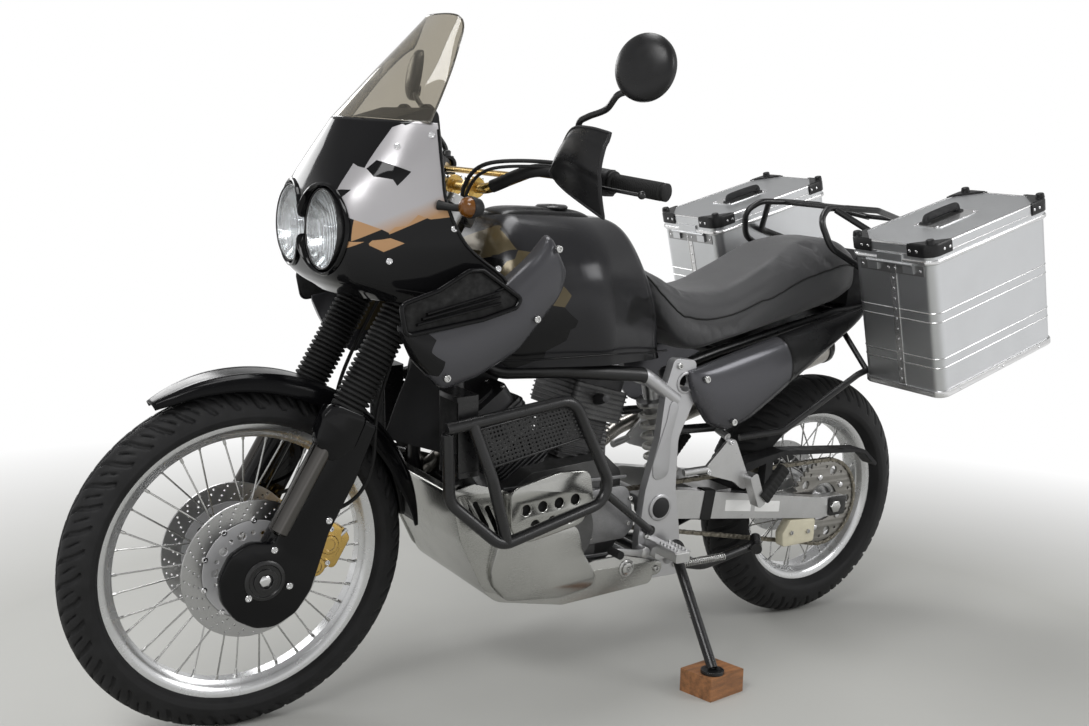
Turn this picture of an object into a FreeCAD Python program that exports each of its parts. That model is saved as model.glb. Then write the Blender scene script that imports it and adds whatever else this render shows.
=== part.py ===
# Adventure motorcycle on its side stand, with two aluminium panniers.
# Millimetres. Every piece is first drawn on the upright machine: x runs forward from the rear
# axle, y to the rider's left from the middle plane, z up from the road. The whole machine is
# then leaned to its left and moved so that the middle of its footprint is the origin.
import FreeCAD
import Part
import Sketcher
import math
import os

from FreeCAD import Placement, Rotation, Vector

doc = FreeCAD.newDocument("motorcycle")

# name, value, what it is
SIZES = [
    ("wheelbase", 1565.0, "axle to axle"),
    ("rake_angle", 28.0, "steering axis back from upright, degrees"),
    ("trail_length", 113.0, "steering axis to tyre contact, on the road"),
    ("lean_angle", 4.5, "machine leaned to its left on the side stand, degrees"),
    ("shift_back", 757.4, "origin ahead of the rear axle"),
    ("shift_side", 101.0, "origin left of the tyre contact line"),
    ("tyre_lift", 0.43, "leaned crowns reach this far below the contact line"),
    ("front_tyre_radius", 347.7, "front tyre, outside"),
    ("front_tyre_width", 92.0, "front tyre, section width"),
    ("front_rim_radius", 281.5, "front rim, flange"),
    ("front_rim_width", 58.0, "front rim, over the flanges"),
    ("rear_tyre_radius", 328.0, "rear tyre, outside"),
    ("rear_tyre_width", 140.0, "rear tyre, section width"),
    ("rear_rim_radius", 231.0, "rear rim, flange"),
    ("rear_rim_width", 84.0, "rear rim, over the flanges"),
    ("spoke_count", 36.0, "spokes in each wheel"),
    ("spoke_size", 4.0, "spoke, across"),
    ("front_disc_radius", 138.0, "front brake disc"),
    ("front_disc_offset", 66.0, "front brake disc from the middle plane"),
    ("disc_thickness", 5.0, "brake disc"),
    ("rear_disc_radius", 128.0, "rear brake disc"),
    ("rear_disc_offset", 74.0, "rear brake disc from the middle plane"),
    ("fork_half_width", 105.0, "fork tube from the middle plane"),
    ("fork_tube_radius", 21.5, "fork tube"),
    ("fork_leg_radius", 30.0, "lower fork leg"),
    ("gaiter_radius", 37.0, "fork gaiter, over the ribs"),
    ("bar_radius", 11.0, "handlebar tube"),
    ("pivot_x", 617.0, "swingarm pivot ahead of the rear axle"),
    ("pivot_z", 396.0, "swingarm pivot above the road"),
    ("swingarm_half_width", 112.0, "swingarm beam from the middle plane"),
    ("swingarm_beam", 28.0, "swingarm beam, across"),
    ("chain_offset", 86.0, "chain from the middle plane"),
    ("chain_width", 14.0, "chain, across"),
    ("chain_height", 13.0, "chain, height of the side plates"),
    ("rear_sprocket_radius", 116.0, "rear sprocket, pitch circle"),
    ("front_sprocket_radius", 41.0, "gearbox sprocket, pitch circle"),
    ("axle_radius", 10.0, "wheel axle"),
    ("pannier_length", 417.0, "pannier, front to back"),
    ("pannier_width", 233.0, "pannier, across"),
    ("pannier_height", 365.0, "pannier with its lid"),
    ("pannier_lid_height", 46.0, "pannier lid"),
    ("pannier_wall", 2.0, "pannier sheet"),
    ("pannier_corner", 24.0, "pannier upright corner, radius"),
    ("pannier_pitch", 17.5, "pannier tipped nose down, degrees"),
    ("pannier_front_x", 72.0, "front lower inner corner of the pannier, ahead of the rear axle"),
    ("pannier_inner_y", 242.0, "inner face of the pannier from the middle plane"),
    ("pannier_front_z", 696.0, "front lower inner corner of the pannier above the road"),
    ("rack_tube_radius", 8.0, "rack and pannier rail tube"),
    ("crash_tube_radius", 12.5, "crash bar tube"),
    ("block_length", 110.0, "wooden block under the side stand, along"),
    ("block_width", 90.0, "wooden block, across"),
    ("block_height", 52.0, "wooden block, height"),
    ("running_gap", 0.3, "gap between pieces that face each other"),
    ("panel_wall", 4.0, "moulded panel"),
]

sheet = doc.addObject("Spreadsheet::Sheet", "sizes")
for row, (alias, value, meaning) in enumerate(SIZES, start=1):
    sheet.set(f"A{row}", meaning)
    sheet.set(f"B{row}", str(value))
    sheet.setAlias(f"B{row}", alias)
doc.recompute()


def size(alias):
    """A driving size, read from the sheet."""
    return float(sheet.get(alias))


GAP = size("running_gap")
RAKE = math.radians(size("rake_angle"))
FRONT_AXLE = Vector(size("wheelbase"), 0, size("front_tyre_radius"))
REAR_AXLE = Vector(0, 0, size("rear_tyre_radius"))
PIVOT = Vector(size("pivot_x"), 0, size("pivot_z"))

STAND = Placement(
    Vector(-size("shift_back"), -size("shift_side"), size("tyre_lift")),
    Rotation(Vector(1, 0, 0), -size("lean_angle")),
)
# Along the steering axis: local z runs up the axis from the road, local x straight ahead of it.
STEER_FOOT = Vector(size("wheelbase") + size("trail_length"), 0, 0)
STEER_PLACE = Placement(STEER_FOOT, Rotation(Vector(0, 1, 0), -size("rake_angle")))


def on_steering(ahead, side, along):
    """A point given from the steering axis, in the upright machine's frame."""
    return STEER_PLACE.multVec(Vector(ahead, side, along))


AXLE_FROM_STEERING = STEER_PLACE.inverse().multVec(FRONT_AXLE)
FORK_AHEAD = AXLE_FROM_STEERING.x
AXLE_ALONG = AXLE_FROM_STEERING.z

NODES = []


def finish(obj, label):
    """Name a sub-part and stand it with the leaned machine."""
    obj.Label = label
    obj.Placement = STAND.multiply(obj.Placement)
    NODES.append(obj)
    return obj


def rounded_edges(corners, closed=True):
    """Lines and tangent arcs through corners given as (x, y) or (x, y, radius)."""
    count = len(corners)
    points = [Vector(c[0], c[1], 0) for c in corners]
    radii = [c[2] if len(c) > 2 else 0 for c in corners]
    starts = []
    ends = []
    arcs = []
    for index in range(count):
        here = points[index]
        radius = radii[index]
        if radius == 0 or (not closed and index in (0, count - 1)):
            starts.append(here)
            ends.append(here)
            arcs.append(None)
            continue
        back = (points[index - 1] - here).normalize()
        ahead = (points[(index + 1) % count] - here).normalize()
        half = back.getAngle(ahead) / 2
        reach = radius / math.tan(half)
        middle = (back + ahead).normalize()
        centre = here + middle * (radius / math.sin(half))
        starts.append(here + back * reach)
        ends.append(here + ahead * reach)
        arcs.append(Part.Arc(here + back * reach, centre - middle * radius, here + ahead * reach))
    edges = []
    for index in range(count):
        if arcs[index] is not None:
            edges.append(arcs[index])
        following = (index + 1) % count
        if following == 0 and not closed:
            break
        if ends[index].distanceToPoint(starts[following]) > 1e-4:
            edges.append(Part.LineSegment(ends[index], starts[following]))
    return edges


def sketch(name, corners, place):
    """A free sketch of one rounded outline, standing at a placement."""
    drawing = doc.addObject("Sketcher::SketchObject", name)
    drawing.addGeometry(rounded_edges(corners), False)
    drawing.Placement = place
    return drawing


def side_place(side):
    """Sketch plane at a given y whose x runs forward and whose y runs up."""
    return Placement(Vector(0, side, 0), Rotation(Vector(1, 0, 0), 90))


def cross_place(x):
    """Sketch plane at a given x whose x runs to the left and whose y runs up."""
    return Placement(Vector(x, 0, 0), Rotation(Vector(0, 1, 0), Vector(0, 0, 1), Vector(1, 0, 0), "XYZ"))


def level_place(z):
    """Sketch plane at a given height."""
    return Placement(Vector(0, 0, z), Rotation())


def side_slab(name, corners, side_low, side_high):
    """A side outline drawn through from one y to another."""
    slab = doc.addObject("Part::Extrusion", name)
    slab.Base = sketch(name + "_outline", corners, side_place(side_low))
    slab.DirMode = "Custom"
    slab.Dir = Vector(0, 1, 0)
    slab.LengthFwd = side_high - side_low
    slab.Solid = True
    return slab


def loft(name, sections, ruled=False):
    """A solid through sketches of the same make."""
    solid = doc.addObject("Part::Loft", name)
    solid.Sections = sections
    solid.Solid = True
    solid.Ruled = ruled
    return solid


def cylinder(name, start, end, radius):
    """A round bar from one point to another; the radius is a number or a size's name."""
    bar = doc.addObject("Part::Cylinder", name)
    if isinstance(radius, str):
        bar.setExpression("Radius", "sizes." + radius)
    else:
        bar.Radius = radius
    bar.Height = (end - start).Length
    bar.Placement = Placement(start, Rotation(Vector(0, 0, 1), end - start))
    return bar


def tube(name, points, radius, bend):
    """A round tube or bar along straight runs joined by tangent arcs."""
    path = doc.addObject("Part::Feature", name + "_path")
    path.Shape = rounded_path(points, bend)
    ring = doc.addObject("Part::Circle", name + "_ring")
    if isinstance(radius, str):
        ring.setExpression("Radius", "sizes." + radius)
    else:
        ring.Radius = radius
    ring.Placement = Placement(points[0], Rotation(Vector(0, 0, 1), points[1] - points[0]))
    sweep = doc.addObject("Part::Sweep", name)
    sweep.Sections = [ring]
    sweep.Spine = (path, [f"Edge{index + 1}" for index in range(len(path.Shape.Edges))])
    sweep.Solid = True
    sweep.Frenet = False
    return sweep


def rounded_path(points, bend):
    """Straight runs joined by arcs; a bend is cut down where its runs are short."""
    edges = []
    last = points[0]
    for before, here, after in zip(points, points[1:], points[2:]):
        back = before - here
        ahead = after - here
        room = 0.45 * min(back.Length, ahead.Length)
        back.normalize()
        ahead.normalize()
        half = back.getAngle(ahead) / 2
        radius = min(bend, room * math.tan(half))
        reach = radius / math.tan(half)
        middle = (back + ahead).normalize()
        start = here + back * reach
        end = here + ahead * reach
        top = here + middle * (radius / math.sin(half) - radius)
        edges.append(Part.LineSegment(last, start).toShape())
        edges.append(Part.Arc(start, top, end).toShape())
        last = end
    edges.append(Part.LineSegment(last, points[-1]).toShape())
    return Part.Wire(edges)


def mirrored(obj, name):
    """The same piece on the other side of the middle plane."""
    twin = doc.addObject("Part::Mirroring", name)
    twin.Source = obj
    twin.Base = Vector(0, 0, 0)
    twin.Normal = Vector(0, 1, 0)
    return twin


def fuse(name, pieces):
    """One solid from pieces that meet."""
    solid = doc.addObject("Part::MultiFuse", name)
    solid.Shapes = pieces
    return solid


def cut(name, base, tool):
    """A solid less a tool."""
    solid = doc.addObject("Part::Cut", name)
    solid.Base = base
    solid.Tool = tool
    return solid


def group(name, pieces):
    """Like pieces that do not touch, kept in one node."""
    together = doc.addObject("Part::Compound", name)
    together.Links = pieces
    return together


def pair(name, left):
    """A left piece and its twin on the right, in one node."""
    return group(name, [left, mirrored(left, name + "_twin")])


def origin_plane(body, role):
    """One of a body's own origin planes."""
    return next(item for item in body.Origin.OriginFeatures if item.Role == role)


def body_sketch(body, name, role, corners):
    """A sketch of one rounded outline on a body's own plane."""
    drawing = body.newObject("Sketcher::SketchObject", name)
    drawing.AttachmentSupport = (origin_plane(body, role), [""])
    drawing.MapMode = "FlatFace"
    drawing.addGeometry(rounded_edges(corners), False)
    return drawing


def circle_sketch(body, name, role, centre, radius):
    """A sketch of one circle whose radius follows a size or an expression on sizes."""
    drawing = body.newObject("Sketcher::SketchObject", name)
    drawing.AttachmentSupport = (origin_plane(body, role), [""])
    drawing.MapMode = "FlatFace"
    drawing.addGeometry(Part.Circle(Vector(centre[0], centre[1], 0), Vector(0, 0, 1), 10), False)
    drawing.addConstraint(Sketcher.Constraint("Radius", 0, 10))
    drawing.addConstraint(Sketcher.Constraint("DistanceX", -1, 1, 0, 3, centre[0]))
    drawing.addConstraint(Sketcher.Constraint("DistanceY", -1, 1, 0, 3, centre[1]))
    drawing.setExpression("Constraints[0]", radius)
    return drawing


def turned(name, corners, centre):
    """A body turned about a wheel's axle from a profile of (radius, side) corners."""
    body = doc.addObject("PartDesign::Body", name)
    profile = body_sketch(body, name + "_profile", "XY_Plane", corners)
    turn = body.newObject("PartDesign::Revolution", name + "_turn")
    turn.Profile = profile
    turn.ReferenceAxis = (profile, ["V_Axis"])
    turn.Angle = 360
    body.Placement = Placement(centre, Rotation())
    return body


# Wheels
def tyre_profile(radius, width, flange, seat_half):
    """Round crown, side walls and beads of a tyre as (radius, side, corner radius)."""
    half = width / 2
    crown = half * 0.96
    shoulder = radius - half * 1.15
    return [
        (flange - 8, -seat_half),
        (flange + 2, -seat_half),
        (shoulder, -half, half * 0.2),
        (radius, -half, crown),
        (radius, half, crown),
        (shoulder, half, half * 0.2),
        (flange + 2, seat_half),
        (flange - 8, seat_half),
    ]


def rim_profile(flange, width):
    """Well, shoulders and flanges of a spoked rim."""
    half = width / 2
    return [
        (flange - 30, -half * 0.45),
        (flange - 24, -half * 0.5),
        (flange - 16, -half + 4),
        (flange, -half),
        (flange, -half + 5),
        (flange - 9, -half + 9),
        (flange - 11, 0),
        (flange - 9, half - 9),
        (flange, half - 5),
        (flange, half),
        (flange - 16, half - 4),
        (flange - 24, half * 0.5),
        (flange - 30, half * 0.45),
    ]


def hub_profile(bore, barrel, flange, half_width, flange_half):
    """Hub barrel between two spoke flanges."""
    return [
        (bore, -half_width),
        (barrel + 6, -half_width),
        (barrel + 6, -flange_half - 5),
        (flange, -flange_half - 5),
        (flange, -flange_half),
        (barrel, -flange_half + 8),
        (barrel, flange_half - 8),
        (flange, flange_half),
        (flange, flange_half + 5),
        (barrel + 6, flange_half + 5),
        (barrel + 6, half_width),
        (bore, half_width),
    ]


def spoke_set(name, hub_radius, hub_side, rim_radius, rim_side, count, across):
    """Crossed spokes from the hub flanges to the rim, as square bars in one shape."""
    bars = []
    cross = math.radians(38)
    for index in range(int(count)):
        angle = 2 * math.pi * index / count
        side = 1 if index % 2 == 0 else -1
        lead = cross if index % 4 < 2 else -cross
        hub_angle = angle + lead
        start = Vector(hub_radius * math.cos(hub_angle), side * hub_side, hub_radius * math.sin(hub_angle))
        end = Vector(rim_radius * math.cos(angle), side * rim_side, rim_radius * math.sin(angle))
        bar = Part.makeBox(across, across, (end - start).Length)
        bar.translate(Vector(-across / 2, -across / 2, 0))
        bar.Placement = Placement(start, Rotation(Vector(0, 0, 1), end - start)).multiply(bar.Placement)
        bars.append(bar)
    spokes = doc.addObject("Part::Feature", name)
    spokes.Shape = Part.makeCompound(bars)
    return spokes


def spoked_wheel(name, end, centre, rim, width, hub_half, hub_barrel, hub_flange, flange_half):
    """Rim, hub and spokes fused into one wheel."""
    ring = turned(name + "_rim", rim_profile(rim, width), centre)
    bore = size("axle_radius") + GAP
    hub = turned(name + "_hub", hub_profile(bore, hub_barrel, hub_flange, hub_half, flange_half), centre)
    spokes = spoke_set(
        name + "_spokes",
        hub_flange - 4,
        flange_half + 2,
        rim - 26,
        width * 0.12,
        size("spoke_count"),
        size("spoke_size"),
    )
    spokes.Placement = Placement(centre, Rotation())
    return finish(fuse(name + "_whole", [ring, hub, spokes]), end)


def add_tyre(end, centre, radius, width, flange, rim_width):
    """A tyre seated between the flanges of its rim."""
    corners = tyre_profile(size(radius), size(width), size(flange), size(rim_width) / 2 - 9 - GAP)
    finish(turned(end + "_body", corners, centre), end)


for end, centre in (("front", FRONT_AXLE), ("rear", REAR_AXLE)):
    measures = [end + word for word in ("_tyre_radius", "_tyre_width", "_rim_radius", "_rim_width")]
    add_tyre(end + "_tyre", centre, *measures)

FRONT_HUB_HALF = size("front_disc_offset") - size("disc_thickness") / 2 - GAP
REAR_HUB_HALF = size("rear_disc_offset") - size("disc_thickness") / 2 - GAP
spoked_wheel(
    "front",
    "front_wheel",
    FRONT_AXLE,
    size("front_rim_radius"),
    size("front_rim_width"),
    FRONT_HUB_HALF,
    24,
    38,
    40,
)
spoked_wheel(
    "rear",
    "rear_wheel",
    REAR_AXLE,
    size("rear_rim_radius"),
    size("rear_rim_width"),
    REAR_HUB_HALF,
    42,
    62,
    38,
)


def disc(name, centre, side, radius_name, bore, holes):
    """A brake disc with a ring of holes, standing at a given y."""
    body = doc.addObject("PartDesign::Body", name)
    outer = circle_sketch(body, name + "_outer", "XZ_Plane", (0, 0), "sizes." + radius_name)
    plate = body.newObject("PartDesign::Pad", name + "_plate")
    plate.Profile = outer
    plate.Midplane = True
    plate.setExpression("Length", "sizes.disc_thickness")
    inner = circle_sketch(body, name + "_bore", "XZ_Plane", (0, 0), str(bore))
    opening = body.newObject("PartDesign::Pocket", name + "_opening")
    opening.Profile = inner
    opening.Midplane = True
    opening.Type = "ThroughAll"
    hole = circle_sketch(body, name + "_hole", "XZ_Plane", (size(radius_name) * 0.62, 0), "9")
    window = body.newObject("PartDesign::Pocket", name + "_window")
    window.Profile = hole
    window.Midplane = True
    window.Type = "ThroughAll"
    ring = body.newObject("PartDesign::PolarPattern", name + "_ring")
    ring.Originals = [window]
    ring.Axis = (outer, ["N_Axis"])
    ring.Angle = 360
    ring.Occurrences = holes
    body.Tip = ring
    body.Placement = Placement(centre + Vector(0, side, 0), Rotation())
    return body


front_disc_left = disc("disc_left", FRONT_AXLE, size("front_disc_offset"), "front_disc_radius", 24, 10)
front_disc_right = disc("disc_right", FRONT_AXLE, -size("front_disc_offset"), "front_disc_radius", 24, 10)
finish(group("front_disc_pair", [front_disc_left, front_disc_right]), "front_discs")
finish(disc("disc_rear", REAR_AXLE, -size("rear_disc_offset"), "rear_disc_radius", 40, 8), "rear_disc")

sprocket = turned(
    "sprocket_body",
    [
        (40, REAR_HUB_HALF + GAP),
        (90, REAR_HUB_HALF + GAP),
        (96, size("chain_offset") - 4),
        (size("rear_sprocket_radius") - 7.5, size("chain_offset") - 4),
        (size("rear_sprocket_radius") - 7.5, size("chain_offset") + 4),
        (92, size("chain_offset") + 4),
        (84, REAR_HUB_HALF + 8),
        (40, REAR_HUB_HALF + 8),
    ],
    REAR_AXLE,
)
finish(sprocket, "rear_sprocket")

# Fork, carried on the steering axis
FORK_SIDE = size("fork_half_width")
TOP_CLAMP = 1172.0
LOW_CLAMP = 975.0
FORK_TOP = 1196.0
GAITER_TOP = 962.0
GAITER_FOOT = 716.0


def upright_on_fork(name, side, low, high, radius, ahead=FORK_AHEAD):
    """A bar parallel to the steering axis."""
    return cylinder(name, on_steering(ahead, side, low), on_steering(ahead, side, high), radius)


def clamp(name, along, thick):
    """A clamp plate across both fork tubes and the steering stem."""
    plate = doc.addObject("Part::Extrusion", name)
    corners = [
        (-32, -34, 30),
        (FORK_AHEAD + 4, -FORK_SIDE - 34, 32),
        (FORK_AHEAD + 36, -FORK_SIDE - 34, 16),
        (FORK_AHEAD + 36, FORK_SIDE + 34, 16),
        (FORK_AHEAD + 4, FORK_SIDE + 34, 32),
        (-32, 34, 30),
    ]
    place = STEER_PLACE.multiply(level_place(along))
    plate.Base = sketch(name + "_outline", corners, place)
    plate.DirMode = "Custom"
    plate.Dir = STEER_PLACE.Rotation.multVec(Vector(0, 0, 1))
    plate.LengthFwd = thick
    plate.Solid = True
    return plate


fork_pieces = [clamp("top_clamp", TOP_CLAMP, 18), clamp("low_clamp", LOW_CLAMP, 26)]
for word, side in (("left", FORK_SIDE), ("right", -FORK_SIDE)):
    fork_pieces.append(upright_on_fork("tube_" + word, side, GAITER_FOOT, FORK_TOP, "fork_tube_radius"))
fork_pieces.append(upright_on_fork("stem", 0, LOW_CLAMP - 12, TOP_CLAMP + 24, 14, 0))
finish(fuse("fork_whole", fork_pieces), "fork")

gaiters = []
for word, side in (("left", FORK_SIDE), ("right", -FORK_SIDE)):
    ribs = 12
    pitch = (GAITER_TOP - GAITER_FOOT) / ribs
    inner = size("fork_tube_radius") + GAP
    outer = size("gaiter_radius")
    corners = [(inner, 0), (outer - 3, 0)]
    for index in range(ribs):
        corners.append((outer, pitch * (index + 0.35)))
        corners.append((outer - 7, pitch * (index + 0.85)))
    corners.append((outer - 3, GAITER_TOP - GAITER_FOOT))
    corners.append((inner, GAITER_TOP - GAITER_FOOT))
    gaiter = doc.addObject("PartDesign::Body", "gaiter_" + word)
    profile = body_sketch(gaiter, "gaiter_profile_" + word, "XZ_Plane", corners)
    turn = gaiter.newObject("PartDesign::Revolution", "gaiter_turn_" + word)
    turn.Profile = profile
    turn.ReferenceAxis = (profile, ["V_Axis"])
    turn.Angle = 360
    gaiter.Placement = STEER_PLACE.multiply(Placement(Vector(FORK_AHEAD, side, GAITER_FOOT), Rotation()))
    gaiters.append(gaiter)
finish(group("gaiter_pair", gaiters), "fork_gaiters")

# The guard stands on the leg's front half, its walls a little off the leg's sides
GUARD_INWARD = size("fork_leg_radius") - 4
GUARD_OUTWARD = size("fork_leg_radius") + 4

leg_pieces = []
for word, side in (("left", FORK_SIDE), ("right", -FORK_SIDE)):
    outward = 1 if side > 0 else -1
    leg_top = GAITER_FOOT - GAP
    leg_pieces.append(upright_on_fork("leg_" + word, side, AXLE_ALONG - 6, leg_top, "fork_leg_radius"))
    boss = cylinder(
        "boss_" + word,
        FRONT_AXLE + Vector(0, outward * 78, 0),
        FRONT_AXLE + Vector(0, outward * 122, 0),
        44,
    )
    guard = doc.addObject("Part::Extrusion", "leg_guard_" + word)
    corners = [
        (FORK_AHEAD + 2, AXLE_ALONG - 30, 12),
        (FORK_AHEAD + 38, AXLE_ALONG - 24, 12),
        (FORK_AHEAD + 44, AXLE_ALONG + 120),
        (FORK_AHEAD + 40, GAITER_FOOT - GAP, 14),
        (FORK_AHEAD + 4, GAITER_FOOT - GAP, 6),
    ]
    low_side = side - GUARD_INWARD if side > 0 else side - GUARD_OUTWARD
    plane = STEER_PLACE.multiply(side_place(low_side))
    guard.Base = sketch("leg_guard_outline_" + word, corners, plane)
    guard.DirMode = "Custom"
    guard.Dir = Vector(0, 1, 0)
    guard.LengthFwd = GUARD_INWARD + GUARD_OUTWARD
    guard.Solid = True
    leg_pieces += [boss, guard]
AXLE_REACH = Vector(0, 126, 0)
leg_pieces.append(cylinder("front_axle", FRONT_AXLE - AXLE_REACH, FRONT_AXLE + AXLE_REACH, "axle_radius"))
finish(fuse("legs_whole", leg_pieces), "fork_legs")

# Front mudguard, an arched cover that turns with the wheel
MUD_RADIUS = size("front_tyre_radius") + 34
MUD_HALF = 62.0


def arched_cover(name, centre, radius, half, wall, start_angle, sweep_angle, skirt):
    """A cover arched over a wheel: its section is turned part of the way round the axle."""
    body = doc.addObject("PartDesign::Body", name)
    corners = [
        (radius - skirt, -half),
        (radius - 14, -half),
        (radius, -half * 0.55, 30),
        (radius, half * 0.55, 30),
        (radius - 14, half),
        (radius - skirt, half),
        (radius - skirt, half - wall),
        (radius - 14 - wall * 0.4, half - wall),
        (radius - wall, half * 0.55 - wall * 0.3, 28),
        (radius - wall, -half * 0.55 + wall * 0.3, 28),
        (radius - 14 - wall * 0.4, -half + wall),
        (radius - skirt, -half + wall),
    ]
    profile = body_sketch(body, name + "_profile", "XY_Plane", corners)
    turn = body.newObject("PartDesign::Revolution", name + "_turn")
    turn.Profile = profile
    turn.ReferenceAxis = (profile, ["V_Axis"])
    turn.Angle = sweep_angle
    body.Placement = Placement(centre, Rotation(Vector(0, 1, 0), -start_angle - sweep_angle))
    return body


mudguard = arched_cover("mudguard_body", FRONT_AXLE, MUD_RADIUS, MUD_HALF, size("panel_wall"), 62, 116, 36)
brace_pieces = [mudguard]
for word, outward in (("left", 1), ("right", -1)):
    brace_pieces.append(
        tube(
            "mud_brace_" + word,
            [
                on_steering(FORK_AHEAD + 10, outward * (MUD_HALF - 3), AXLE_ALONG + 344),
                on_steering(FORK_AHEAD + 10, outward * (FORK_SIDE - 30 - GAP), AXLE_ALONG + 344),
            ],
            9,
            5,
        )
    )
finish(fuse("mudguard_whole", brace_pieces), "front_mudguard")

# Handlebar with risers and cross bar, all in the steering's upright position
BAR_CENTRE = on_steering(16, 0, 1244)
BAR_POINTS = [
    (0, 100, 0),
    (-48, 196, 44),
    (-120, 290, 38),
    (-176, 452, 24),
]
bar_left = [BAR_CENTRE + Vector(*row) for row in BAR_POINTS]
bar_right = [Vector(p.x, -p.y, p.z) for p in reversed(bar_left)]
BAR_END = bar_left[-1]
GRIP_INNER = bar_left[-2]
bar_pieces = [tube("bar_tube", bar_right + bar_left, "bar_radius", 60)]
for word, outward in (("left", 1), ("right", -1)):
    foot = on_steering(16, outward * 45, TOP_CLAMP + 18)
    bar_pieces.append(cylinder("riser_" + word, foot, on_steering(16, outward * 45, 1244), 15))
    bar_pieces.append(
        cylinder(
            "riser_cap_" + word,
            BAR_CENTRE + Vector(0, outward * 45 - 14, 0),
            BAR_CENTRE + Vector(0, outward * 45 + 14, 0),
            20,
        )
    )
bar_pieces.append(
    cylinder(
        "cross_bar",
        BAR_CENTRE + Vector(-34, -168, 31),
        BAR_CENTRE + Vector(-34, 168, 31),
        6.5,
    )
)
finish(fuse("bar_whole", bar_pieces), "handlebar")

# Grips, switch blocks and levers clamp round the bar
grip_way = (BAR_END - GRIP_INNER).normalize()


def bar_point(back, rise, ahead=0.0):
    """A point beside the left grip, measured back from the bar's end."""
    return BAR_END - grip_way * back + Vector(ahead, 0, rise)


control_pieces = []
bar_clear = size("bar_radius") + GAP
grip = cut(
    "grip_left",
    cylinder("grip_skin", bar_point(122, 0), bar_point(-6, 0), 17),
    cylinder("grip_bore", bar_point(124, 0), bar_point(0, 0), bar_clear),
)
housing = cut(
    "housing_left",
    cylinder("housing_skin", bar_point(164, 0), bar_point(124, 0), 24),
    cylinder("housing_bore", bar_point(166, 0), bar_point(122, 0), bar_clear),
)
lever = tube(
    "lever_left",
    [bar_point(150, -4, 20), bar_point(140, -6, 48), bar_point(90, -8, 52), bar_point(6, -8, 50)],
    7,
    18,
)
perch = fuse("perch_left", [housing, lever])
finish(
    group("controls", [grip, mirrored(grip, "grip_right"), perch, mirrored(perch, "perch_right")]),
    "hand_controls",
)

# Hand guards stand ahead of the levers
GUARD_STATIONS = [
    # side, low z, high z, x
    (246, 1120, 1190, 1058),
    (300, 1070, 1228, 1052),
    (400, 1064, 1214, 1048),
    (452, 1096, 1180, 1012),
]
guard_sections = []
for side, low, high, ahead in GUARD_STATIONS:
    place = Placement(Vector(ahead, side, 0), Rotation(Vector(1, 0, 0), 90))
    guard_sections.append(sketch(f"hand_guard_{side}", [(-3, low), (3, low), (3, high), (-3, high)], place))
guard_left = loft("hand_guard_shell", guard_sections)
guard_arm = tube(
    "hand_guard_arm",
    [bar_point(144, 15.2, 23.8), bar_point(144, 31, 49), Vector(1049, 330, 1180)],
    7,
    20,
)
finish(pair("hand_guard_pair", fuse("hand_guard_left", [guard_left, guard_arm])), "hand_guards")

# Mirrors on bent stalks
stalk_foot = bar_point(150, 24.8, 0)
mirror_centre = Vector(1006, 455, 1350)
mirror_head = cylinder("mirror_head", mirror_centre, mirror_centre + Vector(20, -4, 2), 62)
mirror_stalk = tube(
    "mirror_stalk",
    [
        stalk_foot,
        stalk_foot + Vector(0, 6, 70),
        mirror_centre + Vector(16, -90, -70),
        mirror_centre + Vector(16, -30, -20),
    ],
    6,
    40,
)
finish(pair("mirror_pair", fuse("mirror_left", [mirror_head, mirror_stalk])), "mirrors")

# Front calipers straddle the discs behind the fork legs
caliper_sets = []
for word, outward in (("left", 1), ("right", -1)):
    centre_y = outward * size("front_disc_offset")
    block = doc.addObject("Part::Box", "caliper_block_" + word)
    block.Length = 68
    block.Width = 52
    block.Height = 112
    block_corner = Vector(FORK_AHEAD - 152, centre_y + outward * 8 - 26, AXLE_ALONG + 24)
    block.Placement = STEER_PLACE.multiply(Placement(block_corner, Rotation()))
    slot = doc.addObject("Part::Box", "caliper_slot_" + word)
    slot.Length = 90
    slot.Width = size("disc_thickness") + 4
    slot.Height = 120
    slot.Placement = STEER_PLACE.multiply(
        Placement(Vector(FORK_AHEAD - 142, centre_y - slot.Width.Value / 2, AXLE_ALONG + 20), Rotation())
    )
    arm = doc.addObject("Part::Box", "caliper_arm_" + word)
    arm.Length = 57.4
    arm.Width = 12
    arm.Height = 70
    arm_y = outward * (size("fork_half_width") - 15) - 6
    arm_corner = Vector(FORK_AHEAD - 86.4, arm_y, AXLE_ALONG + 50)
    arm.Placement = STEER_PLACE.multiply(Placement(arm_corner, Rotation()))
    caliper_sets.append(cut("caliper_" + word, fuse("caliper_cast_" + word, [block, arm]), slot))
finish(group("caliper_pair", caliper_sets), "front_calipers")

# Side stand: its pivot, the foot on the wooden block, and where the folded foot lies
BLOCK_YAW = 8.0
SIDE_PIVOT = Vector(584, 179, 298)
SIDE_FOOT = Vector(616, 380, 0)
lean = math.radians(size("lean_angle"))
block_top = size("block_height") - size("tyre_lift")
SIDE_FOOT.z = (block_top + GAP + SIDE_FOOT.y * math.sin(lean)) / math.cos(lean)
SIDE_FOLDED = Vector(-300, 40, 20)
SIDE_AXIS = (SIDE_FOOT - SIDE_PIVOT).cross(SIDE_FOLDED).normalize()

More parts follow.
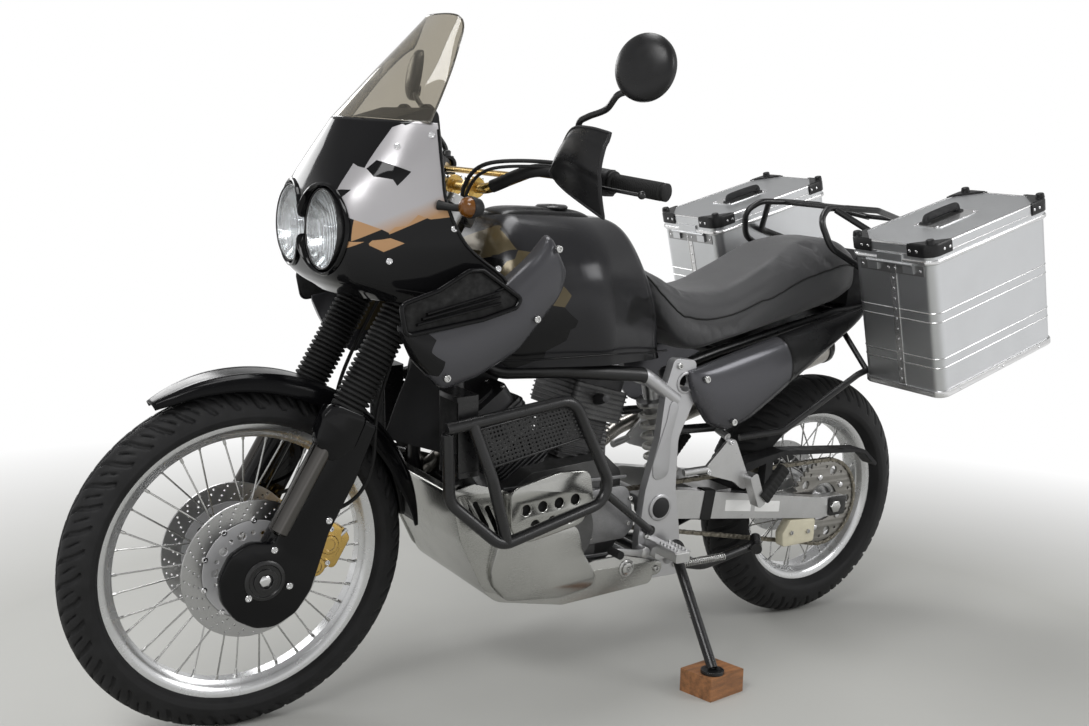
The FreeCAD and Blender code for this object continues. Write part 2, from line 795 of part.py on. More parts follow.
# Frame: steering head, spine, down tubes, cradle and the cast plates at the swingarm pivot
HEAD_LOW = on_steering(0, 0, LOW_CLAMP + 26 + 2)
HEAD_HIGH = on_steering(0, 0, TOP_CLAMP - 2)
RAIL_SIDE = 139.0
PLATE_INNER = RAIL_SIDE - 10
frame_pieces = [cylinder("head_tube", HEAD_LOW, HEAD_HIGH, 30)]
spine = [
    on_steering(-24, 12, 1120),
    Vector(1106, 34, 800),
    Vector(1062, 92, 724.7),
    Vector(900, 112, 724.7),
    Vector(690, RAIL_SIDE, 712),
    Vector(590, RAIL_SIDE, 650),
]
cradle = [
    on_steering(-22, 14, 1062),
    on_steering(-76, 56, 1008),
    Vector(1148, 98, 700),
    Vector(1118, 120, 400),
    Vector(1072, 138, 294),
    Vector(820, RAIL_SIDE, 262),
    Vector(640, RAIL_SIDE, 262),
]
plate_corners = [
    (548, 742, 14),
    (536, 660, 30),
    (580, 560, 60),
    (574, 440, 60),
    (552, 340, 30),
    (536, 224, 16),
    (668, 224, 20),
    (672, 330, 40),
    (664, 440, 60),
    (636, 560, 60),
    (628, 690, 30),
    (612, 748, 14),
]
plate = side_slab("pivot_plate", plate_corners, RAIL_SIDE - 10, RAIL_SIDE + 12)
plate_hole = cylinder("plate_hole", Vector(574, RAIL_SIDE - 30, 690), Vector(574, RAIL_SIDE + 30, 690), 20)
left_side = fuse(
    "frame_left",
    [
        cut("plate_left", plate, plate_hole),
        tube("spine_left", spine, 17, 60),
        tube("cradle_left", cradle, 15, 90),
    ],
)
frame_pieces += [left_side, mirrored(left_side, "frame_right")]
TIE_RADIUS = 12.0
TIE_HIGH = Vector(552, 0, 660)
for name, x, z, half in (
    ("tie_low", 650, 262, RAIL_SIDE),
    ("tie_high", TIE_HIGH.x, TIE_HIGH.z, RAIL_SIDE),
    ("tie_front", 1122, 440, 115),
):
    frame_pieces.append(cylinder(name, Vector(x, -half, z), Vector(x, half, z), TIE_RADIUS))
STAY_HALF = 8.0
stay_corners = [
    (1166, 930),
    (1200, 934),
    (1384, 984, 8),
    (1384, 1006, 8),
    (1346, 1010, 20),
    (1322, 1151.4),
    (1300, 1156.7),
    (1316, 1016, 20),
    (1140, 990),
]
frame_pieces.append(side_slab("fairing_stay", stay_corners, -STAY_HALF, STAY_HALF))
radiator_lug = cylinder("radiator_lug", Vector(1152, 100, 620), Vector(1152, 127 - GAP, 620), 6)
frame_pieces += [radiator_lug, mirrored(radiator_lug, "radiator_lug_right")]
frame_pieces.append(
    cylinder("stand_lug_left", SIDE_PIVOT - SIDE_AXIS * 48, SIDE_PIVOT - SIDE_AXIS * (18 + GAP), 15)
)
head_bore = cylinder("head_bore", on_steering(0, 0, LOW_CLAMP), on_steering(0, 0, TOP_CLAMP), 14 + GAP)
finish(cut("frame_whole", fuse("frame_solid", frame_pieces), head_bore), "main_frame")

# Rear frame
rail_high = [
    Vector(608, PLATE_INNER - GAP, 705),
    Vector(608, 100, 705),
    Vector(440, 100, 751),
    Vector(200, 100, 807),
    Vector(60, 100, 838.5),
    Vector(-120, 92, 855),
]
rail_low = [
    Vector(600, PLATE_INNER - GAP, 566),
    Vector(600, 106, 566),
    Vector(400, 108, 566),
    Vector(190, 104, 700),
    Vector(20, 98, 826),
]
sub_left = fuse("sub_left", [tube("rail_high", rail_high, 12, 80), tube("rail_low", rail_low, 11, 80)])
sub_pieces = [sub_left, mirrored(sub_left, "sub_right")]
for name, x, z in (("sub_tie_front", 440, 751), ("sub_tie_rear", 0, 844.5)):
    sub_pieces.append(cylinder(name, Vector(x, -100, z), Vector(x, 100, z), 10))
finish(fuse("sub_whole", sub_pieces), "subframe")

# Engine: crankcase with round covers, and two cylinders in a narrow V
CASE_HALF = 118.0
case_corners = [
    (676, 300, 30),
    (700, 258, 20),
    (1010, 258, 40),
    (1064, 320, 50),
    (1052, 440, 50),
    (960, 500, 30),
    (740, 520, 30),
    (680, 470, 30),
]
SPROCKET_X = 712.0
SPROCKET_Z = 385.0
chain_room = side_slab("chain_room", [(640, 240), (772, 240), (772, 540), (640, 540)], 74, CASE_HALF + 2)
crankcase = side_slab("crankcase", case_corners, -CASE_HALF, CASE_HALF)
case_pieces = [cut("crankcase_cut", crankcase, chain_room)]
case_pieces.append(
    side_slab("sprocket_cover", [(690, 340, 30), (800, 330), (800, 450), (690, 436, 40)], 99, 122)
)
for name, x, z, side_low, side_high, radius in (
    ("generator_cover", 905, 374, CASE_HALF - 2, 172, 83.5),
    ("gearbox_sprocket", SPROCKET_X, SPROCKET_Z, 70, 90, size("front_sprocket_radius") - 7.5),
    ("gearbox_shaft", SPROCKET_X, SPROCKET_Z, 60, 104, 14),
    ("clutch_cover", 850, 386, -186, 2 - CASE_HALF, 96),
    ("water_pump", 980, 352, CASE_HALF - 2, 158, 38),
):
    case_pieces.append(cylinder(name, Vector(x, side_low, z), Vector(x, side_high, z), radius))
bank_pieces = []
for name, foot_x, foot_z, tilt in (("front_bank", 930, 478, 38), ("rear_bank", 800, 500, -14)):
    turn = Rotation(Vector(0, 1, 0), tilt)
    place = Placement(Vector(foot_x, 0, foot_z), turn)
    barrel_corners = []
    for low, high, half_deep, half_wide in ((0, 110, 58, 62), (104, 178, 76, 84), (172, 214, 66, 74)):
        box = doc.addObject("Part::Box", f"{name}_{low}")
        box.Length = 2 * half_deep
        box.Width = 2 * half_wide
        box.Height = high - low
        box.Placement = place.multiply(Placement(Vector(-half_deep, -half_wide, low), Rotation()))
        rounded = doc.addObject("Part::Fillet", f"{name}_{low}_round")
        rounded.Base = box
        rounded.Edges = [(index, 12.0, 12.0) for index in (1, 3, 5, 7)]
        barrel_corners.append(rounded)
    bank_pieces.append(fuse(name, barrel_corners))
finish(fuse("engine_whole", case_pieces + bank_pieces), "engine")

# Radiators either side, behind the front wheel
radiator = doc.addObject("Part::Box", "radiator_core")
radiator.Length = 46
radiator.Width = 78
radiator.Height = 166
radiator.Placement = Placement(Vector(1148, 127, 536), Rotation(Vector(0, 1, 0), 4))
finish(pair("radiator_pair", radiator), "radiators")

# Skid plate: folded sheet under the engine
skid_outer = [
    (1176, 480, 8),
    (1150, 380, 60),
    (1070, 236, 70),
    (880, 200, 60),
    (630, 216, 16),
    (620, 268),
    (880, 270, 20),
    (1040, 270, 40),
    (1116, 350, 40),
    (1146, 490, 8),
]
skid_inner = [
    (1160, 500),
    (1134, 384, 56),
    (1062, 244, 66),
    (880, 206, 60),
    (600, 222),
    (600, 300),
    (880, 300),
    (1000, 300),
    (1060, 400),
    (1110, 520),
]
SKID_HALF = RAIL_SIDE + 15 + GAP + 4
skid = cut(
    "skid_whole",
    side_slab("skid_outer", skid_outer, -SKID_HALF, SKID_HALF),
    side_slab("skid_inner", skid_inner, -SKID_HALF + 4, SKID_HALF - 4),
)
finish(skid, "skid_plate")

# Crash bars: one closed loop and one upright on each side, with two stubs to the frame
CRASH_SIDE = 236.0
crash_loop = [
    Vector(1236, CRASH_SIDE - 16, 640),
    Vector(948, CRASH_SIDE, 690),
    Vector(818, CRASH_SIDE, 466),
    Vector(1110, CRASH_SIDE + 14, 396),
    Vector(1214, CRASH_SIDE - 26, 486),
    Vector(1232, CRASH_SIDE - 17, 630),
]
crash_pieces = [
    tube("crash_loop", crash_loop, "crash_tube_radius", 46),
    tube(
        "crash_upright",
        [
            Vector(1180, CRASH_SIDE - 13, 650),
            Vector(1140, CRASH_SIDE + 10, 540),
            Vector(1096, CRASH_SIDE + 13, 400),
        ],
        "crash_tube_radius",
        60,
    ),
    cylinder("crash_front_stub", Vector(1214, CRASH_SIDE - 26, 520), Vector(1139.6, 125.1, 505.1), 9),
    cylinder("crash_rear_stub", Vector(846, CRASH_SIDE, 478), Vector(654, 166, 350), 9),
    cylinder("crash_rear_boss", Vector(654, 151.3, 350), Vector(654, 172, 350), 12),
]
finish(pair("crash_pair", fuse("crash_left", crash_pieces)), "crash_bars")

# Fuel tank: level sections from its floor to its crown
TANK_LEVELS = [
    # z, rear x, rear half width, middle x, middle half width, front x, front half width
    (742, 604, 108, 820, 168, 1098, 150),
    (820, 626, 118, 840, 188, 1108, 160),
    (900, 654, 118, 860, 196, 1108, 160),
    (970, 688, 104, 870, 180, 1094, 136),
    (1024, 718, 78, 870, 134, 1068, 96),
    (1054, 772, 44, 870, 74, 1036, 56),
]
TUNNEL_HALF = 122.0
tank_sections = []
for z, rear_x, rear_half, middle_x, middle_half, front_x, front_half in TANK_LEVELS:
    corners = [
        (rear_x, -rear_half, rear_half * 0.6),
        (middle_x, -middle_half, 160),
        (front_x, -front_half, front_half * 0.6),
        (front_x, front_half, front_half * 0.6),
        (middle_x, middle_half, 160),
        (rear_x, rear_half, rear_half * 0.6),
    ]
    tank_sections.append(sketch(f"tank_level_{z}", corners, level_place(z)))
tank_body = loft("tank_shell", tank_sections)
tunnel = fuse(
    "tank_tunnel",
    [
        side_slab(
            "tunnel_low", [(1030, 700), (1230, 700), (1230, 880), (1030, 880)], -TUNNEL_HALF, TUNNEL_HALF
        ),
        side_slab("tunnel_high", [(1092, 860), (1230, 860), (1230, 1012), (1092, 1012)], -66, 66),
    ],
)
finish(cut("tank_whole", tank_body, tunnel), "fuel_tank")
cap_cover = side_slab(
    "cap_hump",
    [(1044, 1055), (1020, 1074, 14), (850, 1066, 30), (800, 1055)],
    -46,
    46,
)
finish(cap_cover, "tank_cap")

# Upper fairing: level sections of an open shell, wider and longer at the wings
FAIRING_LEVELS = [
    # z, nose x, nose half width, shoulder x, shoulder half width, rear x, rear half width
    (884, 1392, 70, 1350, 150, 1290, 196),
    (908, 1424, 110, 1368, 176, 1196, 236),
    (934, 1440, 130, 1374, 186, 1140, 250),
    (1000, 1452, 140, 1380, 192, 1226, 240),
    (1076, 1446, 130, 1376, 192, 1268, 228),
    (1140, 1428, 90, 1370, 184, 1274, 212),
    (1226, 1390, 46, 1340, 150, 1278, 190),
]


def fairing_sections(name, inset, low_extra, high_extra, rear_extra):
    """Level outlines of the fairing, drawn in by a wall and drawn on past its ends."""
    drawn = []
    last = len(FAIRING_LEVELS) - 1
    for index, level in enumerate(FAIRING_LEVELS):
        z, nose_x, nose_half, shoulder_x, shoulder_half, rear_x, rear_half = level
        height = z - (low_extra if index == 0 else 0) + (high_extra if index == last else 0)
        corners = [
            (rear_x - rear_extra, -rear_half + inset),
            (shoulder_x - inset, -shoulder_half + inset, 60),
            (nose_x - inset, -nose_half + inset * 0.5, 40),
            (nose_x - inset, nose_half - inset * 0.5, 40),
            (shoulder_x - inset, shoulder_half - inset, 60),
            (rear_x - rear_extra, rear_half - inset),
        ]
        drawn.append(sketch(f"{name}_{z}", corners, level_place(height)))
    return drawn


fairing_shell = cut(
    "fairing_shell",
    loft("fairing_outer", fairing_sections("fairing_out", 0, 0, 0, 0), True),
    loft("fairing_inner", fairing_sections("fairing_in", size("panel_wall"), 1, 1, 60), True),
)
LAMP_RADIUS = 76.0
LAMP_X = 1440.0
LAMP_SIDE = 78.0
LAMP_Z = 1013.0
lamp_hole = cylinder(
    "lamp_hole",
    Vector(LAMP_X - 60, LAMP_SIDE, LAMP_Z),
    Vector(LAMP_X + 40, LAMP_SIDE, LAMP_Z),
    LAMP_RADIUS + GAP,
)
lamp_holes = fuse("lamp_holes", [lamp_hole, mirrored(lamp_hole, "lamp_hole_right")])
fairing_tie = cylinder("fairing_tie", Vector(1364, STAY_HALF + GAP, 990), Vector(1364, 187.5, 990), 7)
finish(
    fuse(
        "fairing_whole",
        [
            cut("fairing_pierced", fairing_shell, lamp_holes),
            fairing_tie,
            mirrored(fairing_tie, "fairing_tie_right"),
        ],
    ),
    "fairing",
)
lamp_left = turned(
    "lamp_left",
    [(0, 0), (48, 0), (LAMP_RADIUS, 34), (LAMP_RADIUS, 52), (56, 64, 40), (0, 66)],
    Vector(0, 0, 0),
)
lamp_left.Placement = Placement(Vector(LAMP_X - 44, LAMP_SIDE, LAMP_Z), Rotation(Vector(0, 0, 1), -90))
finish(pair("lamp_pair", lamp_left), "headlights")

# Windscreen: curved sheet through level arcs
SCREEN_LEVELS = [
    # z, front x, half width, end x
    (1226.3, 1388, 180, 1290),
    (1330, 1296, 150, 1232),
    (1442, 1192, 96, 1166),
]


def screen_section(z, front_x, half_width, end_x):
    """A thin bowed strip: an arc outside, an arc inside and two short ends."""
    wall = size("panel_wall")
    drawing = doc.addObject("Sketcher::SketchObject", f"screen_level_{int(z)}")
    outer = Part.Arc(Vector(end_x, -half_width, 0), Vector(front_x, 0, 0), Vector(end_x, half_width, 0))
    inner_half = half_width - wall
    inner = Part.Arc(
        Vector(end_x, inner_half, 0), Vector(front_x - wall, 0, 0), Vector(end_x, -inner_half, 0)
    )
    drawing.addGeometry(
        [
            outer,
            Part.LineSegment(Vector(end_x, half_width, 0), Vector(end_x, half_width - wall, 0)),
            inner,
            Part.LineSegment(Vector(end_x, wall - half_width, 0), Vector(end_x, -half_width, 0)),
        ],
        False,
    )
    drawing.Placement = level_place(z)
    return drawing


finish(loft("screen_sheet", [screen_section(*row) for row in SCREEN_LEVELS]), "windscreen")

# Instruments behind the screen
panel_corners = [(1222, 1176, 8), (1330, 1150, 8), (1338, 1226, 20), (1232, 1262, 20)]
finish(side_slab("instrument_box", panel_corners, -104, 104), "instrument_panel")

# Grey side panels below the fairing
side_panel_corners = [
    (1346, 840, 16),
    (1318, 782, 30),
    (1250, 716, 24),
    (1090, 784, 60),
    (976, 940, 30),
    (1026, 1034, 20),
    (1130, 930, 40),
    (1200, 884, 30),
]
panel_left = fuse(
    "side_panel_left",
    [
        side_slab("side_panel_plate", side_panel_corners, 206, 244),
        cylinder("side_panel_pin", Vector(1143.5, 96, 770), Vector(1143.5, 210, 770), 6),
    ],
)
finish(pair("side_panel_pair", panel_left), "side_panels")

# Seat: cross sections from the tank to the tail
SEAT_STATIONS = [
    # x, low z, high z, half width
    (-22, 872, 1016, 96),
    (60, 858, 1030, 124),
    (200, 826, 1004, 142),
    (320, 800, 946, 150),
    (440, 772, 896, 150),
    (540, 750, 892, 128),
    (612, 820, 930, 96),
    (652, 920, 968, 62),
]
seat_sections = []
for x, low, high, half_width in SEAT_STATIONS:
    corner = min(26, (high - low) * 0.3)
    corners = [
        (-half_width, low, corner * 0.5),
        (half_width, low, corner * 0.5),
        (half_width * 0.9, high, corner),
        (-half_width * 0.9, high, corner),
    ]
    seat_sections.append(sketch(f"seat_station_{x}", corners, cross_place(x)))
finish(loft("seat_body", seat_sections), "seat")

# Side covers under the seat
cover_corners = [
    (572, 716, 14),
    (552, 648, 30),
    (500, 590, 40),
    (440, 566, 30),
    (300, 640, 60),
    (10, 850, 16),
    (6, 866),
    (208, 816, 60),
    (420, 760, 60),
]
cover_pieces = [side_slab("cover_panel", cover_corners, 152, 184)]
for name, x, z in (
    ("cover_pin_front", 520, 660),
    ("cover_pin_low", 400, 600),
    ("cover_pin_rear", 120, 812),
):
    cover_pieces.append(cylinder(name, Vector(x, 113, z), Vector(x, 156, z), 6))
finish(pair("cover_pair", fuse("cover_left", cover_pieces)), "side_covers")

# Tail: cowl under the seat's end, mudguard and plate holder
tail_corners = [
    (-22.3, 842),
    (-190, 882),
    (-222, 905),
    (-222, 965),
    (-60, 1000, 30),
    (-22.3, 962, 10),
]
tail_box = side_slab("tail_cowl", tail_corners, -70, 70)
guard_corners = [
    (420, 640, 3),
    (380, 700, 40),
    (120, 803.2, 60),
    (-200, 884.7, 60),
    (-330, 800, 60),
    (-400, 640, 2),
    (-394, 638),
    (-322, 800, 54),
    (-200, 876.7, 54),
    (120, 795.2, 54),
    (374, 694, 36),
    (412, 636),
]
tail_guard = side_slab("tail_guard", guard_corners, -76, 76)
finish(fuse("tail_whole", [tail_box, tail_guard]), "tail")

# Lamps: tail lamp and four indicators on stalks
indicator_front = fuse(
    "indicator_front",
    [
        cylinder("indicator_front_stalk", Vector(1286, 228.8, 1066), Vector(1252, 266, 1062), 8),
        cylinder("indicator_front_head", Vector(1222, 282, 1062), Vector(1272, 282, 1062), 26),
    ],
)
indicator_rear = fuse(
    "indicator_rear",
    [
        cylinder("indicator_rear_stalk", Vector(-262, 76, 830), Vector(-262, 132, 830), 8),
        cylinder("indicator_rear_head", Vector(-286, 148, 830), Vector(-240, 148, 830), 26),
    ],
)
tail_lamp_corners = [(-222.3, 905), (-258, 910, 10), (-266, 962, 10), (-222.3, 965)]
tail_lamp = side_slab("tail_lamp", tail_lamp_corners, -58, 58)
finish(
    group(
        "lamp_set",
        [
            indicator_front,
            mirrored(indicator_front, "indicator_front_right"),
            indicator_rear,
            mirrored(indicator_rear, "indicator_rear_right"),
            tail_lamp,
        ],
    ),
    "lamps",
)

# Luggage rack and pannier rails
RACK_TUBE = "rack_tube_radius"
hoop = [
    Vector(-40, 109.8, 848.8),
    Vector(-38, 156, 856),
    Vector(40, 163, 960),
    Vector(150, 152, 1010),
    Vector(176, 134, 1075),
    Vector(140, 118, 1104),
    Vector(60, 110, 1106),
    Vector(-60, 104, 1104),
    Vector(-214, 58, 1079),
]
RAIL_Y = size("pannier_inner_y") - GAP - size("rack_tube_radius")
RAIL_BACK = [
    Vector(90, RAIL_Y, 706),
    Vector(-250, RAIL_Y, 812),
    Vector(-250, RAIL_Y, 960),
    Vector(16, RAIL_Y, 1024),
    Vector(110, 118.5, 1101),
]
RAIL_FRONT_LEFT = [Vector(404, 168.3, 552), Vector(300, 206, 570)]
RAIL_FRONT_RIGHT = [Vector(430, 161.6, 478), Vector(424, 214, 474), Vector(250, RAIL_Y, 560)]


def rack_side(word, rail_front):
    """One side of the rack, drawn on the left."""
    return fuse(
        "rack_" + word,
        [
            tube("rack_hoop_" + word, hoop, RACK_TUBE, 50),
            tube("pannier_rail_" + word, rail_front + RAIL_BACK, RACK_TUBE, 50),
            cylinder("rail_stay_" + word, Vector(60, 109.6, 829.2), Vector(60, RAIL_Y, 715.4), 7),
        ],
    )


rack_left = rack_side("left", RAIL_FRONT_LEFT)
rack_pieces = [rack_left, mirrored(rack_side("right_drawn", RAIL_FRONT_RIGHT), "rack_right")]
for name, x, z, half in (
    ("rack_tie_front", 60, 1105, 109),
    ("rack_tie_middle", -60, 1103, 101),
    ("rack_tie_rear", -204, 1081, 60),
):
    rack_pieces.append(cylinder(name, Vector(x, -half, z), Vector(x, half, z), 6.5))
finish(fuse("rack_whole", rack_pieces), "luggage_rack")

# Panniers: thin boxes with rounded upright corners and lids that hinge at the front
PANNIER_PLACE = Placement(
    Vector(size("pannier_front_x"), size("pannier_inner_y"), size("pannier_front_z")),
    Rotation(Vector(0, 1, 0), size("pannier_pitch")),
)
LID_OVERHANG = 3.0
LID_WALL = 4.0


def pannier_place(side):
    """Placement of a pannier's front lower inner corner on either side."""
    base = PANNIER_PLACE.Base
    return Placement(Vector(base.x, side * base.y, base.z), PANNIER_PLACE.Rotation)


def box_outline(side, grow):
    """Plan of a pannier with rounded corners, drawn out by a margin."""
    length = size("pannier_length")
    width = size("pannier_width")
    corner = size("pannier_corner") + grow
    inner = side * -grow
    outer = side * (width + grow)
    return [
        (-length - grow, inner, corner),
        (grow, inner, corner),
        (grow, outer, corner),
        (-length - grow, outer, corner),
    ]


def open_box(name, side, low, high, grow, wall, opens_up):
    """A sheet metal box, open at its top or at its foot."""
    body = doc.addObject("PartDesign::Body", name)
    outer = body_sketch(body, name + "_plan", "XY_Plane", box_outline(side, grow))
    outer.AttachmentOffset = level_place(low)
    block = body.newObject("PartDesign::Pad", name + "_block")
    block.Profile = outer
    block.Length = high - low
    inner = body_sketch(body, name + "_hollow_plan", "XY_Plane", box_outline(side, grow - wall))
    inner.AttachmentOffset = level_place(high if opens_up else low)
    hollow = body.newObject("PartDesign::Pocket", name + "_hollow")
    hollow.Profile = inner
    hollow.Length = high - low - wall
    hollow.Reversed = not opens_up
    body.Placement = pannier_place(side)
    return body


BOX_TOP = size("pannier_height") - size("pannier_lid_height")
HINGE_AHEAD = 7.0
KNUCKLE_RADIUS = 3.9
LEAF_HIGH = 22.0
LID_KNUCKLES = [(80.0, size("pannier_width") - 80)]
BOX_KNUCKLES = [(50.0, 80 - GAP), (size("pannier_width") - 80 + GAP, size("pannier_width") - 50)]


def hinge_half(name, side, knuckles, low, high, back):
    """Knuckles on the lid's hinge axis, each with its leaf on the sheet between two heights."""
    place = pannier_place(side)
    pieces = []
    for index, (near, far) in enumerate(knuckles):
        start, end = [place.multVec(Vector(HINGE_AHEAD, side * reach, BOX_TOP)) for reach in (near, far)]
        leaf = doc.addObject("Part::Box", f"{name}_leaf_{index}")
        leaf.Length = HINGE_AHEAD - back
        leaf.Width = far - near
        leaf.Height = high - low
        corner = Vector(back, min(side * near, side * far), low)
        leaf.Placement = place.multiply(Placement(corner, Rotation()))
        pieces += [leaf, cylinder(f"{name}_knuckle_{index}", start, end, KNUCKLE_RADIUS)]
    return pieces


for word, side in (("left", 1), ("right", -1)):
    box = open_box("box_" + word, side, 0, BOX_TOP, 0, size("pannier_wall"), True)
    lid = open_box(
        "cover_box_" + word, side, BOX_TOP + GAP, size("pannier_height"), LID_OVERHANG, LID_WALL, False
    )
    box_hinge = hinge_half("box_hinge_" + word, side, BOX_KNUCKLES, BOX_TOP - LEAF_HIGH, BOX_TOP - 1, -1)
    lid_hinge = hinge_half(
        "lid_hinge_" + word, side, LID_KNUCKLES, BOX_TOP + 1, BOX_TOP + LEAF_HIGH, LID_OVERHANG - 1
    )
    finish(fuse("pannier_whole_" + word, [box] + box_hinge), "pannier_" + word)
    finish(fuse("lid_whole_" + word, [lid] + lid_hinge), "lid_" + word)

# Swingarm with its pivot tube, cross piece and wheel axle
ARM_SIDE = size("swingarm_half_width")
ARM_HALF = size("swingarm_beam") / 2
arm_corners = [
    (PIVOT.x + 34, PIVOT.z - 30, 24),
    (PIVOT.x + 34, PIVOT.z + 24, 24),
    (540, 424, 40),
    (60, REAR_AXLE.z + 28, 30),
    (-46, REAR_AXLE.z + 26, 14),
    (-46, REAR_AXLE.z - 26, 14),
    (60, REAR_AXLE.z - 28, 30),
    (540, 352, 40),
]
arm_left = side_slab("arm_left", arm_corners, ARM_SIDE - ARM_HALF, ARM_SIDE + ARM_HALF)
arm_bridge = doc.addObject("Part::Box", "arm_bridge")
arm_bridge.Length = 90
arm_bridge.Width = 2 * ARM_SIDE
arm_bridge.Height = 62
arm_bridge.Placement = Placement(Vector(360, -ARM_SIDE, 344), Rotation())
arm_pieces = [arm_left, mirrored(arm_left, "arm_right"), arm_bridge]
PIVOT_REACH = Vector(0, PLATE_INNER - GAP, 0)
REAR_AXLE_REACH = Vector(0, 138, 0)
arm_pieces.append(cylinder("pivot_tube", PIVOT - PIVOT_REACH, PIVOT + PIVOT_REACH, 20))
arm_pieces.append(
    cylinder("rear_axle", REAR_AXLE - REAR_AXLE_REACH, REAR_AXLE + REAR_AXLE_REACH, "axle_radius")
)
for word, outward in (("left", 1), ("right", -1)):
    arm_pieces.append(
        cylinder(
            "axle_spacer_" + word,
            REAR_AXLE + Vector(0, outward * (REAR_HUB_HALF + GAP), 0),
            REAR_AXLE + Vector(0, outward * ARM_SIDE, 0),
            20,
        )
    )
finish(fuse("swingarm_whole", arm_pieces), "swingarm")


def belt_edges(centre_a, radius_a, centre_b, radius_b):
    """Outline round two circles: two tangent lines and two arcs, in (x, z)."""
    span = centre_b - centre_a
    distance = span.Length
    heading = math.atan2(span.y, span.x)
    spread = math.acos((radius_a - radius_b) / distance)
    points = []
    for centre, radius in ((centre_a, radius_a), (centre_b, radius_b)):
        for turn in (spread, -spread):
            points.append(centre + Vector(math.cos(heading + turn), math.sin(heading + turn), 0) * radius)
    back = centre_a - Vector(math.cos(heading), math.sin(heading), 0) * radius_a
    front = centre_b + Vector(math.cos(heading), math.sin(heading), 0) * radius_b
    return [
        Part.LineSegment(points[0], points[2]),
        Part.Arc(points[2], front, points[3]),
        Part.LineSegment(points[3], points[1]),
        Part.Arc(points[1], back, points[0]),
    ]


def belt(name, grow, side_low, side_high):
    """A slab in the outline of the chain's run, drawn out by a margin."""
    drawing = doc.addObject("Sketcher::SketchObject", name + "_outline")
    rear = Vector(REAR_AXLE.x, REAR_AXLE.z, 0)
    front = Vector(SPROCKET_X, SPROCKET_Z, 0)
    rear_radius = size("rear_sprocket_radius") + grow
    front_radius = size("front_sprocket_radius") + grow
    drawing.addGeometry(belt_edges(rear, rear_radius, front, front_radius), False)
    drawing.Placement = side_place(side_low)
    slab = doc.addObject("Part::Extrusion", name)
    slab.Base = drawing
    slab.DirMode = "Custom"
    slab.Dir = Vector(0, 1, 0)
    slab.LengthFwd = side_high - side_low
    slab.Solid = True
    return slab


chain_low = size("chain_offset") - size("chain_width") / 2
chain_high = size("chain_offset") + size("chain_width") / 2
chain_half = size("chain_height") / 2
finish(
    cut(
        "chain_loop",
        belt("chain_outer", chain_half, chain_low, chain_high),
        belt("chain_inner", -chain_half, chain_low - 1, chain_high + 1),
    ),
    "chain",
)
chain_guard_corners = [
    (330, 470, 10),
    (200, 492, 30),
    (-100, 474, 40),
    (-160, 428, 6),
    (-150, 424),
    (-96, 466, 36),
    (196, 480, 26),
    (330, 446),
]
guard_plate = side_slab("chain_guard_plate", chain_guard_corners, 78, 124)
guard_lug = side_slab("chain_guard_lug", [(236, 381.2), (260, 384.6), (260, 482), (236, 482)], 99, 124)
guide = side_slab("chain_guide", [(60, 236, 14), (170, 236, 20), (150, 300), (60, 299.7)], 99, 124)
finish(group("guard_set", [fuse("guard_upper", [guard_plate, guard_lug]), guide]), "chain_guard")

# Rear damper with its spring
damper_low = Vector(473.6, 0, 352)
damper_way = (TIE_HIGH - damper_low).normalize()
damper_high = TIE_HIGH - damper_way * (TIE_RADIUS + GAP)
damper_way = damper_high - damper_low
damper = fuse(
    "damper_whole",
    [
        cylinder("damper_body", damper_low, damper_high, 24),
        cylinder("spring", damper_low + damper_way * 0.24, damper_low + damper_way * 0.82, 40),
    ],
)
finish(damper, "shock_absorber")

# Exhaust: two headers into one pipe and a silencer on the right
silencer = cylinder("silencer", Vector(320, -166, 556), Vector(-200, -166, 704), 50)
FRONT_PORT = Vector(1077.2, -30, 542.0)
REAR_PORT = Vector(766, -84.4, 637)
header_front = tube(
    "header_front",
    [
        FRONT_PORT,
        FRONT_PORT + Vector(22, 0, -17.2),
        Vector(1082, -90, 486),
        Vector(1076, -170, 440),
        Vector(1040, -214, 340),
        Vector(960, -216, 302),
        Vector(770, -216, 304),
        Vector(680, -212, 330),
        Vector(600, -196, 430),
        Vector(500, -188, 500),
        Vector(400, -185, 536),
        Vector(316, -167, 557),
    ],
    20,
    90,
)
header_rear = tube(
    "header_rear",
    [
        REAR_PORT,
        REAR_PORT + Vector(0, -36, 0),
        Vector(740, -176, 590),
        Vector(680, -196, 500),
        Vector(600, -196, 430),
    ],
    18,
    60,
)
finish(fuse("exhaust_whole", [silencer, header_front, header_rear]), "exhaust")

# Foot pegs: the rider's on the lower rail, the passenger's folded up on a triangular bracket
peg = fuse(
    "peg_left",
    [
        side_slab("peg_root", [(612, 288, 8), (656, 288, 8), (652, 326, 8), (616, 326, 8)], 151.3, 196),
        side_slab("peg_tread", [(614, 302, 4), (654, 302, 4), (654, 324, 4), (614, 324, 4)], 194, 268),
    ],
)
bracket_corners = [(506, 470, 16), (414, 560, 20), (318, 384, 16), (400, 440, 30)]
bracket_outer = side_slab("bracket_outer", bracket_corners, 152, 160)
passenger = fuse(
    "passenger_left",
    [
        bracket_outer,
        cylinder("bracket_pin", Vector(430, 118.6, 562), Vector(430, 156, 552), 9),
        cylinder("bracket_pin_low", Vector(544, 140, 470), Vector(486, 156, 478), 9),
        side_slab("passenger_peg", [(312, 384, 8), (334, 372, 8), (372, 452, 8), (350, 466, 8)], 160, 188),
    ],
)
finish(
    group("peg_set", [peg, mirrored(peg, "peg_right"), passenger, mirrored(passenger, "passenger_right")]),
    "foot_pegs",
)

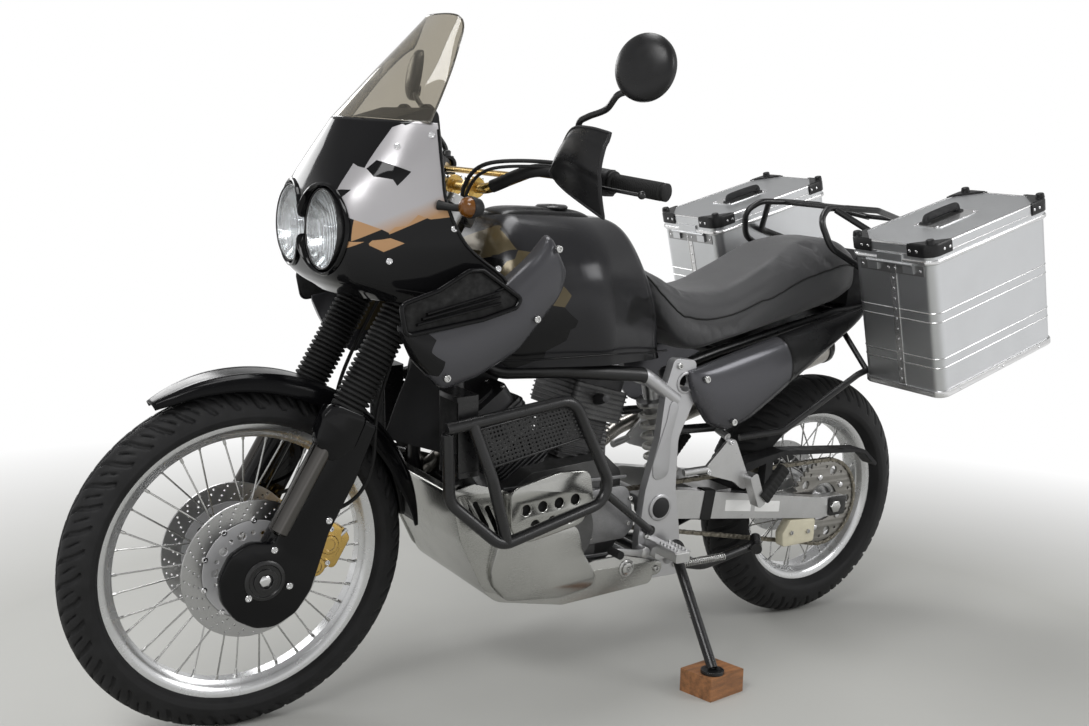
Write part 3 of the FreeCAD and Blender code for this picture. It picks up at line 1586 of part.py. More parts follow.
# Rear caliper on the right
rear_block = doc.addObject("Part::Box", "rear_caliper_block")
rear_block.Length = 88
rear_block.Width = 50
rear_block.Height = 56
rear_block.Placement = Placement(
    Vector(64, GAP - ARM_SIDE + ARM_HALF, REAR_AXLE.z + 66), Rotation(Vector(0, 1, 0), 20)
)
rear_slot = doc.addObject("Part::Box", "rear_caliper_slot")
rear_slot.Length = 140
rear_slot.Width = size("disc_thickness") + 4
rear_slot.Height = 70
rear_slot.Placement = Placement(
    Vector(40, -size("rear_disc_offset") - size("disc_thickness") / 2 - 2, REAR_AXLE.z + 40), Rotation()
)
finish(cut("rear_caliper_whole", rear_block, rear_slot), "rear_caliper")

# Front brake hoses, held at the fork and at the calipers
hose = tube(
    "hose_left",
    [
        on_steering(FORK_AHEAD - 48, 84, AXLE_ALONG + 138),
        on_steering(FORK_AHEAD - 110, 96, AXLE_ALONG + 180),
        on_steering(FORK_AHEAD - 122, 104, AXLE_ALONG + 270),
        on_steering(FORK_AHEAD - 60, 100, AXLE_ALONG + 380),
        on_steering(FORK_AHEAD - 40, 86, AXLE_ALONG + 520),
        on_steering(FORK_AHEAD - 30, 60, LOW_CLAMP - 1),
    ],
    4,
    60,
)
finish(pair("hose_pair", hose), "brake_hoses")

# Side stand in its lowered position, its foot on the wooden block
foot_plate = cylinder("stand_foot", Vector(0, 0, 0), Vector(0, 0, 8), 26)
foot_plate.Placement = Placement(SIDE_FOOT, Rotation(Vector(1, 0, 0), size("lean_angle")))
side_stand_pieces = [
    cylinder("stand_leg", SIDE_PIVOT, SIDE_FOOT + Vector(0, 0, 10), 12),
    cylinder("stand_eye", SIDE_PIVOT - SIDE_AXIS * 18, SIDE_PIVOT + SIDE_AXIS * 18, 18),
    foot_plate,
]
finish(fuse("side_stand_whole", side_stand_pieces), "side_stand")

block = doc.addObject("Part::Box", "wood_block")
block.setExpression("Length", "sizes.block_length")
block.setExpression("Width", "sizes.block_width")
block.setExpression("Height", "sizes.block_height")
BLOCK_MIDDLE = STAND.multVec(Vector(597, 365, 0))
BLOCK_MIDDLE.z = 0
block_turned = Placement(BLOCK_MIDDLE, Rotation(Vector(0, 0, 1), BLOCK_YAW))
block_corner = Placement(Vector(-size("block_length") / 2, -size("block_width") / 2, 0), Rotation())
block.Placement = STAND.inverse().multiply(block_turned.multiply(block_corner))
finish(block, "stand_block")

# Centre stand, folded up under the swingarm
CENTRE_PIVOT = Vector(558, 0, 240)
centre_left = fuse(
    "centre_left",
    [
        tube(
            "centre_leg",
            [CENTRE_PIVOT + Vector(0, 98, 0), Vector(430, 112, 216), Vector(262, 128, 258)],
            12,
            90,
        ),
        cylinder("centre_foot", Vector(250, 104, 262), Vector(290, 152, 252), 14),
    ],
)
centre_pieces = [centre_left, mirrored(centre_left, "centre_right")]
centre_pieces.append(cylinder("centre_tube", CENTRE_PIVOT - PIVOT_REACH, CENTRE_PIVOT + PIVOT_REACH, 13))
centre_pieces.append(cylinder("centre_tie", Vector(440, -112, 219), Vector(440, 112, 219), 9))
finish(fuse("centre_stand_whole", centre_pieces), "centre_stand")

doc.recompute()

faults = [item.Name for item in doc.Objects if "Invalid" in item.State or "Error" in item.State]
if faults:
    raise RuntimeError("not built: " + ", ".join(faults))
os.makedirs("parts", exist_ok=True)
for node in NODES:
    shape = node.Shape
    if shape.isNull() or not shape.isValid():
        raise RuntimeError("bad shape: " + node.Label)
for node in NODES:
    node.Shape.exportStep("parts/" + node.Label + ".step")
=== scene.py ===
"""Adventure motorcycle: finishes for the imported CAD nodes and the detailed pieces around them.

Every size is in millimetres in the upright machine's own frame, x forward from the rear axle,
y to the rider's left and z up from the road, until placed() leans it onto the side stand.
"""

import math

import bmesh
import bpy
import numpy as np
from mathutils import Matrix, Vector


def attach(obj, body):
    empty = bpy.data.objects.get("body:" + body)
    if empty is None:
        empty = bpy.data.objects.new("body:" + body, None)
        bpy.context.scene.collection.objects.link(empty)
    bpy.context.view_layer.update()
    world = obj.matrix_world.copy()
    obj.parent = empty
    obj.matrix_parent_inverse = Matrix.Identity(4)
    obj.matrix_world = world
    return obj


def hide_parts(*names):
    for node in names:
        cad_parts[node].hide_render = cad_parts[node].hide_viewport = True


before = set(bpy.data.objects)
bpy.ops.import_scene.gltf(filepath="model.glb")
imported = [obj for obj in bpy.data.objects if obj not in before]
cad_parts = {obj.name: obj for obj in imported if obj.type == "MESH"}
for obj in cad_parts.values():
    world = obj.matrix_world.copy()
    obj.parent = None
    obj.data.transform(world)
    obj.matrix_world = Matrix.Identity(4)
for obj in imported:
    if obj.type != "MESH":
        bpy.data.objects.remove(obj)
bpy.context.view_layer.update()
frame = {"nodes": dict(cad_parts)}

bl_info = {
    "name": "Adventure Motorcycle",
    "version": (1, 0, 0),
    "blender": (4, 5, 0),
    "location": "View3D > Sidebar > Motorcycle",
    "description": "Builds the finishes and the detailed pieces of an adventure motorcycle",
    "category": "Object",
}

MM = 1000.0  # millimetres in a metre
LEAN = math.radians(4.5)
SHIFT = np.array([-757.4, -101.0, 0.43])
FORWARDS, SIDEWAYS, UPWARDS = np.eye(3)
SHEET = 0.003  # thickness of moulded sheets, in metres
LENS_IOR = 1.35
FINISH = {}

# ---------------------------------------------------------------- places and meshes


def placed(points):
    """Machine millimetres to row metres: a turn of -LEAN about x, then the shift."""
    p = np.asarray(points, float)
    y = p[..., 1] * math.cos(LEAN) + p[..., 2] * math.sin(LEAN)
    z = -p[..., 1] * math.sin(LEAN) + p[..., 2] * math.cos(LEAN)
    return (np.stack([p[..., 0], y, z], -1) + SHIFT) / MM


def unit(v):
    """Vectors of length one, along the last axis."""
    v = np.asarray(v, float)
    return v / np.maximum(np.linalg.norm(v, axis=-1, keepdims=True), 1e-12)


def frame_across(direction):
    """Two directions square to a direction and to each other."""
    d = unit(direction)
    helper = np.where(np.abs(d[..., 2:3]) > 0.9, FORWARDS, UPWARDS)
    u = unit(np.cross(helper, d))
    return u, np.cross(d, u)


def grid_faces(rows, cols, around_rows=False, around_cols=False):
    """Quads of a grid of rows by cols points; a wrapped way closes on itself."""
    r = np.arange(rows if around_rows else rows - 1)
    c = np.arange(cols if around_cols else cols - 1)
    a, b = np.meshgrid(r, c, indexing="ij")
    a2, b2 = (a + 1) % rows, (b + 1) % cols
    return np.stack([a * cols + b, a2 * cols + b, a2 * cols + b2, a * cols + b2], -1).reshape(-1, 4)


def merged(parts):
    """One (points, faces) pair from several, faces as lists."""
    points, faces, start = [], [], 0
    for pts, fcs in parts:
        pts = np.asarray(pts, float).reshape(-1, 3)
        points.append(pts)
        faces += [[int(i) + start for i in f] for f in fcs]
        start += len(pts)
    return np.concatenate(points), faces


def revolved(profile, centre, axis, steps=48, closed=True):
    """A surface of revolution: profile rows (radius, along) turned about an axis through centre."""
    profile = np.asarray(profile, float)
    angles = np.radians(360.0 * np.arange(steps) / steps)
    d = unit(axis)
    u, v = frame_across(d)
    ring = np.cos(angles)[:, None] * u + np.sin(angles)[:, None] * v
    pts = np.asarray(centre, float) + ring[:, None, :] * profile[None, :, :1]
    pts = pts + d * profile[None, :, 1:2]
    return pts.reshape(-1, 3), grid_faces(steps, len(profile), True, closed)


def turned(profile, centre, axis, steps):
    """A turned part whose open profile starts and ends on its axis."""
    return revolved(profile, centre, axis, steps, closed=False)


def smooth_line(points, count):
    """A Catmull-Rom line through points, sampled evenly in its own parameter."""
    p = np.asarray(points, float)
    p = np.concatenate([[2 * p[0] - p[1]], p, [2 * p[-1] - p[-2]]])
    t = np.linspace(0, len(p) - 3, count)
    i = np.minimum(t.astype(int), len(p) - 4)
    f = (t - i)[:, None]
    a, b, c, d = p[i], p[i + 1], p[i + 2], p[i + 3]
    return 0.5 * (2 * b + (c - a) * f + (2 * a - 5 * b + 4 * c - d) * f**2 + (3 * b - a - 3 * c + d) * f**3)


def carried(line, section, helper=None, taper=None):
    """A profile carried along a line, capped at both ends: each row is the line's point plus the
    section across it, turned so that its height lies along the helper direction."""
    line = np.asarray(line, float)
    section = np.asarray(section, float)
    way = unit(np.gradient(line, axis=0))
    if helper is None:
        helper = np.eye(3)[int(np.argmin(np.abs(way).max(0)))]
    u = unit(np.cross(np.broadcast_to(helper, way.shape), way))
    v = np.cross(way, u)
    scale = np.ones(len(line)) if taper is None else np.asarray(taper, float)
    pts = line[:, None] + scale[:, None,
        None] * (section[None, :, :1] * u[:, None] + section[None, :, 1:2] * v[:, None])
    faces = [list(f) for f in grid_faces(len(line), len(section), False, True)]
    n = len(section)
    faces += [list(range(n))[::-1], [(len(line) - 1) * n + i for i in range(n)]]
    return pts.reshape(-1, 3), faces


def rod(points, section, helper=None, taper=None):
    """A bar with straight runs between a few points."""
    return carried(np.array(points, float), section, helper, taper)


def bent(points, count, section, helper=None, taper=None):
    """A bar along the smooth line through points."""
    return carried(smooth_line(points, count), section, helper, taper)


def rolled(loop, radius, steps, through):
    """A round roll along a closed loop; through is the direction across the loop's plane."""
    way = unit(np.roll(loop, -1, 0) - np.roll(loop, 1, 0))
    side = unit(np.cross(way, through))
    section = circle(radius, steps)
    ring = loop[:, None] + section[None, :, :1] * side[:, None] + section[None, :, 1:] * through
    return ring.reshape(-1, 3), grid_faces(len(loop), steps, True, True)


def joined(low, high):
    """Closed prisms between two stacks of loops, (count, corners, 3) each."""
    n, m = low.shape[:2]
    near = np.arange(n)[:, None] * m + np.arange(m)
    far = near + n * m
    ahead = (np.arange(m) + 1) % m
    sides = np.stack([near, near[:, ahead], far[:, ahead], far], -1).reshape(-1, 4)
    points = np.concatenate([low.reshape(-1, 3), high.reshape(-1, 3)])
    return points, near[:, ::-1].tolist() + far.tolist() + sides.tolist()


def circle(radius, steps=12):
    """A round section of a given radius."""
    a = 2 * math.pi * np.arange(steps) / steps
    return radius * np.stack([np.cos(a), np.sin(a)], -1)


def box_section(width, height, corner, steps=4):
    """A rectangle with rounded corners."""
    a = np.radians(np.linspace(0, 90, steps + 1))
    arc = np.stack([np.cos(a), np.sin(a)], -1) * corner
    out = []
    for k, (sx, sy) in enumerate(((1, 1), (-1, 1), (-1, -1), (1, -1))):
        turn = math.radians(90 * k)
        c, s = math.cos(turn), math.sin(turn)
        out.append(arc @ np.array([[c, s], [-s, c]]) + [sx * (width / 2 - corner), sy * (height / 2 - corner)])
    return np.concatenate(out)


def fixings(profile, places, way, radius, height, steps):
    """One turned profile, in shares of a radius and a height, set at each place along a direction."""
    rows = np.array(profile) * [radius, height]
    return merged([turned(rows, place, way, steps) for place in np.asarray(places, float)])


def screws(places, way, radius, height):
    """Cap screws with a hollow socket."""
    profile = [(0, -1), (1, -1), (1, 0.75), (0.86, 1), (0.5, 1), (0.45, 0.35), (0, 0.35)]
    return fixings(profile, places, way, radius, height, 12)


def rivets(places, way, radius, height):
    """Rivets with a domed head."""
    profile = [(0, -1), (1, -1), (1, 0.3), (0.75, 0.8), (0.35, 1), (0, 1)]
    return fixings(profile, places, way, radius, height, 12)


def nuts(places, way, radius, height):
    """Six-sided nuts with a rounded top edge."""
    profile = [(0, -1), (1, -1), (1, 0.8), (0.9, 1), (0.5, 1.3), (0, 1.3)]
    return fixings(profile, places, way, radius, height, 6)


def make(name, shape, finish, body, replaces=(), smooth=35.0, leaned=False):
    """A finished piece from (points, faces): its mesh in place and smooth shaded below an angle, its
    finish, the body that it rides on and the nodes that it stands for. Points in metres
    that already lean say so."""
    points, faces = shape
    points = np.asarray(points, float) if leaned else placed(points)
    mesh = bpy.data.meshes.new(name)
    mesh.from_pydata(points.tolist(), [], [list(map(int, f)) for f in faces])
    mesh.validate()
    work = bmesh.new()
    work.from_mesh(mesh)
    bmesh.ops.remove_doubles(work, verts=work.verts, dist=2e-5)
    bmesh.ops.dissolve_degenerate(work, edges=work.edges, dist=1e-6)
    bmesh.ops.recalc_face_normals(work, faces=work.faces)
    work.to_mesh(mesh)
    work.free()
    piece = bpy.data.objects.new(name, mesh)
    bpy.context.scene.collection.objects.link(piece)
    piece.data.materials.append(FINISH[finish])
    if smooth:
        piece.data.shade_smooth()
        piece.data.set_sharp_from_angle(angle=math.radians(smooth))
    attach(piece, body)
    if replaces:
        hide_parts(*replaces)
    return piece


def modified(piece, kind, **settings):
    """Adds one modifier and sets its values."""
    mod = piece.modifiers.new(kind.title(), kind)
    for key, value in settings.items():
        setattr(mod, key, value)


def evaluated(piece):
    """A piece as its modifiers leave it."""
    return piece.evaluated_get(bpy.context.evaluated_depsgraph_get())


def numbers_of(vertices, what):
    """One array of a mesh's vertex places or normals."""
    out = np.zeros(len(vertices) * 3)
    vertices.foreach_get(what, out)
    return out.reshape(-1, 3)


def punched(outline, holes, thickness, to_space, bevel=0.0):
    """A plate with holes: a filled flat curve, thickened, read as a mesh and carried by to_space.

    outline and holes are lists of closed loops in the plate's own plane, in millimetres;
    to_space turns an array of (across, up, through) into machine millimetres."""
    data = bpy.data.curves.new("plate", "CURVE")
    data.dimensions = "2D"
    data.fill_mode = "BOTH"
    data.extrude = thickness / 2 - bevel
    data.bevel_depth = bevel
    data.bevel_resolution = 1
    for loop in [outline, *holes]:
        loop = np.asarray(loop, float)
        spline = data.splines.new("POLY")
        spline.points.add(len(loop) - 1)
        spline.points.foreach_set("co",
            np.column_stack([loop, np.zeros(len(loop)), np.ones(len(loop))]).ravel())
        spline.use_cyclic_u = True
    holder = bpy.data.objects.new("plate", data)
    bpy.context.scene.collection.objects.link(holder)
    bpy.context.view_layer.update()
    mesh = bpy.data.meshes.new_from_object(evaluated(holder))
    pts = numbers_of(mesh.vertices, "co")
    faces = [list(p.vertices) for p in mesh.polygons]
    bpy.data.objects.remove(holder)
    bpy.data.curves.remove(data)
    bpy.data.meshes.remove(mesh)
    return to_space(pts), faces


def round_loop(x, y, radius, steps=16):
    """A round loop about a point."""
    return circle(radius, steps) + [x, y]


# ---------------------------------------------------------------- finishes


class Wiring:
    """A short way to wire the nodes of a tree."""

    def __init__(self, tree):
        self.tree = tree

    def add(self, kind, inputs=None, **settings):
        node = self.tree.nodes.new(kind)
        for key, value in settings.items():
            setattr(node, key, value)
        for key, value in (inputs or {}).items():
            self.put(node.inputs[key], value)
        return node

    def put(self, socket, value):
        if isinstance(value, bpy.types.NodeSocket):
            self.tree.links.new(value, socket)
        else:
            socket.default_value = value

    def coords(self, scale=(1, 1, 1), turn=(0, 0, 0)):
        """Object coordinates, scaled and turned."""
        source = self.add("ShaderNodeTexCoord").outputs["Object"]
        node = self.add("ShaderNodeMapping", {"Vector": source, "Scale": scale, "Rotation": turn})
        return node.outputs["Vector"]

    def machine(self):
        """The place on the upright machine, in metres, and its x, y and z: the lean turned back and
        the shift undone."""
        source = self.add("ShaderNodeTexCoord").outputs["Object"]
        settings = {"Vector": source, "Location": (0.7574, 0.1007, 0.0075), "Rotation": (LEAN, 0, 0)}
        place = self.add("ShaderNodeMapping", settings).outputs["Vector"]
        return place, *self.add("ShaderNodeSeparateXYZ", {"Vector": place}).outputs

    def noise(self, scale, detail=4.0, rough=0.55, where=None):
        inputs = {"Vector": where or self.coords(), "Scale": scale, "Detail": detail, "Roughness": rough}
        return self.add("ShaderNodeTexNoise", inputs).outputs["Fac"]

    def cells(self, where, scale, randomness):
        """The random red, green and blue of skewed cells."""
        inputs = {"Vector": where, "Scale": scale, "Randomness": randomness}
        colour = self.add("ShaderNodeTexVoronoi", inputs, distance="MANHATTAN").outputs["Color"]
        return self.add("ShaderNodeSeparateColor", {"Color": colour}).outputs

    def ramp(self, value, stops, constant=False):
        node = self.add("ShaderNodeValToRGB", {"Fac": value})
        ramp = node.color_ramp
        ramp.interpolation = "CONSTANT" if constant else "LINEAR"
        while len(ramp.elements) < len(stops):
            ramp.elements.new(0.5)
        for element, (at, colour) in zip(ramp.elements, stops):
            element.position = at
            element.color = (*colour, 1.0)
        return node.outputs["Color"]

    def mix(self, share, a, b):
        node = self.add("ShaderNodeMix", data_type="RGBA")
        self.put(node.inputs["Factor"], share)
        for socket, value in ((node.inputs[6], a), (node.inputs[7], b)):
            self.put(socket, value if isinstance(value, bpy.types.NodeSocket) else (*value, 1.0))
        return node.outputs[2]

    def math(self, operation, *values, clamp=False):
        node = self.add("ShaderNodeMath", operation=operation, use_clamp=clamp)
        for socket, value in zip(node.inputs, values):
            self.put(socket, value)
        return node.outputs[0]

    def times(self, a, b, clamp=False):
        return self.math("MULTIPLY", a, b, clamp=clamp)

    def plus(self, a, b):
        return self.math("ADD", a, b)

    def above(self, value, level):
        return self.math("GREATER_THAN", value, level)

    def between(self, value, low, high, to_low=0.0, to_high=1.0):
        """A value from low to high taken to another range, and held there."""
        ends = {"Value": value, "From Min": low, "From Max": high, "To Min": to_low, "To Max": to_high}
        return self.add("ShaderNodeMapRange", ends).outputs[0]

    def cloudy(self, value, low, high):
        """A roughness that follows a noise."""
        return self.between(value, 0.3, 0.7, low, high)

    def bump(self, height, strength, distance, **more):
        inputs = {"Height": height, "Strength": strength, "Distance": distance, **more}
        return self.add("ShaderNodeBump", inputs).outputs["Normal"]

    def edge(self, radius):
        """How near an edge is, from the angle between the rounded normal and the true one, and the
        rounded normal."""
        rounded = self.add("ShaderNodeBevel", {"Radius": radius}, samples=4).outputs["Normal"]
        flat = self.add("ShaderNodeNewGeometry").outputs["Normal"]
        dot = self.add("ShaderNodeVectorMath", operation="DOT_PRODUCT")
        self.put(dot.inputs[0], rounded)
        self.put(dot.inputs[1], flat)
        return self.math("SUBTRACT", 1.0, dot.outputs["Value"], clamp=True), rounded



class Nodes(Wiring):
    """A material with its nodes."""

    def __init__(self, name):
        self.material = bpy.data.materials.new(name)
        self.material.use_nodes = True
        super().__init__(self.material.node_tree)
        self.shader = self.tree.nodes["Principled BSDF"]

    def done(self, **sockets):
        """Sets the shader's inputs, whose names have underscores for blanks."""
        for key, value in sockets.items():
            self.put(self.shader.inputs[key.replace("_", " ")], value)
        return self.material


def mid(colour, factor):
    """A colour made lighter or darker."""
    return tuple(min(1.0, c * factor) for c in colour)


def surface(name, colour, rough, metal, grain, vary, bump, fine, coat=0.0, worn=None, spec=0.5):
    """A common finish: two noises vary colour and roughness, a fine one gives the bump, edges wear."""
    n = Nodes(name)
    broad = n.noise(grain, 5.0)
    small = n.noise(fine, 3.0)
    base = n.mix(broad, mid(colour, 1 - vary), mid(colour, 1 + vary))
    base = n.mix(n.between(small, 0.35, 0.7, 0, 0.25), base, mid(colour, 1 - 2 * vary))
    near, rounded = n.edge(0.0012)
    if worn:
        share = n.times(n.between(near, 0.02, 0.25), n.between(broad, 0.35, 0.6), clamp=True)
        base = n.mix(share, base, worn)
    rub = n.cloudy(n.noise(grain * 2.3, 6.0), rough * 0.8, min(1.0, rough * 1.25))
    shape = n.bump(small, bump, 0.0006, Normal=rounded)
    return n.done(Base_Color=base, Roughness=rub, Metallic=metal, Coat_Weight=coat, Coat_Roughness=0.06,
                  Normal=shape, Specular_IOR_Level=spec)


def brushed(name, colour, rough, stretch, turn=(0, 0, 0), fine=1400.0, depth=0.18, dull=0.12):
    """Brushed metal: noise drawn out along one way, with cloudy handling marks."""
    n = Nodes(name)
    lines = n.noise(fine, 3.0, 0.6, n.coords(stretch, turn))
    cloud = n.noise(9.0, 6.0)
    base = n.mix(lines, mid(colour, 0.86), mid(colour, 1.08))
    base = n.mix(n.between(cloud, 0.4, 0.75, 0, 0.5), base, mid(colour, 1 - dull))
    rounded = n.edge(0.0015)[1]
    shape = n.bump(lines, depth, 0.0004, Normal=rounded)
    rub = n.between(n.plus(lines, cloud), 0.6, 1.4, rough * 0.75, rough * 1.3)
    return n.done(Base_Color=base, Roughness=rub, Metallic=1.0, Normal=shape)


def patch_paint(name, ground, tones, scale, seed, cut):
    """Gloss paint with broad angular patches: skewed cells pick a tone, with a fine sparkle over it."""
    n = Nodes(name)
    where = n.coords((1.0, 1.0, 1.9), (0.25, 0.15, 0.45))
    wobble = n.noise(5.0, 1.0, 0.5, where)
    shifted = n.add("ShaderNodeVectorMath", operation="ADD")
    n.put(shifted.inputs[0], where)
    offset = {"X": n.times(wobble, 0.05), "Y": seed, "Z": n.times(wobble, -0.04)}
    n.put(shifted.inputs[1], n.add("ShaderNodeCombineXYZ", offset).outputs[0])
    pick = n.cells(shifted.outputs[0], scale, 0.9)[0]
    colour = n.ramp(pick, [(0.0, ground), *zip(cut, tones)], constant=True)
    sparkle = n.noise(2600.0, 2.0)
    colour = n.mix(n.between(sparkle, 0.55, 0.8, 0, 0.35), colour, mid(tones[0], 1.5))
    rounded = n.edge(0.002)[1]
    rub = n.cloudy(n.noise(30.0), 0.16, 0.26)
    return n.done(Base_Color=colour, Roughness=rub, Metallic=0.3, Normal=rounded, Specular_IOR_Level=0.3)


def glass(name, colour, rough, weight):
    """Clear or tinted plastic: transmission with a faint dusting that varies the roughness."""
    n = Nodes(name)
    dust = n.noise(14.0, 6.0)
    rub = n.cloudy(dust, rough * 0.6, rough * 1.6)
    base = n.mix(n.between(dust, 0.45, 0.8, 0, 0.3), colour, mid(colour, 1.15))
    n.material.use_transparent_shadow = True
    return n.done(Base_Color=base, Roughness=rub, Transmission_Weight=weight, IOR=LENS_IOR, Coat_Weight=0.4)


def vinyl(name, colour):
    """Grained seat vinyl: fine cells for the grain with painted shade in its grooves, soft cloudy wear and a
    little sheen.
    """
    n = Nodes(name)
    cells = n.add("ShaderNodeTexVoronoi", {"Vector": n.coords(), "Scale": 620.0}, feature="DISTANCE_TO_EDGE")
    height = n.between(cells.outputs["Distance"], 0.0, 0.25)
    cloud = n.noise(7.0, 5.0)
    base = n.mix(cloud, mid(colour, 0.8), mid(colour, 1.25))
    # painted shade: the grain's grooves, where the cells meet, are darkened
    base = n.mix(n.between(height, 0.0, 0.6, 0.35, 0.0), base, mid(colour, 0.45))
    rub = n.cloudy(cloud, 0.42, 0.6)
    return n.done(Base_Color=base, Roughness=rub, Normal=n.bump(height, 0.25, 0.0005), Sheen_Weight=0.15)


def rubber(name, colour, rough=0.6, fine=500.0, bump=0.2):
    """Matt rubber: dusty clouds over a fine moulded grain."""
    n = Nodes(name)
    cloud = n.noise(22.0, 7.0)
    grain = n.noise(fine, 3.0)
    base = n.mix(n.between(cloud, 0.35, 0.75), mid(colour, 0.75), mid(colour, 1.6))
    rub = n.cloudy(cloud, rough * 0.85, min(1.0, rough * 1.2))
    return n.done(Base_Color=base, Roughness=rub, Normal=n.bump(grain, bump, 0.0006), Specular_IOR_Level=0.25)


def wood(name, colour):
    """Oiled wood: stretched rings along its length with darker pores."""
    n = Nodes(name)
    where = n.coords((3.0, 34.0, 34.0), (0.0, 0.1, 0.14))
    rings = n.noise(2.4, 6.0, 0.6, where)
    pores = n.noise(30.0, 3.0, 0.5, where)
    base = n.ramp(rings, [(0.3, mid(colour, 0.5)), (0.5, colour), (0.72, mid(colour, 1.5))])
    base = n.mix(n.between(pores, 0.58, 0.7, 0, 0.6), base, mid(colour, 0.3))
    return n.done(Base_Color=base, Roughness=n.cloudy(rings, 0.4, 0.65), Normal=n.bump(pores, 0.3, 0.0006))


def keep(kind, name, *values, **more):
    """Makes one finish and keeps it under its name."""
    FINISH[name] = kind(name, *values, **more)


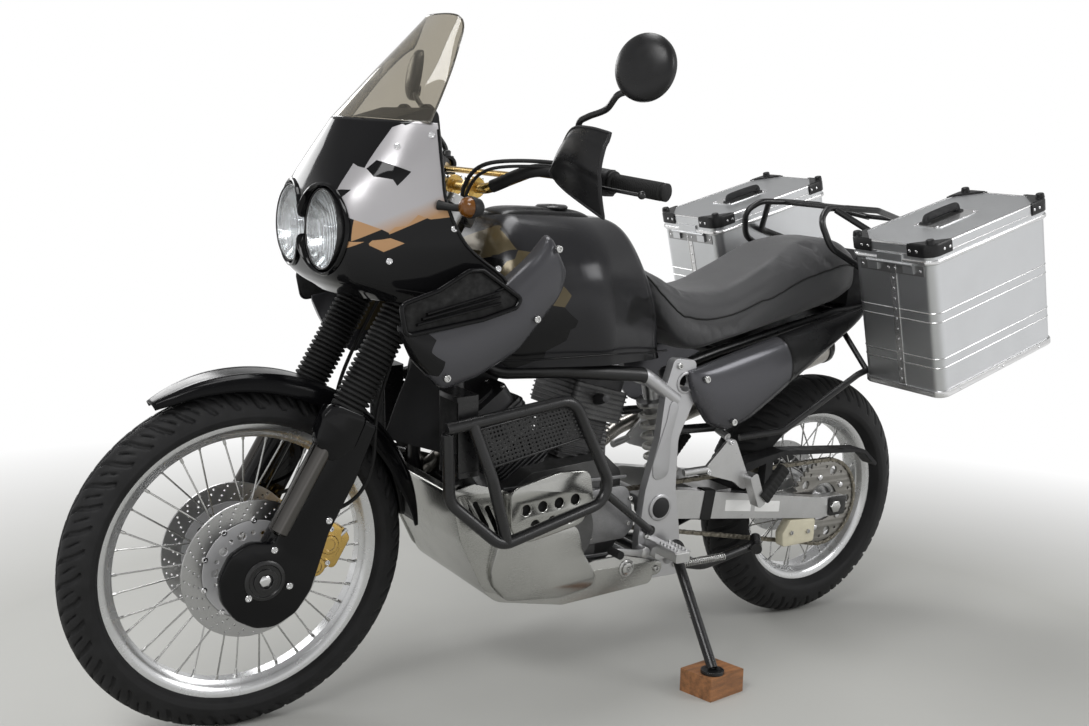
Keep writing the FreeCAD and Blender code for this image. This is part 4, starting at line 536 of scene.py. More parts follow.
def make_finishes(tone):
    """All the finishes of the machine, from the colours that the panel holds. A surface's values are
    colour, roughness, metal, grain, variation, bump, fine grain, coat, worn colour and specular."""
    frame_tone, grey, olive = tuple(tone.frame), tuple(tone.panel), tuple(tone.patch_olive)
    ink, jet = (0.007, 0.007, 0.0075), (0.003, 0.003, 0.0035)
    sheet_ways = ((1.0, 1.0, 26.0), (0.0, 0.30, 0.0))
    # frame_paint's second colour is painted shade: near-black on the frame's tubes
    keep(frame_paint, "frame_silver", frame_tone, (0.006, 0.006, 0.0065))
    keep(surface, "plate_silver", mid(frame_tone, 0.86), 0.36, 0.75, 14, 0.06, 0.05, 700, 0.3,
        (0.56, 0.55, 0.53))
    keep(surface, "guard_black", jet, 0.2, 0.0, 18, 0.3, 0.01, 500, spec=0.12)
    keep(surface, "black_chrome", (0.11, 0.105, 0.10), 0.12, 1.0, 18, 0.1, 0.01, 500)
    keep(surface, "carrier_silver", (0.5, 0.5, 0.51), 0.42, 0.35, 20, 0.05, 0.03, 900)
    keep(surface, "label_white", (0.85, 0.85, 0.84), 0.35, 0.0, 20, 0.04, 0.01, 900)
    keep(surface, "cover_metal", (0.26, 0.26, 0.265), 0.36, 0.75, 26, 0.3, 0.15, 420, 0.0, (0.45, 0.45, 0.45))
    keep(side_paint, "side_paint", mid(grey, 1.5), ink)
    keep(surface, "black_metal", (0.008, 0.008, 0.0085), 0.3, 0.0, 30, 0.3, 0.04, 800, 0.0, (0.12, 0.12, 0.12))
    keep(surface, "gloss_black", jet, 0.07, 0.0, 18, 0.3, 0.01, 500, spec=0.22)
    keep(surface, "sprocket_steel", (0.30, 0.29, 0.27), 0.35, 1.0, 40, 0.2, 0.06, 800)
    keep(surface, "engine_metal", (0.10, 0.10, 0.10), 0.42, 0.7, 26, 0.3, 0.25, 420, 0.0, (0.35, 0.35, 0.35))
    keep(surface, "engine_black", (0.035, 0.035, 0.037), 0.45, 0.3, 26, 0.3, 0.2, 420, 0.0, (0.3, 0.3, 0.3))
    keep(brushed, "sheet_aluminium", tuple(tone.aluminium), 0.34, *sheet_ways)
    keep(surface, "bright_aluminium", (0.72, 0.72, 0.72), 0.22, 0.95, 14, 0.08, 0.04, 800)
    keep(brushed, "dull_aluminium", (0.34, 0.34, 0.34), 0.4, *sheet_ways)
    keep(brushed, "skid_aluminium", (0.44, 0.44, 0.42), 0.24, (0.06, 1.0, 1.0), depth=0.06, dull=0.25)
    keep(surface, "cast_aluminium", (0.55, 0.55, 0.55), 0.34, 0.95, 18, 0.14, 0.12, 520, 0.0,
        (0.75, 0.75, 0.75))
    keep(surface, "black_plastic", tuple(tone.plastic), 0.5, 0.0, 24, 0.2, 0.3, 900, spec=0.25)
    keep(glass, "amber_lens", (0.16, 0.055, 0.004), 0.16, 0.25)
    keep(glass, "red_lens", (0.5, 0.01, 0.012), 0.14, 0.3)
    keep(glass, "lamp_glass", (0.95, 0.97, 0.98), 0.03, 1.0)
    keep(glass, "smoked_screen", (0.36, 0.33, 0.27), 0.02, 0.95)
    keep(vinyl, "seat_vinyl", tuple(tone.seat))
    keep(rubber, "black_rubber", (0.01, 0.01, 0.01))
    keep(rubber, "tyre_rubber", (0.012, 0.012, 0.0125), 0.62, 240.0, 0.3)
    keep(surface, "gold_metal", tuple(tone.gold), 0.28, 1.0, 20, 0.12, 0.06, 800, 0.2, (0.7, 0.6, 0.4))
    keep(surface, "rim_silver", (0.66, 0.665, 0.67), 0.25, 0.95, 12, 0.05, 0.0, 600)
    keep(surface, "spoke_steel", (0.55, 0.55, 0.54), 0.24, 1.0, 60, 0.15, 0.03, 900)
    keep(brushed, "disc_steel", (0.5, 0.5, 0.5), 0.3, (1.0, 1.0, 1.0), fine=1600.0, depth=0.02, dull=0.2)
    keep(surface, "chain_steel", (0.22, 0.20, 0.16), 0.38, 0.9, 60, 0.35, 0.1, 900, 0.0, (0.5, 0.48, 0.42))
    keep(brushed, "exhaust_steel", (0.42, 0.40, 0.37), 0.3, (0.1, 1.0, 1.0), (0, 0.27, 0), depth=0.1, dull=0.3)
    keep(surface, "chrome", (0.72, 0.72, 0.73), 0.08, 1.0, 20, 0.04, 0.0, 900)
    keep(surface, "spring_paint", (0.62, 0.61, 0.57), 0.35, 0.0, 20, 0.1, 0.05, 700, 0.4)
    keep(surface, "cream_plastic", (0.62, 0.58, 0.44), 0.5, 0.0, 30, 0.15, 0.1, 700)
    keep(wood, "brown_wood", (0.26, 0.115, 0.045))
    keep(surface, "mirror_glass", (0.8, 0.82, 0.84), 0.03, 1.0, 6, 0.02, 0.0, 900)
    keep(surface, "lamp_mirror", (0.86, 0.87, 0.88), 0.1, 1.0, 12, 0.05, 0.0, 300)
    keep(fluted_glass, "fluted_glass")
    keep(dial_face, "dial_face")
    keep(glass, "screen_rim", (0.12, 0.11, 0.09), 0.05, 0.5)
    keep(surface, "satin_plastic", (0.009, 0.009, 0.0095), 0.3, 0.0, 16, 0.2, 0.05, 900, spec=0.3)
    # near-black for painted shade: plates behind openings and in recesses, and the radiator cores
    keep(surface, "dark_hole", (0.004, 0.004, 0.004), 0.85, 0.0, 30, 0.2, 0.0, 300)
    keep(fairing_paint, "fairing_black", (0.006, 0.006, 0.0065), tuple(tone.patch_light),
        tuple(tone.patch_warm))
    keep(patch_paint, "tank_grey", mid(grey, 0.42), (ink, mid(grey, 0.42), mid(olive, 0.8)), 6.0, 7.7,
        (0.42, 0.62, 0.88))
    keep(patch_paint, "panel_grey", mid(grey, 1.15), (ink, mid(grey, 1.15), olive), 5.5, 1.3, (0.5, 0.66, 0.86))
    keep(surface, "cover_grey", mid(grey, 1.15), 0.3, 0.5, 14, 0.12, 0.03, 1800, 0.8)


def frame_paint(name, silver, black):
    """Silver on the cast plates and lower rails; near-black and not metal on the tubes ahead of them and above,
    as painted shade where they sit behind the fork, fairing and radiators.
    """
    n = Nodes(name)
    _, x, _, z = n.machine()
    # painted shade: near-black instead of silver ahead of x 0.69 m and above z 0.285 m, and everywhere ahead of
    # x 1.02 m
    dark = n.times(n.above(x, 0.69), n.above(z, 0.285))
    dark = n.math("MAXIMUM", dark, n.above(x, 1.02))
    cloud = n.noise(14.0, 5.0)
    small = n.noise(700.0, 3.0)
    base = n.mix(cloud, mid(silver, 0.93), mid(silver, 1.06))
    base = n.mix(dark, base, black)
    near, rounded = n.edge(0.0014)
    base = n.mix(n.between(near, 0.03, 0.3, 0, 0.5), base, mid(silver, 1.1))
    shape = n.bump(small, 0.06, 0.0006, Normal=rounded)
    rub = n.cloudy(cloud, 0.28, 0.42)
    return n.done(Base_Color=base, Roughness=rub, Metallic=n.times(n.math("SUBTRACT", 1.0, dark), 0.75),
        Normal=shape)


def side_paint(name, grey, black):
    """Side covers: a grey teardrop with a soft metal sheen ahead of a curved edge, black behind it."""
    n = Nodes(name)
    _, x, _, z = n.machine()
    height = n.math("ABSOLUTE", n.math("SUBTRACT", z, 0.70))
    curve = n.math("SUBTRACT", x, n.times(n.math("POWER", height, 2.0), 4.0))
    ahead = n.between(curve, 0.262, 0.266)
    cloud = n.noise(10.0, 5.0)
    base = n.mix(cloud, mid(grey, 0.9), mid(grey, 1.1))
    base = n.mix(n.between(n.noise(2400.0, 2.0), 0.55, 0.8, 0, 0.3), base, mid(grey, 1.7))
    base = n.mix(ahead, black, base)
    seam = n.times(n.between(curve, 0.256, 0.262), n.between(curve, 0.272, 0.266))
    base = n.mix(seam, base, (0.002, 0.002, 0.002))
    rub = n.cloudy(cloud, 0.2, 0.3)
    return n.done(Base_Color=base, Roughness=rub, Metallic=n.times(ahead, 0.6), Specular_IOR_Level=0.35,
        Normal=n.bump(seam, 0.4, 0.0012))


def fairing_paint(name, ground, silver, copper):
    """Gloss black with a slanted band on each upper flank: copper below, silver above, its borders and
    some gaps in it stepped by skewed cells."""
    n = Nodes(name)
    place, x, y, z = n.machine()
    skewed = n.add("ShaderNodeMapping",
        {"Vector": place, "Scale": (1.0, 0.4, 1.7), "Rotation": (0.0, 0.5, 0.0)}).outputs["Vector"]
    pick = n.cells(skewed, 8.5, 1.0)
    step = n.times(n.math("SUBTRACT", pick[0], 0.5), 0.075)
    level = n.plus(n.plus(z, n.times(x, 0.517)), step)
    warm = n.mix(n.between(level, 1.755, 1.79), copper, silver)
    inside = n.times(n.above(level, 1.725), n.math("LESS_THAN", level, 1.915))
    inside = n.times(inside, n.above(n.plus(n.math("ABSOLUTE", y), step), 0.152))
    inside = n.times(inside, n.math("LESS_THAN", pick[1], 0.9))
    colour = n.mix(inside, ground, warm)
    rounded = n.edge(0.002)[1]
    rub = n.cloudy(n.noise(30.0), 0.05, 0.10)
    flake = n.times(inside, 0.55)
    rub = n.plus(rub, n.times(inside, 0.24))
    return n.done(Base_Color=colour, Roughness=rub, Metallic=flake, Normal=rounded, Specular_IOR_Level=0.2)


def fluted_glass(name):
    """Clear lamp glass: fine upright flutes all over, crossed by short steps in the lower half."""
    n = Nodes(name)
    y, z = n.machine()[2:]
    low_half = (1.02, 1.0)  # from none at this height, in metres, to full at that one
    flutes = n.math("SINE", n.times(y, 1150.0))
    steps = n.times(n.math("SINE", n.times(z, 700.0)), n.between(z, *low_half))
    blocks = n.times(n.math("SINE", n.times(y, 330.0)), n.between(z, *low_half))
    height = n.plus(flutes, n.plus(steps, blocks))
    dust = n.noise(30.0, 5.0)
    n.material.use_transparent_shadow = True
    rub = n.cloudy(dust, 0.02, 0.09)
    return n.done(Base_Color=(0.94, 0.96, 0.97, 1), Roughness=rub, Transmission_Weight=1.0, IOR=LENS_IOR,
        Normal=n.bump(height, 0.5, 0.0006))


def dial_face(name):
    """Black dial with a faint ring pattern."""
    n = Nodes(name)
    rings = n.noise(60.0, 2.0)
    return n.done(Base_Color=n.mix(rings, (0.006, 0.006, 0.007), (0.014, 0.014, 0.016)),
        Roughness=n.cloudy(rings, 0.1, 0.2))


NODE_FINISH = {
    "frame_silver": ["main_frame"],
    "black_metal": ["crash_bars", "luggage_rack", "subframe", "side_stand", "centre_stand", "radiators"],
    "gloss_black": ["fork_legs", "front_mudguard"],
    "engine_metal": ["engine"],
    "sheet_aluminium": ["pannier_left", "pannier_right", "lid_left", "lid_right"],
    "skid_aluminium": ["skid_plate"],
    "cast_aluminium": ["fork", "swingarm", "foot_pegs"],
    "tank_grey": ["fuel_tank"],
    "panel_grey": ["side_panels"],
    "cover_grey": ["side_covers"],
    "fairing_black": ["fairing"],
    "black_plastic": ["hand_guards", "mirrors", "instrument_panel", "tail", "chain_guard", "tank_cap"],
    "lamp_glass": ["headlights"],
    "smoked_screen": ["windscreen"],
    "amber_lens": ["lamps"],
    "seat_vinyl": ["seat"],
    "black_rubber": ["fork_gaiters", "hand_controls", "brake_hoses"],
    "gold_metal": ["handlebar", "front_calipers"],
    "rim_silver": ["front_wheel", "rear_wheel"],
    "tyre_rubber": ["front_tyre", "rear_tyre"],
    "disc_steel": ["front_discs", "rear_disc", "rear_caliper"],
    "chain_steel": ["chain", "rear_sprocket"],
    "exhaust_steel": ["exhaust"],
    "spring_paint": ["shock_absorber"],
    "brown_wood": ["stand_block"],
}


def finish_nodes():
    """Gives every CAD node that still shows its finish."""
    for finish, names in NODE_FINISH.items():
        for name in names:
            node = frame["nodes"][name]
            node.data.materials.clear()
            node.data.materials.append(FINISH[finish])

# ---------------------------------------------------------------- brake hoses

HOSE_POINTS = [(-48, 84, 138), (-110, 96, 180), (-122, 104, 270), (-60, 100, 380), (-40, 86, 520),
    (-30, 60, 613.96)]
HOSE_RADIUS = 4.0


def hose(name, side):
    """A rubber hose from a caliper to the lower clamp, free between them, as one smooth spline."""
    route = placed(on_fork(np.array(HOSE_POINTS, float) * [1, side, 1]))
    curve = bpy.data.curves.new(name, "CURVE")
    curve.dimensions = "3D"
    curve.bevel_depth = HOSE_RADIUS / MM
    curve.bevel_resolution, curve.resolution_u = 4, 24
    spline = curve.splines.new("NURBS")
    spline.points.add(len(route) - 1)
    for control, point in zip(spline.points, route):
        control.co = (*point, 1.0)
    spline.order_u = 3
    spline.use_endpoint_u = True
    curve.materials.append(FINISH["black_rubber"])
    piece = bpy.data.objects.new(name, curve)
    bpy.context.scene.collection.objects.link(piece)
    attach(piece, "steering")
    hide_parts("brake_hoses")


class MOTO_OT_cords(bpy.types.Operator):
    """Makes the two brake hoses, which hang free between fork and calipers"""

    bl_idname = "moto.cords"
    bl_label = "Brake hoses"

    def execute(self, context):
        hose("brake_hose_left", 1)
        hose("brake_hose_right", -1)
        return {"FINISHED"}

# ---------------------------------------------------------------- wheels, brakes and fork

WHEELS = {
    "front": {
        "centre": (1565.0, 0.0, 347.7), "radius": 347.7, "width": 92.0, "flange": 281.5, "rim": 58.0,
        "pitches": 44,
        "barrel": 24.0, "hub": 38.0, "flange_half": 40.0, "half": 63.2, "lean": 0.95,
    },
    "rear": {
        "centre": (0.0, 0.0, 328.0), "radius": 328.0, "width": 140.0, "flange": 231.0, "rim": 84.0,
        "pitches": 38,
        "barrel": 42.0, "hub": 62.0, "flange_half": 38.0, "half": 71.2, "lean": 0.8,
    },
}
TREAD_ROWS = 800  # rows of points round a tyre
SPOKES = 36
SPROCKET_TEETH = 45
CHAIN_SIDE = 86.0  # the chain's middle plane
CHAIN_PITCH = 15.875
STEER_FOOT = np.array([1678.0, 0.0, 0.0])  # where the steering axis meets the road
AHEAD = np.array([0.88295, 0.0, 0.46947])  # square to the steering axis
ALONG = np.array([-0.46947, 0.0, 0.88295])  # up the steering axis
FORK_AHEAD = 63.47
AXLE_ALONG = 360.04
FORK_SIDE = 105.0
BELLOWS_FOLDS = 22


def on_fork(points):
    """(ahead of the fork tubes, side, along from the axle) to machine millimetres."""
    p = np.asarray(points, float)
    ahead = (p[..., 0:1] + FORK_AHEAD) * AHEAD
    return STEER_FOOT + ahead + p[..., 1:2] * SIDEWAYS + (p[..., 2:3] + AXLE_ALONG) * ALONG


def turns(count):
    """Angles spaced evenly over one turn."""
    return 2 * math.pi * np.arange(count) / count


def ease(x):
    """A smooth step from 0 to 1."""
    x = np.clip(x, 0, 1)
    return x * x * (3 - 2 * x)


def tyre_shape(w, groove):
    """A carcass line y(s), drop(s) turned about the axle, less depth(s, angle) along its normal: slanted
    grooves that run from near the middle out to the shoulder, short ones between them and a wavy one
    in the middle; two low ribs stand on the wall."""
    radius, half = w["radius"], w["width"] / 2
    sink = (radius - w["flange"]) / half
    seat = (w["rim"] / 2 - 9.5) / half
    lip = w["rim"] / 2 / half
    guide = [
        (0, 0), (0.22, 0.024), (0.44, 0.10), (0.64, 0.245), (0.82, 0.47), (0.94, 0.72), (0.995, 0.98),
        (0.975, 1.15), (0.88, sink - 0.13), (lip + 0.1, sink - 0.035), (lip - 0.03, sink + 0.03),
        (seat, sink + 0.13),
    ]
    side = smooth_line(guide, 46)
    y = np.concatenate([-side[::-1, 0], side[1:, 0]]) * half
    drop = np.concatenate([side[::-1, 1], side[1:, 1]]) * half
    step = np.hypot(np.gradient(y), np.gradient(drop))
    arc = np.cumsum(step)
    arc -= arc[len(arc) // 2]
    shoulder = np.interp(0.93, side[:30, 0], np.abs(arc[45:75]))
    q = arc / shoulder
    angle = turns(TREAD_ROWS)
    turn = angle[:, None] * w["pitches"] / (2 * math.pi)
    pitch = 2 * math.pi * radius / w["pitches"]
    aq = np.abs(q)[None]
    own = turn + 0.5 * (q > 0)[None]

    def slot(centre, half_width, low, high):
        away = np.abs((own - centre + 0.5) % 1.0 - 0.5) * pitch * 0.8
        inside = ease((half_width - away) / 1.6 + 0.5)
        return inside * ease((aq - low) / 0.04) * ease((high - aq) / 0.05)

    lean = w["lean"]
    cut = slot(lean * aq**0.85 + 0.06 * np.sin(math.pi * aq * 2), 3.0 + 1.6 * aq, 0.10, 1.06)
    cut = np.maximum(cut, 0.8 * slot(0.5 + lean * aq**0.85, 1.8, 0.34, 0.86))
    cut = np.maximum(cut, 0.55 * slot(0.25 + 0.5 * aq, 1.0, 0.62, 0.98))
    middle = np.abs(y[None] - 2.6 * np.sin(2 * math.pi * turn))
    cut = np.maximum(cut, 0.8 * ease((1.5 - middle) / 1.6 + 0.5))
    depth = groove * cut
    wall = np.abs(drop / half)
    for height, at, width in ((0.7, 1.06, 1.3), (0.9, sink - 0.17, 1.2)):
        depth = depth - height * np.exp(-(((wall - at) * half / width) ** 2)) * (aq > 1)
    ny, nr = np.gradient(drop) / step, np.gradient(y) / step
    across = y[None] - depth * ny[None]
    out = radius - drop[None] - depth * nr[None]
    cx, cy, cz = w["centre"]
    pts = np.stack([cx + out * np.cos(angle)[:, None], cy + across, cz + out * np.sin(angle)[:, None]], -1)
    return pts.reshape(-1, 3), grid_faces(TREAD_ROWS, len(y), True, True)


def mirrored_line(half):
    """A section of (radius, side) rows from its half that starts on the middle plane."""
    return [(r, -s) for r, s in half[::-1][:-1]] + half


def rim_shape(w):
    """The rim's section, with rolled lips and a rounded well, turned about the axle."""
    f, h = w["flange"], w["rim"] / 2
    half = [
        (f - 30, 0), (f - 30, h * 0.42), (f - 25.5, h * 0.52), (f - 20, h - 9.5), (f - 15, h - 4),
        (f - 8, h - 1.6),
        (f - 2.5, h - 0.4), (f - 0.4, h), (f, h - 1.6), (f - 0.6, h - 4.2), (f - 3, h - 5.4), (f - 8, h - 7.5),
        (f - 10.5, h - 12), (f - 11.5, 0),
    ]
    return revolved(mirrored_line(half)[:-1], w["centre"], SIDEWAYS, 160)


def hub_shape(w):
    """A waisted barrel between two spoke flanges."""
    b, h, fh, half = w["barrel"], w["hub"], w["flange_half"], w["half"]
    side = [
        (b, 0), (b, fh - 14), (b + 3, fh - 6), (h - 3, fh), (h, fh + 0.8), (h, fh + 4.2), (h - 1.5, fh + 5),
        (b + 7, fh + 5.6), (b + 6, fh + 9), (b + 6, half - 1), (b + 5, half), (10.4, half),
    ]
    return revolved(mirrored_line(side), w["centre"], SIDEWAYS, 72)


def spokes_shape(w):
    """Round spokes crossed from the hub's flanges to the rim, with a nipple at each rim end."""
    parts = []
    centre = np.array(w["centre"])
    hub_r, rim_r = w["hub"] - 4, w["flange"] - 24
    lead = math.radians(38)  # how far round the hub's end of a spoke is from the rim's
    for index, angle in enumerate(turns(SPOKES)):
        side = 1 if index % 2 == 0 else -1
        foot = angle + (lead if index % 4 < 2 else -lead)
        a = np.array([hub_r * math.cos(foot), side * (w["flange_half"] + 2), hub_r * math.sin(foot)])
        b = np.array([rim_r * math.cos(angle), side * 0.12 * w["rim"], rim_r * math.sin(angle)])
        way = unit(b - a)
        line = np.array([a + side * 5.0 * SIDEWAYS, a + way * 2, a + way * 8, b - way * 16])
        parts.append(carried(centre + line, circle(1.9, 8)))
        nipple = np.array([b - way * 17, b - way * 15.5, b - way * 2, b + way * 3])
        parts.append(carried(centre + nipple, circle(3.1, 6), taper=[0.8, 1, 1, 1.25]))
    return merged(parts)


def beside(w, side):
    """Carries (across, up, through) beside a wheel at a given y."""
    cx, cy, cz = w["centre"]
    return lambda p: np.stack([cx + p[:, 0], cy + side + p[:, 2], cz + p[:, 1]], -1)


def ring_of(count, radius, hole, turn=0.0, steps=14):
    """Round loops spaced evenly on a circle."""
    angles = np.radians(turn) + turns(count)
    return [round_loop(radius * math.cos(a), radius * math.sin(a), hole, steps) for a in angles]


def rotor_shape(w, side, outer, inner, count):
    """A brake rotor: rows of small holes laid on slanted lines."""
    holes = []
    for row, share in enumerate((0.16, 0.38, 0.62, 0.84)):
        radius = inner + (outer - inner) * share
        holes += ring_of(count, radius, 2.7, 360 / count * (0.25 * row), 8)
    outline = round_loop(0, 0, outer, 120)
    return punched(outline, [round_loop(0, 0, inner, 96), *holes], 4.6, beside(w, side), 0.5)


def carrier_shape(w, side, outer, bore, count, large, small):
    """A rotor's carrier: a plate with large and small holes by turns."""
    middle = (outer + bore) / 2 + 6
    holes = ring_of(count, middle, large) + ring_of(count, middle + 2, small, 180 / count)
    return punched(round_loop(0, 0, outer, 96), [round_loop(0, 0, bore, 48), *holes], 5.0, beside(w, side), 0.8)


def wheel_fixings(w, side, radius, count):
    """Floating buttons between a rotor and its carrier."""
    angles = turns(count) + math.pi / count
    out = np.sign(side) * SIDEWAYS
    ring = np.stack([np.cos(angles) * radius, np.full(count, float(side)), np.sin(angles) * radius], -1)
    return screws(w["centre"] + out * 2.6 + ring, out, 6.0, 1.6)


def sprocket_shape(w, side):
    """A toothed ring with round windows: the radius follows 113.4 + 4.6 clip(1.5 cos(teeth a))."""
    a = turns(SPROCKET_TEETH * 10)
    radius = 113.4 + 4.6 * np.clip(np.cos(a * SPROCKET_TEETH) * 1.5, -1, 1)
    outline = np.stack([radius * np.cos(a), radius * np.sin(a)], -1)
    holes = [round_loop(0, 0, 52, 64), *ring_of(5, 88, 13, 36), *ring_of(10, 96, 4.5, 18)]
    return punched(outline, holes, 6.6, beside(w, side), 0.6)


def chain_shape():
    """Link plates, rollers and pins laid along the chain's run: two tangents and two arcs."""
    rear, front = np.array([0.0, 328.0]), np.array([712.0, 385.0])
    r1, r2 = 116.0, 41.0  # pitch radii of the two sprockets
    span = front - rear
    distance = np.linalg.norm(span)
    heading = math.atan2(span[1], span[0])
    spread = math.acos((r1 - r2) / distance)
    top, low = heading + spread, heading - spread
    run = math.sqrt(distance**2 - (r1 - r2) ** 2)
    lengths = np.array([run, r2 * 2 * spread, run, r1 * (2 * math.pi - 2 * spread)])
    total = lengths.sum()
    count = int(round(total / CHAIN_PITCH / 2)) * 2
    s = (np.arange(count) + 0.5) * total / count
    ends = np.cumsum(lengths)

    def round_to(angle):
        return np.stack([np.cos(angle), np.sin(angle)], -1)

    def point(s):
        s = s % total
        first, second = rear + r1 * round_to(top), front + r2 * round_to(low)
        way1 = (front + r2 * round_to(top) - first) / run
        way2 = (rear + r1 * round_to(low) - second) / run
        runs = (
            first + way1 * s[:, None],
            front + r2 * round_to(top - (s - ends[0]) / r2),
            second + way2 * (s[:, None] - ends[1]),
            rear + r1 * round_to(low - (s - ends[2]) / r1),
        )
        return np.choose(np.searchsorted(ends[:3], s, "right")[:, None], runs)

    def across(flat, low, high):
        return joined(*(np.stack([flat[..., 0], np.full(flat.shape[:2], CHAIN_SIDE + y), flat[..., 1]],
            -1) for y in (low, high)))

    half = total / count / 2
    start, end = point(s - half), point(s + half)
    middle, way = (start + end) / 2, unit(end - start)
    loop = 6.4 * round_to(np.radians([90, 35, 0, -35, -90, -145, 180, 145]))
    half_link = 7.9
    loop[[1, 2, 3], 0] += half_link
    loop[[5, 6, 7], 0] -= half_link
    loop[[0, 4], 1] *= 0.72
    side = np.stack([-way[:, 1], way[:, 0]], -1)
    flat = middle[:, None] + loop[None, :, :1] * way[:, None] + loop[None, :, 1:] * side[:, None]
    parts = [across(flat[which::2], low, high) for low, high,
        which in ((5.6, 7.0, 0), (-7.0, -5.6, 0), (3.6, 5.0, 1), (-5.0, -3.6, 1))]
    for radius, reach in ((4.6, 3.5), (2.4, 8.2)):
        parts.append(across(start[:, None] + radius * round_to(turns(8)), -reach, reach))
    return merged(parts)


def both(shape):
    """A shape and its mirror twin on the other side of the middle plane."""
    points, faces = shape
    twin = np.asarray(points, float) * [1, -1, 1]
    return merged([(points, faces), (twin, [list(f)[::-1] for f in faces])])


def on_side(low, high):
    """Carries a plate drawn in (x, z) out along y, its middle halfway between two sides."""
    return lambda p: np.stack([p[:, 0], (low + high) / 2 + p[:, 2], p[:, 1]], -1)


def side_plate(corners, low, high, holes=(), bevel=1.0):
    """A flat plate from a rounded outline in (x, z), between two values of y."""
    return punched(rounded(corners), list(holes), high - low, on_side(low, high), bevel)


def rounded(corners, steps=6):
    """A closed outline of (x, z, radius) corners with each corner turned by an arc."""
    out = []
    for i, (x, z, r) in enumerate(corners):
        here = np.array([x, z])
        back, ahead = (np.array(corners[k][:2]) - here for k in (i - 1, (i + 1) % len(corners)))
        lb, la = np.linalg.norm(back), np.linalg.norm(ahead)
        back, ahead = back / lb, ahead / la
        half = math.acos(max(-1.0, min(1.0, float(back @ ahead)))) / 2
        reach = min(r / max(math.tan(half), 1e-3), lb * 0.49, la * 0.49)
        if r <= 0 or reach < 0.05:
            out.append(here[None])
            continue
        a, b = here + back * reach, here + ahead * reach
        t = np.linspace(0, 1, steps)[:, None]
        out.append((1 - t) ** 2 * a + 2 * t * (1 - t) * here + t**2 * b)
    return np.concatenate(out)


def fork_plate(corners, low, high, bevel, steps=6):
    """A flat plate on the fork from a rounded outline in (ahead, along), between two values of y."""
    middle = (low + high) / 2
    to_space = lambda p: on_fork(np.stack([p[:, 0], middle + p[:, 2], p[:, 1]], -1))
    return punched(rounded(corners, steps), [], float(high - low), to_space, bevel)


LEG_COVER = [
    (14, 66, 20), (17, 130, 20), (13, 352, 4), (-58, 352, 6), (-70, 240, 80), (-72, 130, 60), (-86, 62, 50),
    (-95, 16, 40), (-90, -34, 40), (-64, -72, 40), (-31, -87, 40), (12, -86, 40), (52, -66, 40), (79, -30, 40),
    (81, 16, 40), (60, 50, 30),
]


def leg_shapes():
    """The lower legs, their broad covers with a domed edge, and the axle clamps and bolts."""
    leg = turned(
        [(0, 6), (27, 6), (29, 10), (29, 330), (31, 333), (31, 352), (27, 355), (0, 355)],
        on_fork([0, FORK_SIDE, 0]), ALONG, 48)
    cover = fork_plate(LEG_COVER, 117, 137, 5.0, 8)
    clamp_block = fork_plate([(-34, -46, 10), (34, -46, 14), (36, 40, 14), (-34, 44, 10)], 74, 118, 3.0)
    boss = turned(
        [(0, 0), (40, 0), (40, 3), (35, 6), (33, 6), (31, 3.5), (24, 3.5), (23, 8), (15, 9), (14, 4), (0, 4)],
        on_fork([0, 136, 0]), SIDEWAYS, 40)
    places = on_fork([[13, 137, 60], [13, 137, -42], [-52, 137, 8], [-8, 137, 316], [-62, 137, 152]])
    bolts = screws(places, SIDEWAYS, 7.0, 4.0)
    nut = nuts([on_fork([0, 137, 0])], SIDEWAYS, 13.0, 6.0)
    tube = turned([(0, 84), (14, 86), (21, 93), (21, 300), (0, 300)], on_fork([15, 121, 0]), ALONG, 40)
    return both(tube), both(merged([leg, clamp_block])), both(cover), both(boss), both(merged([bolts, nut]))


def caliper_shapes():
    """Two cast halves over the disc with round piston housings, a bridge, the pad pin and bolts."""
    outline = [
        (-66, 46, 12), (-60, 30, 10), (-84, 24, 14), (-116, 40, 18), (-136, 70, 20), (-138, 110, 16),
        (-122, 142, 16),
        (-96, 144, 14), (-88, 124, 10), (-64, 122, 12), (-58, 96, 12), (-70, 84, 8), (-60, 70, 8),
    ]
    plates = [fork_plate(outline, low, high, 3.5, 7) for low, high in ((70, 92), (42, 62))]
    bridge = [(-150, 62, 10), (-150, 130, 10), (-128, 146, 10), (-116, 130, 10), (-122, 70, 10)]
    plates.append(fork_plate(bridge, 47, 87, 3.0))
    cup = [(0, 0), (20, 0), (20, 5), (18, 7), (12, 7.5), (11, 6), (0, 6)]
    cups = [turned(cup, on_fork([*place]), SIDEWAYS, 32) for place in ((-108, 91, 54), (-112, 91, 104))]
    arms = [
        fork_plate(arm, 84, 96, 2.0) for arm in (
            [(-74, 34, 8), (-30, 30, 6), (-30, 66, 6), (-72, 62, 8)],
            [(-74, 98, 8), (-30, 96, 6), (-30, 128, 6), (-72, 126, 8)],
        )
    ]
    places = on_fork([[-66, 94, 48], [-66, 94, 112], [-128, 92, 70], [-100, 92, 134]])
    bolts = screws(places, SIDEWAYS, 6.0, 4.0)
    bleed = carried(on_fork([[-128, 88, 128], [-134, 90, 146]]), circle(4, 10))
    return both(merged([*plates, *cups, *arms])), both(merged([bolts, bleed]))


def gaiter_shape():
    """A bellows: between two bands the radius follows 29.5 + 7 |sin(pi folds t)|^0.7."""
    t = np.linspace(0, 1, BELLOWS_FOLDS * 8 + 1)
    radius = 29.5 + 7.0 * np.abs(np.sin(math.pi * t * BELLOWS_FOLDS)) ** 0.7
    rows = [(23, 0), (33, 0), (34, 3), (34, 10), *zip(radius, 12 + t * 222), (33, 236), (33, 244), (31, 246),
        (23, 246)]
    return both(revolved(rows, on_fork([0, FORK_SIDE, 716 - AXLE_ALONG]), ALONG, 40))


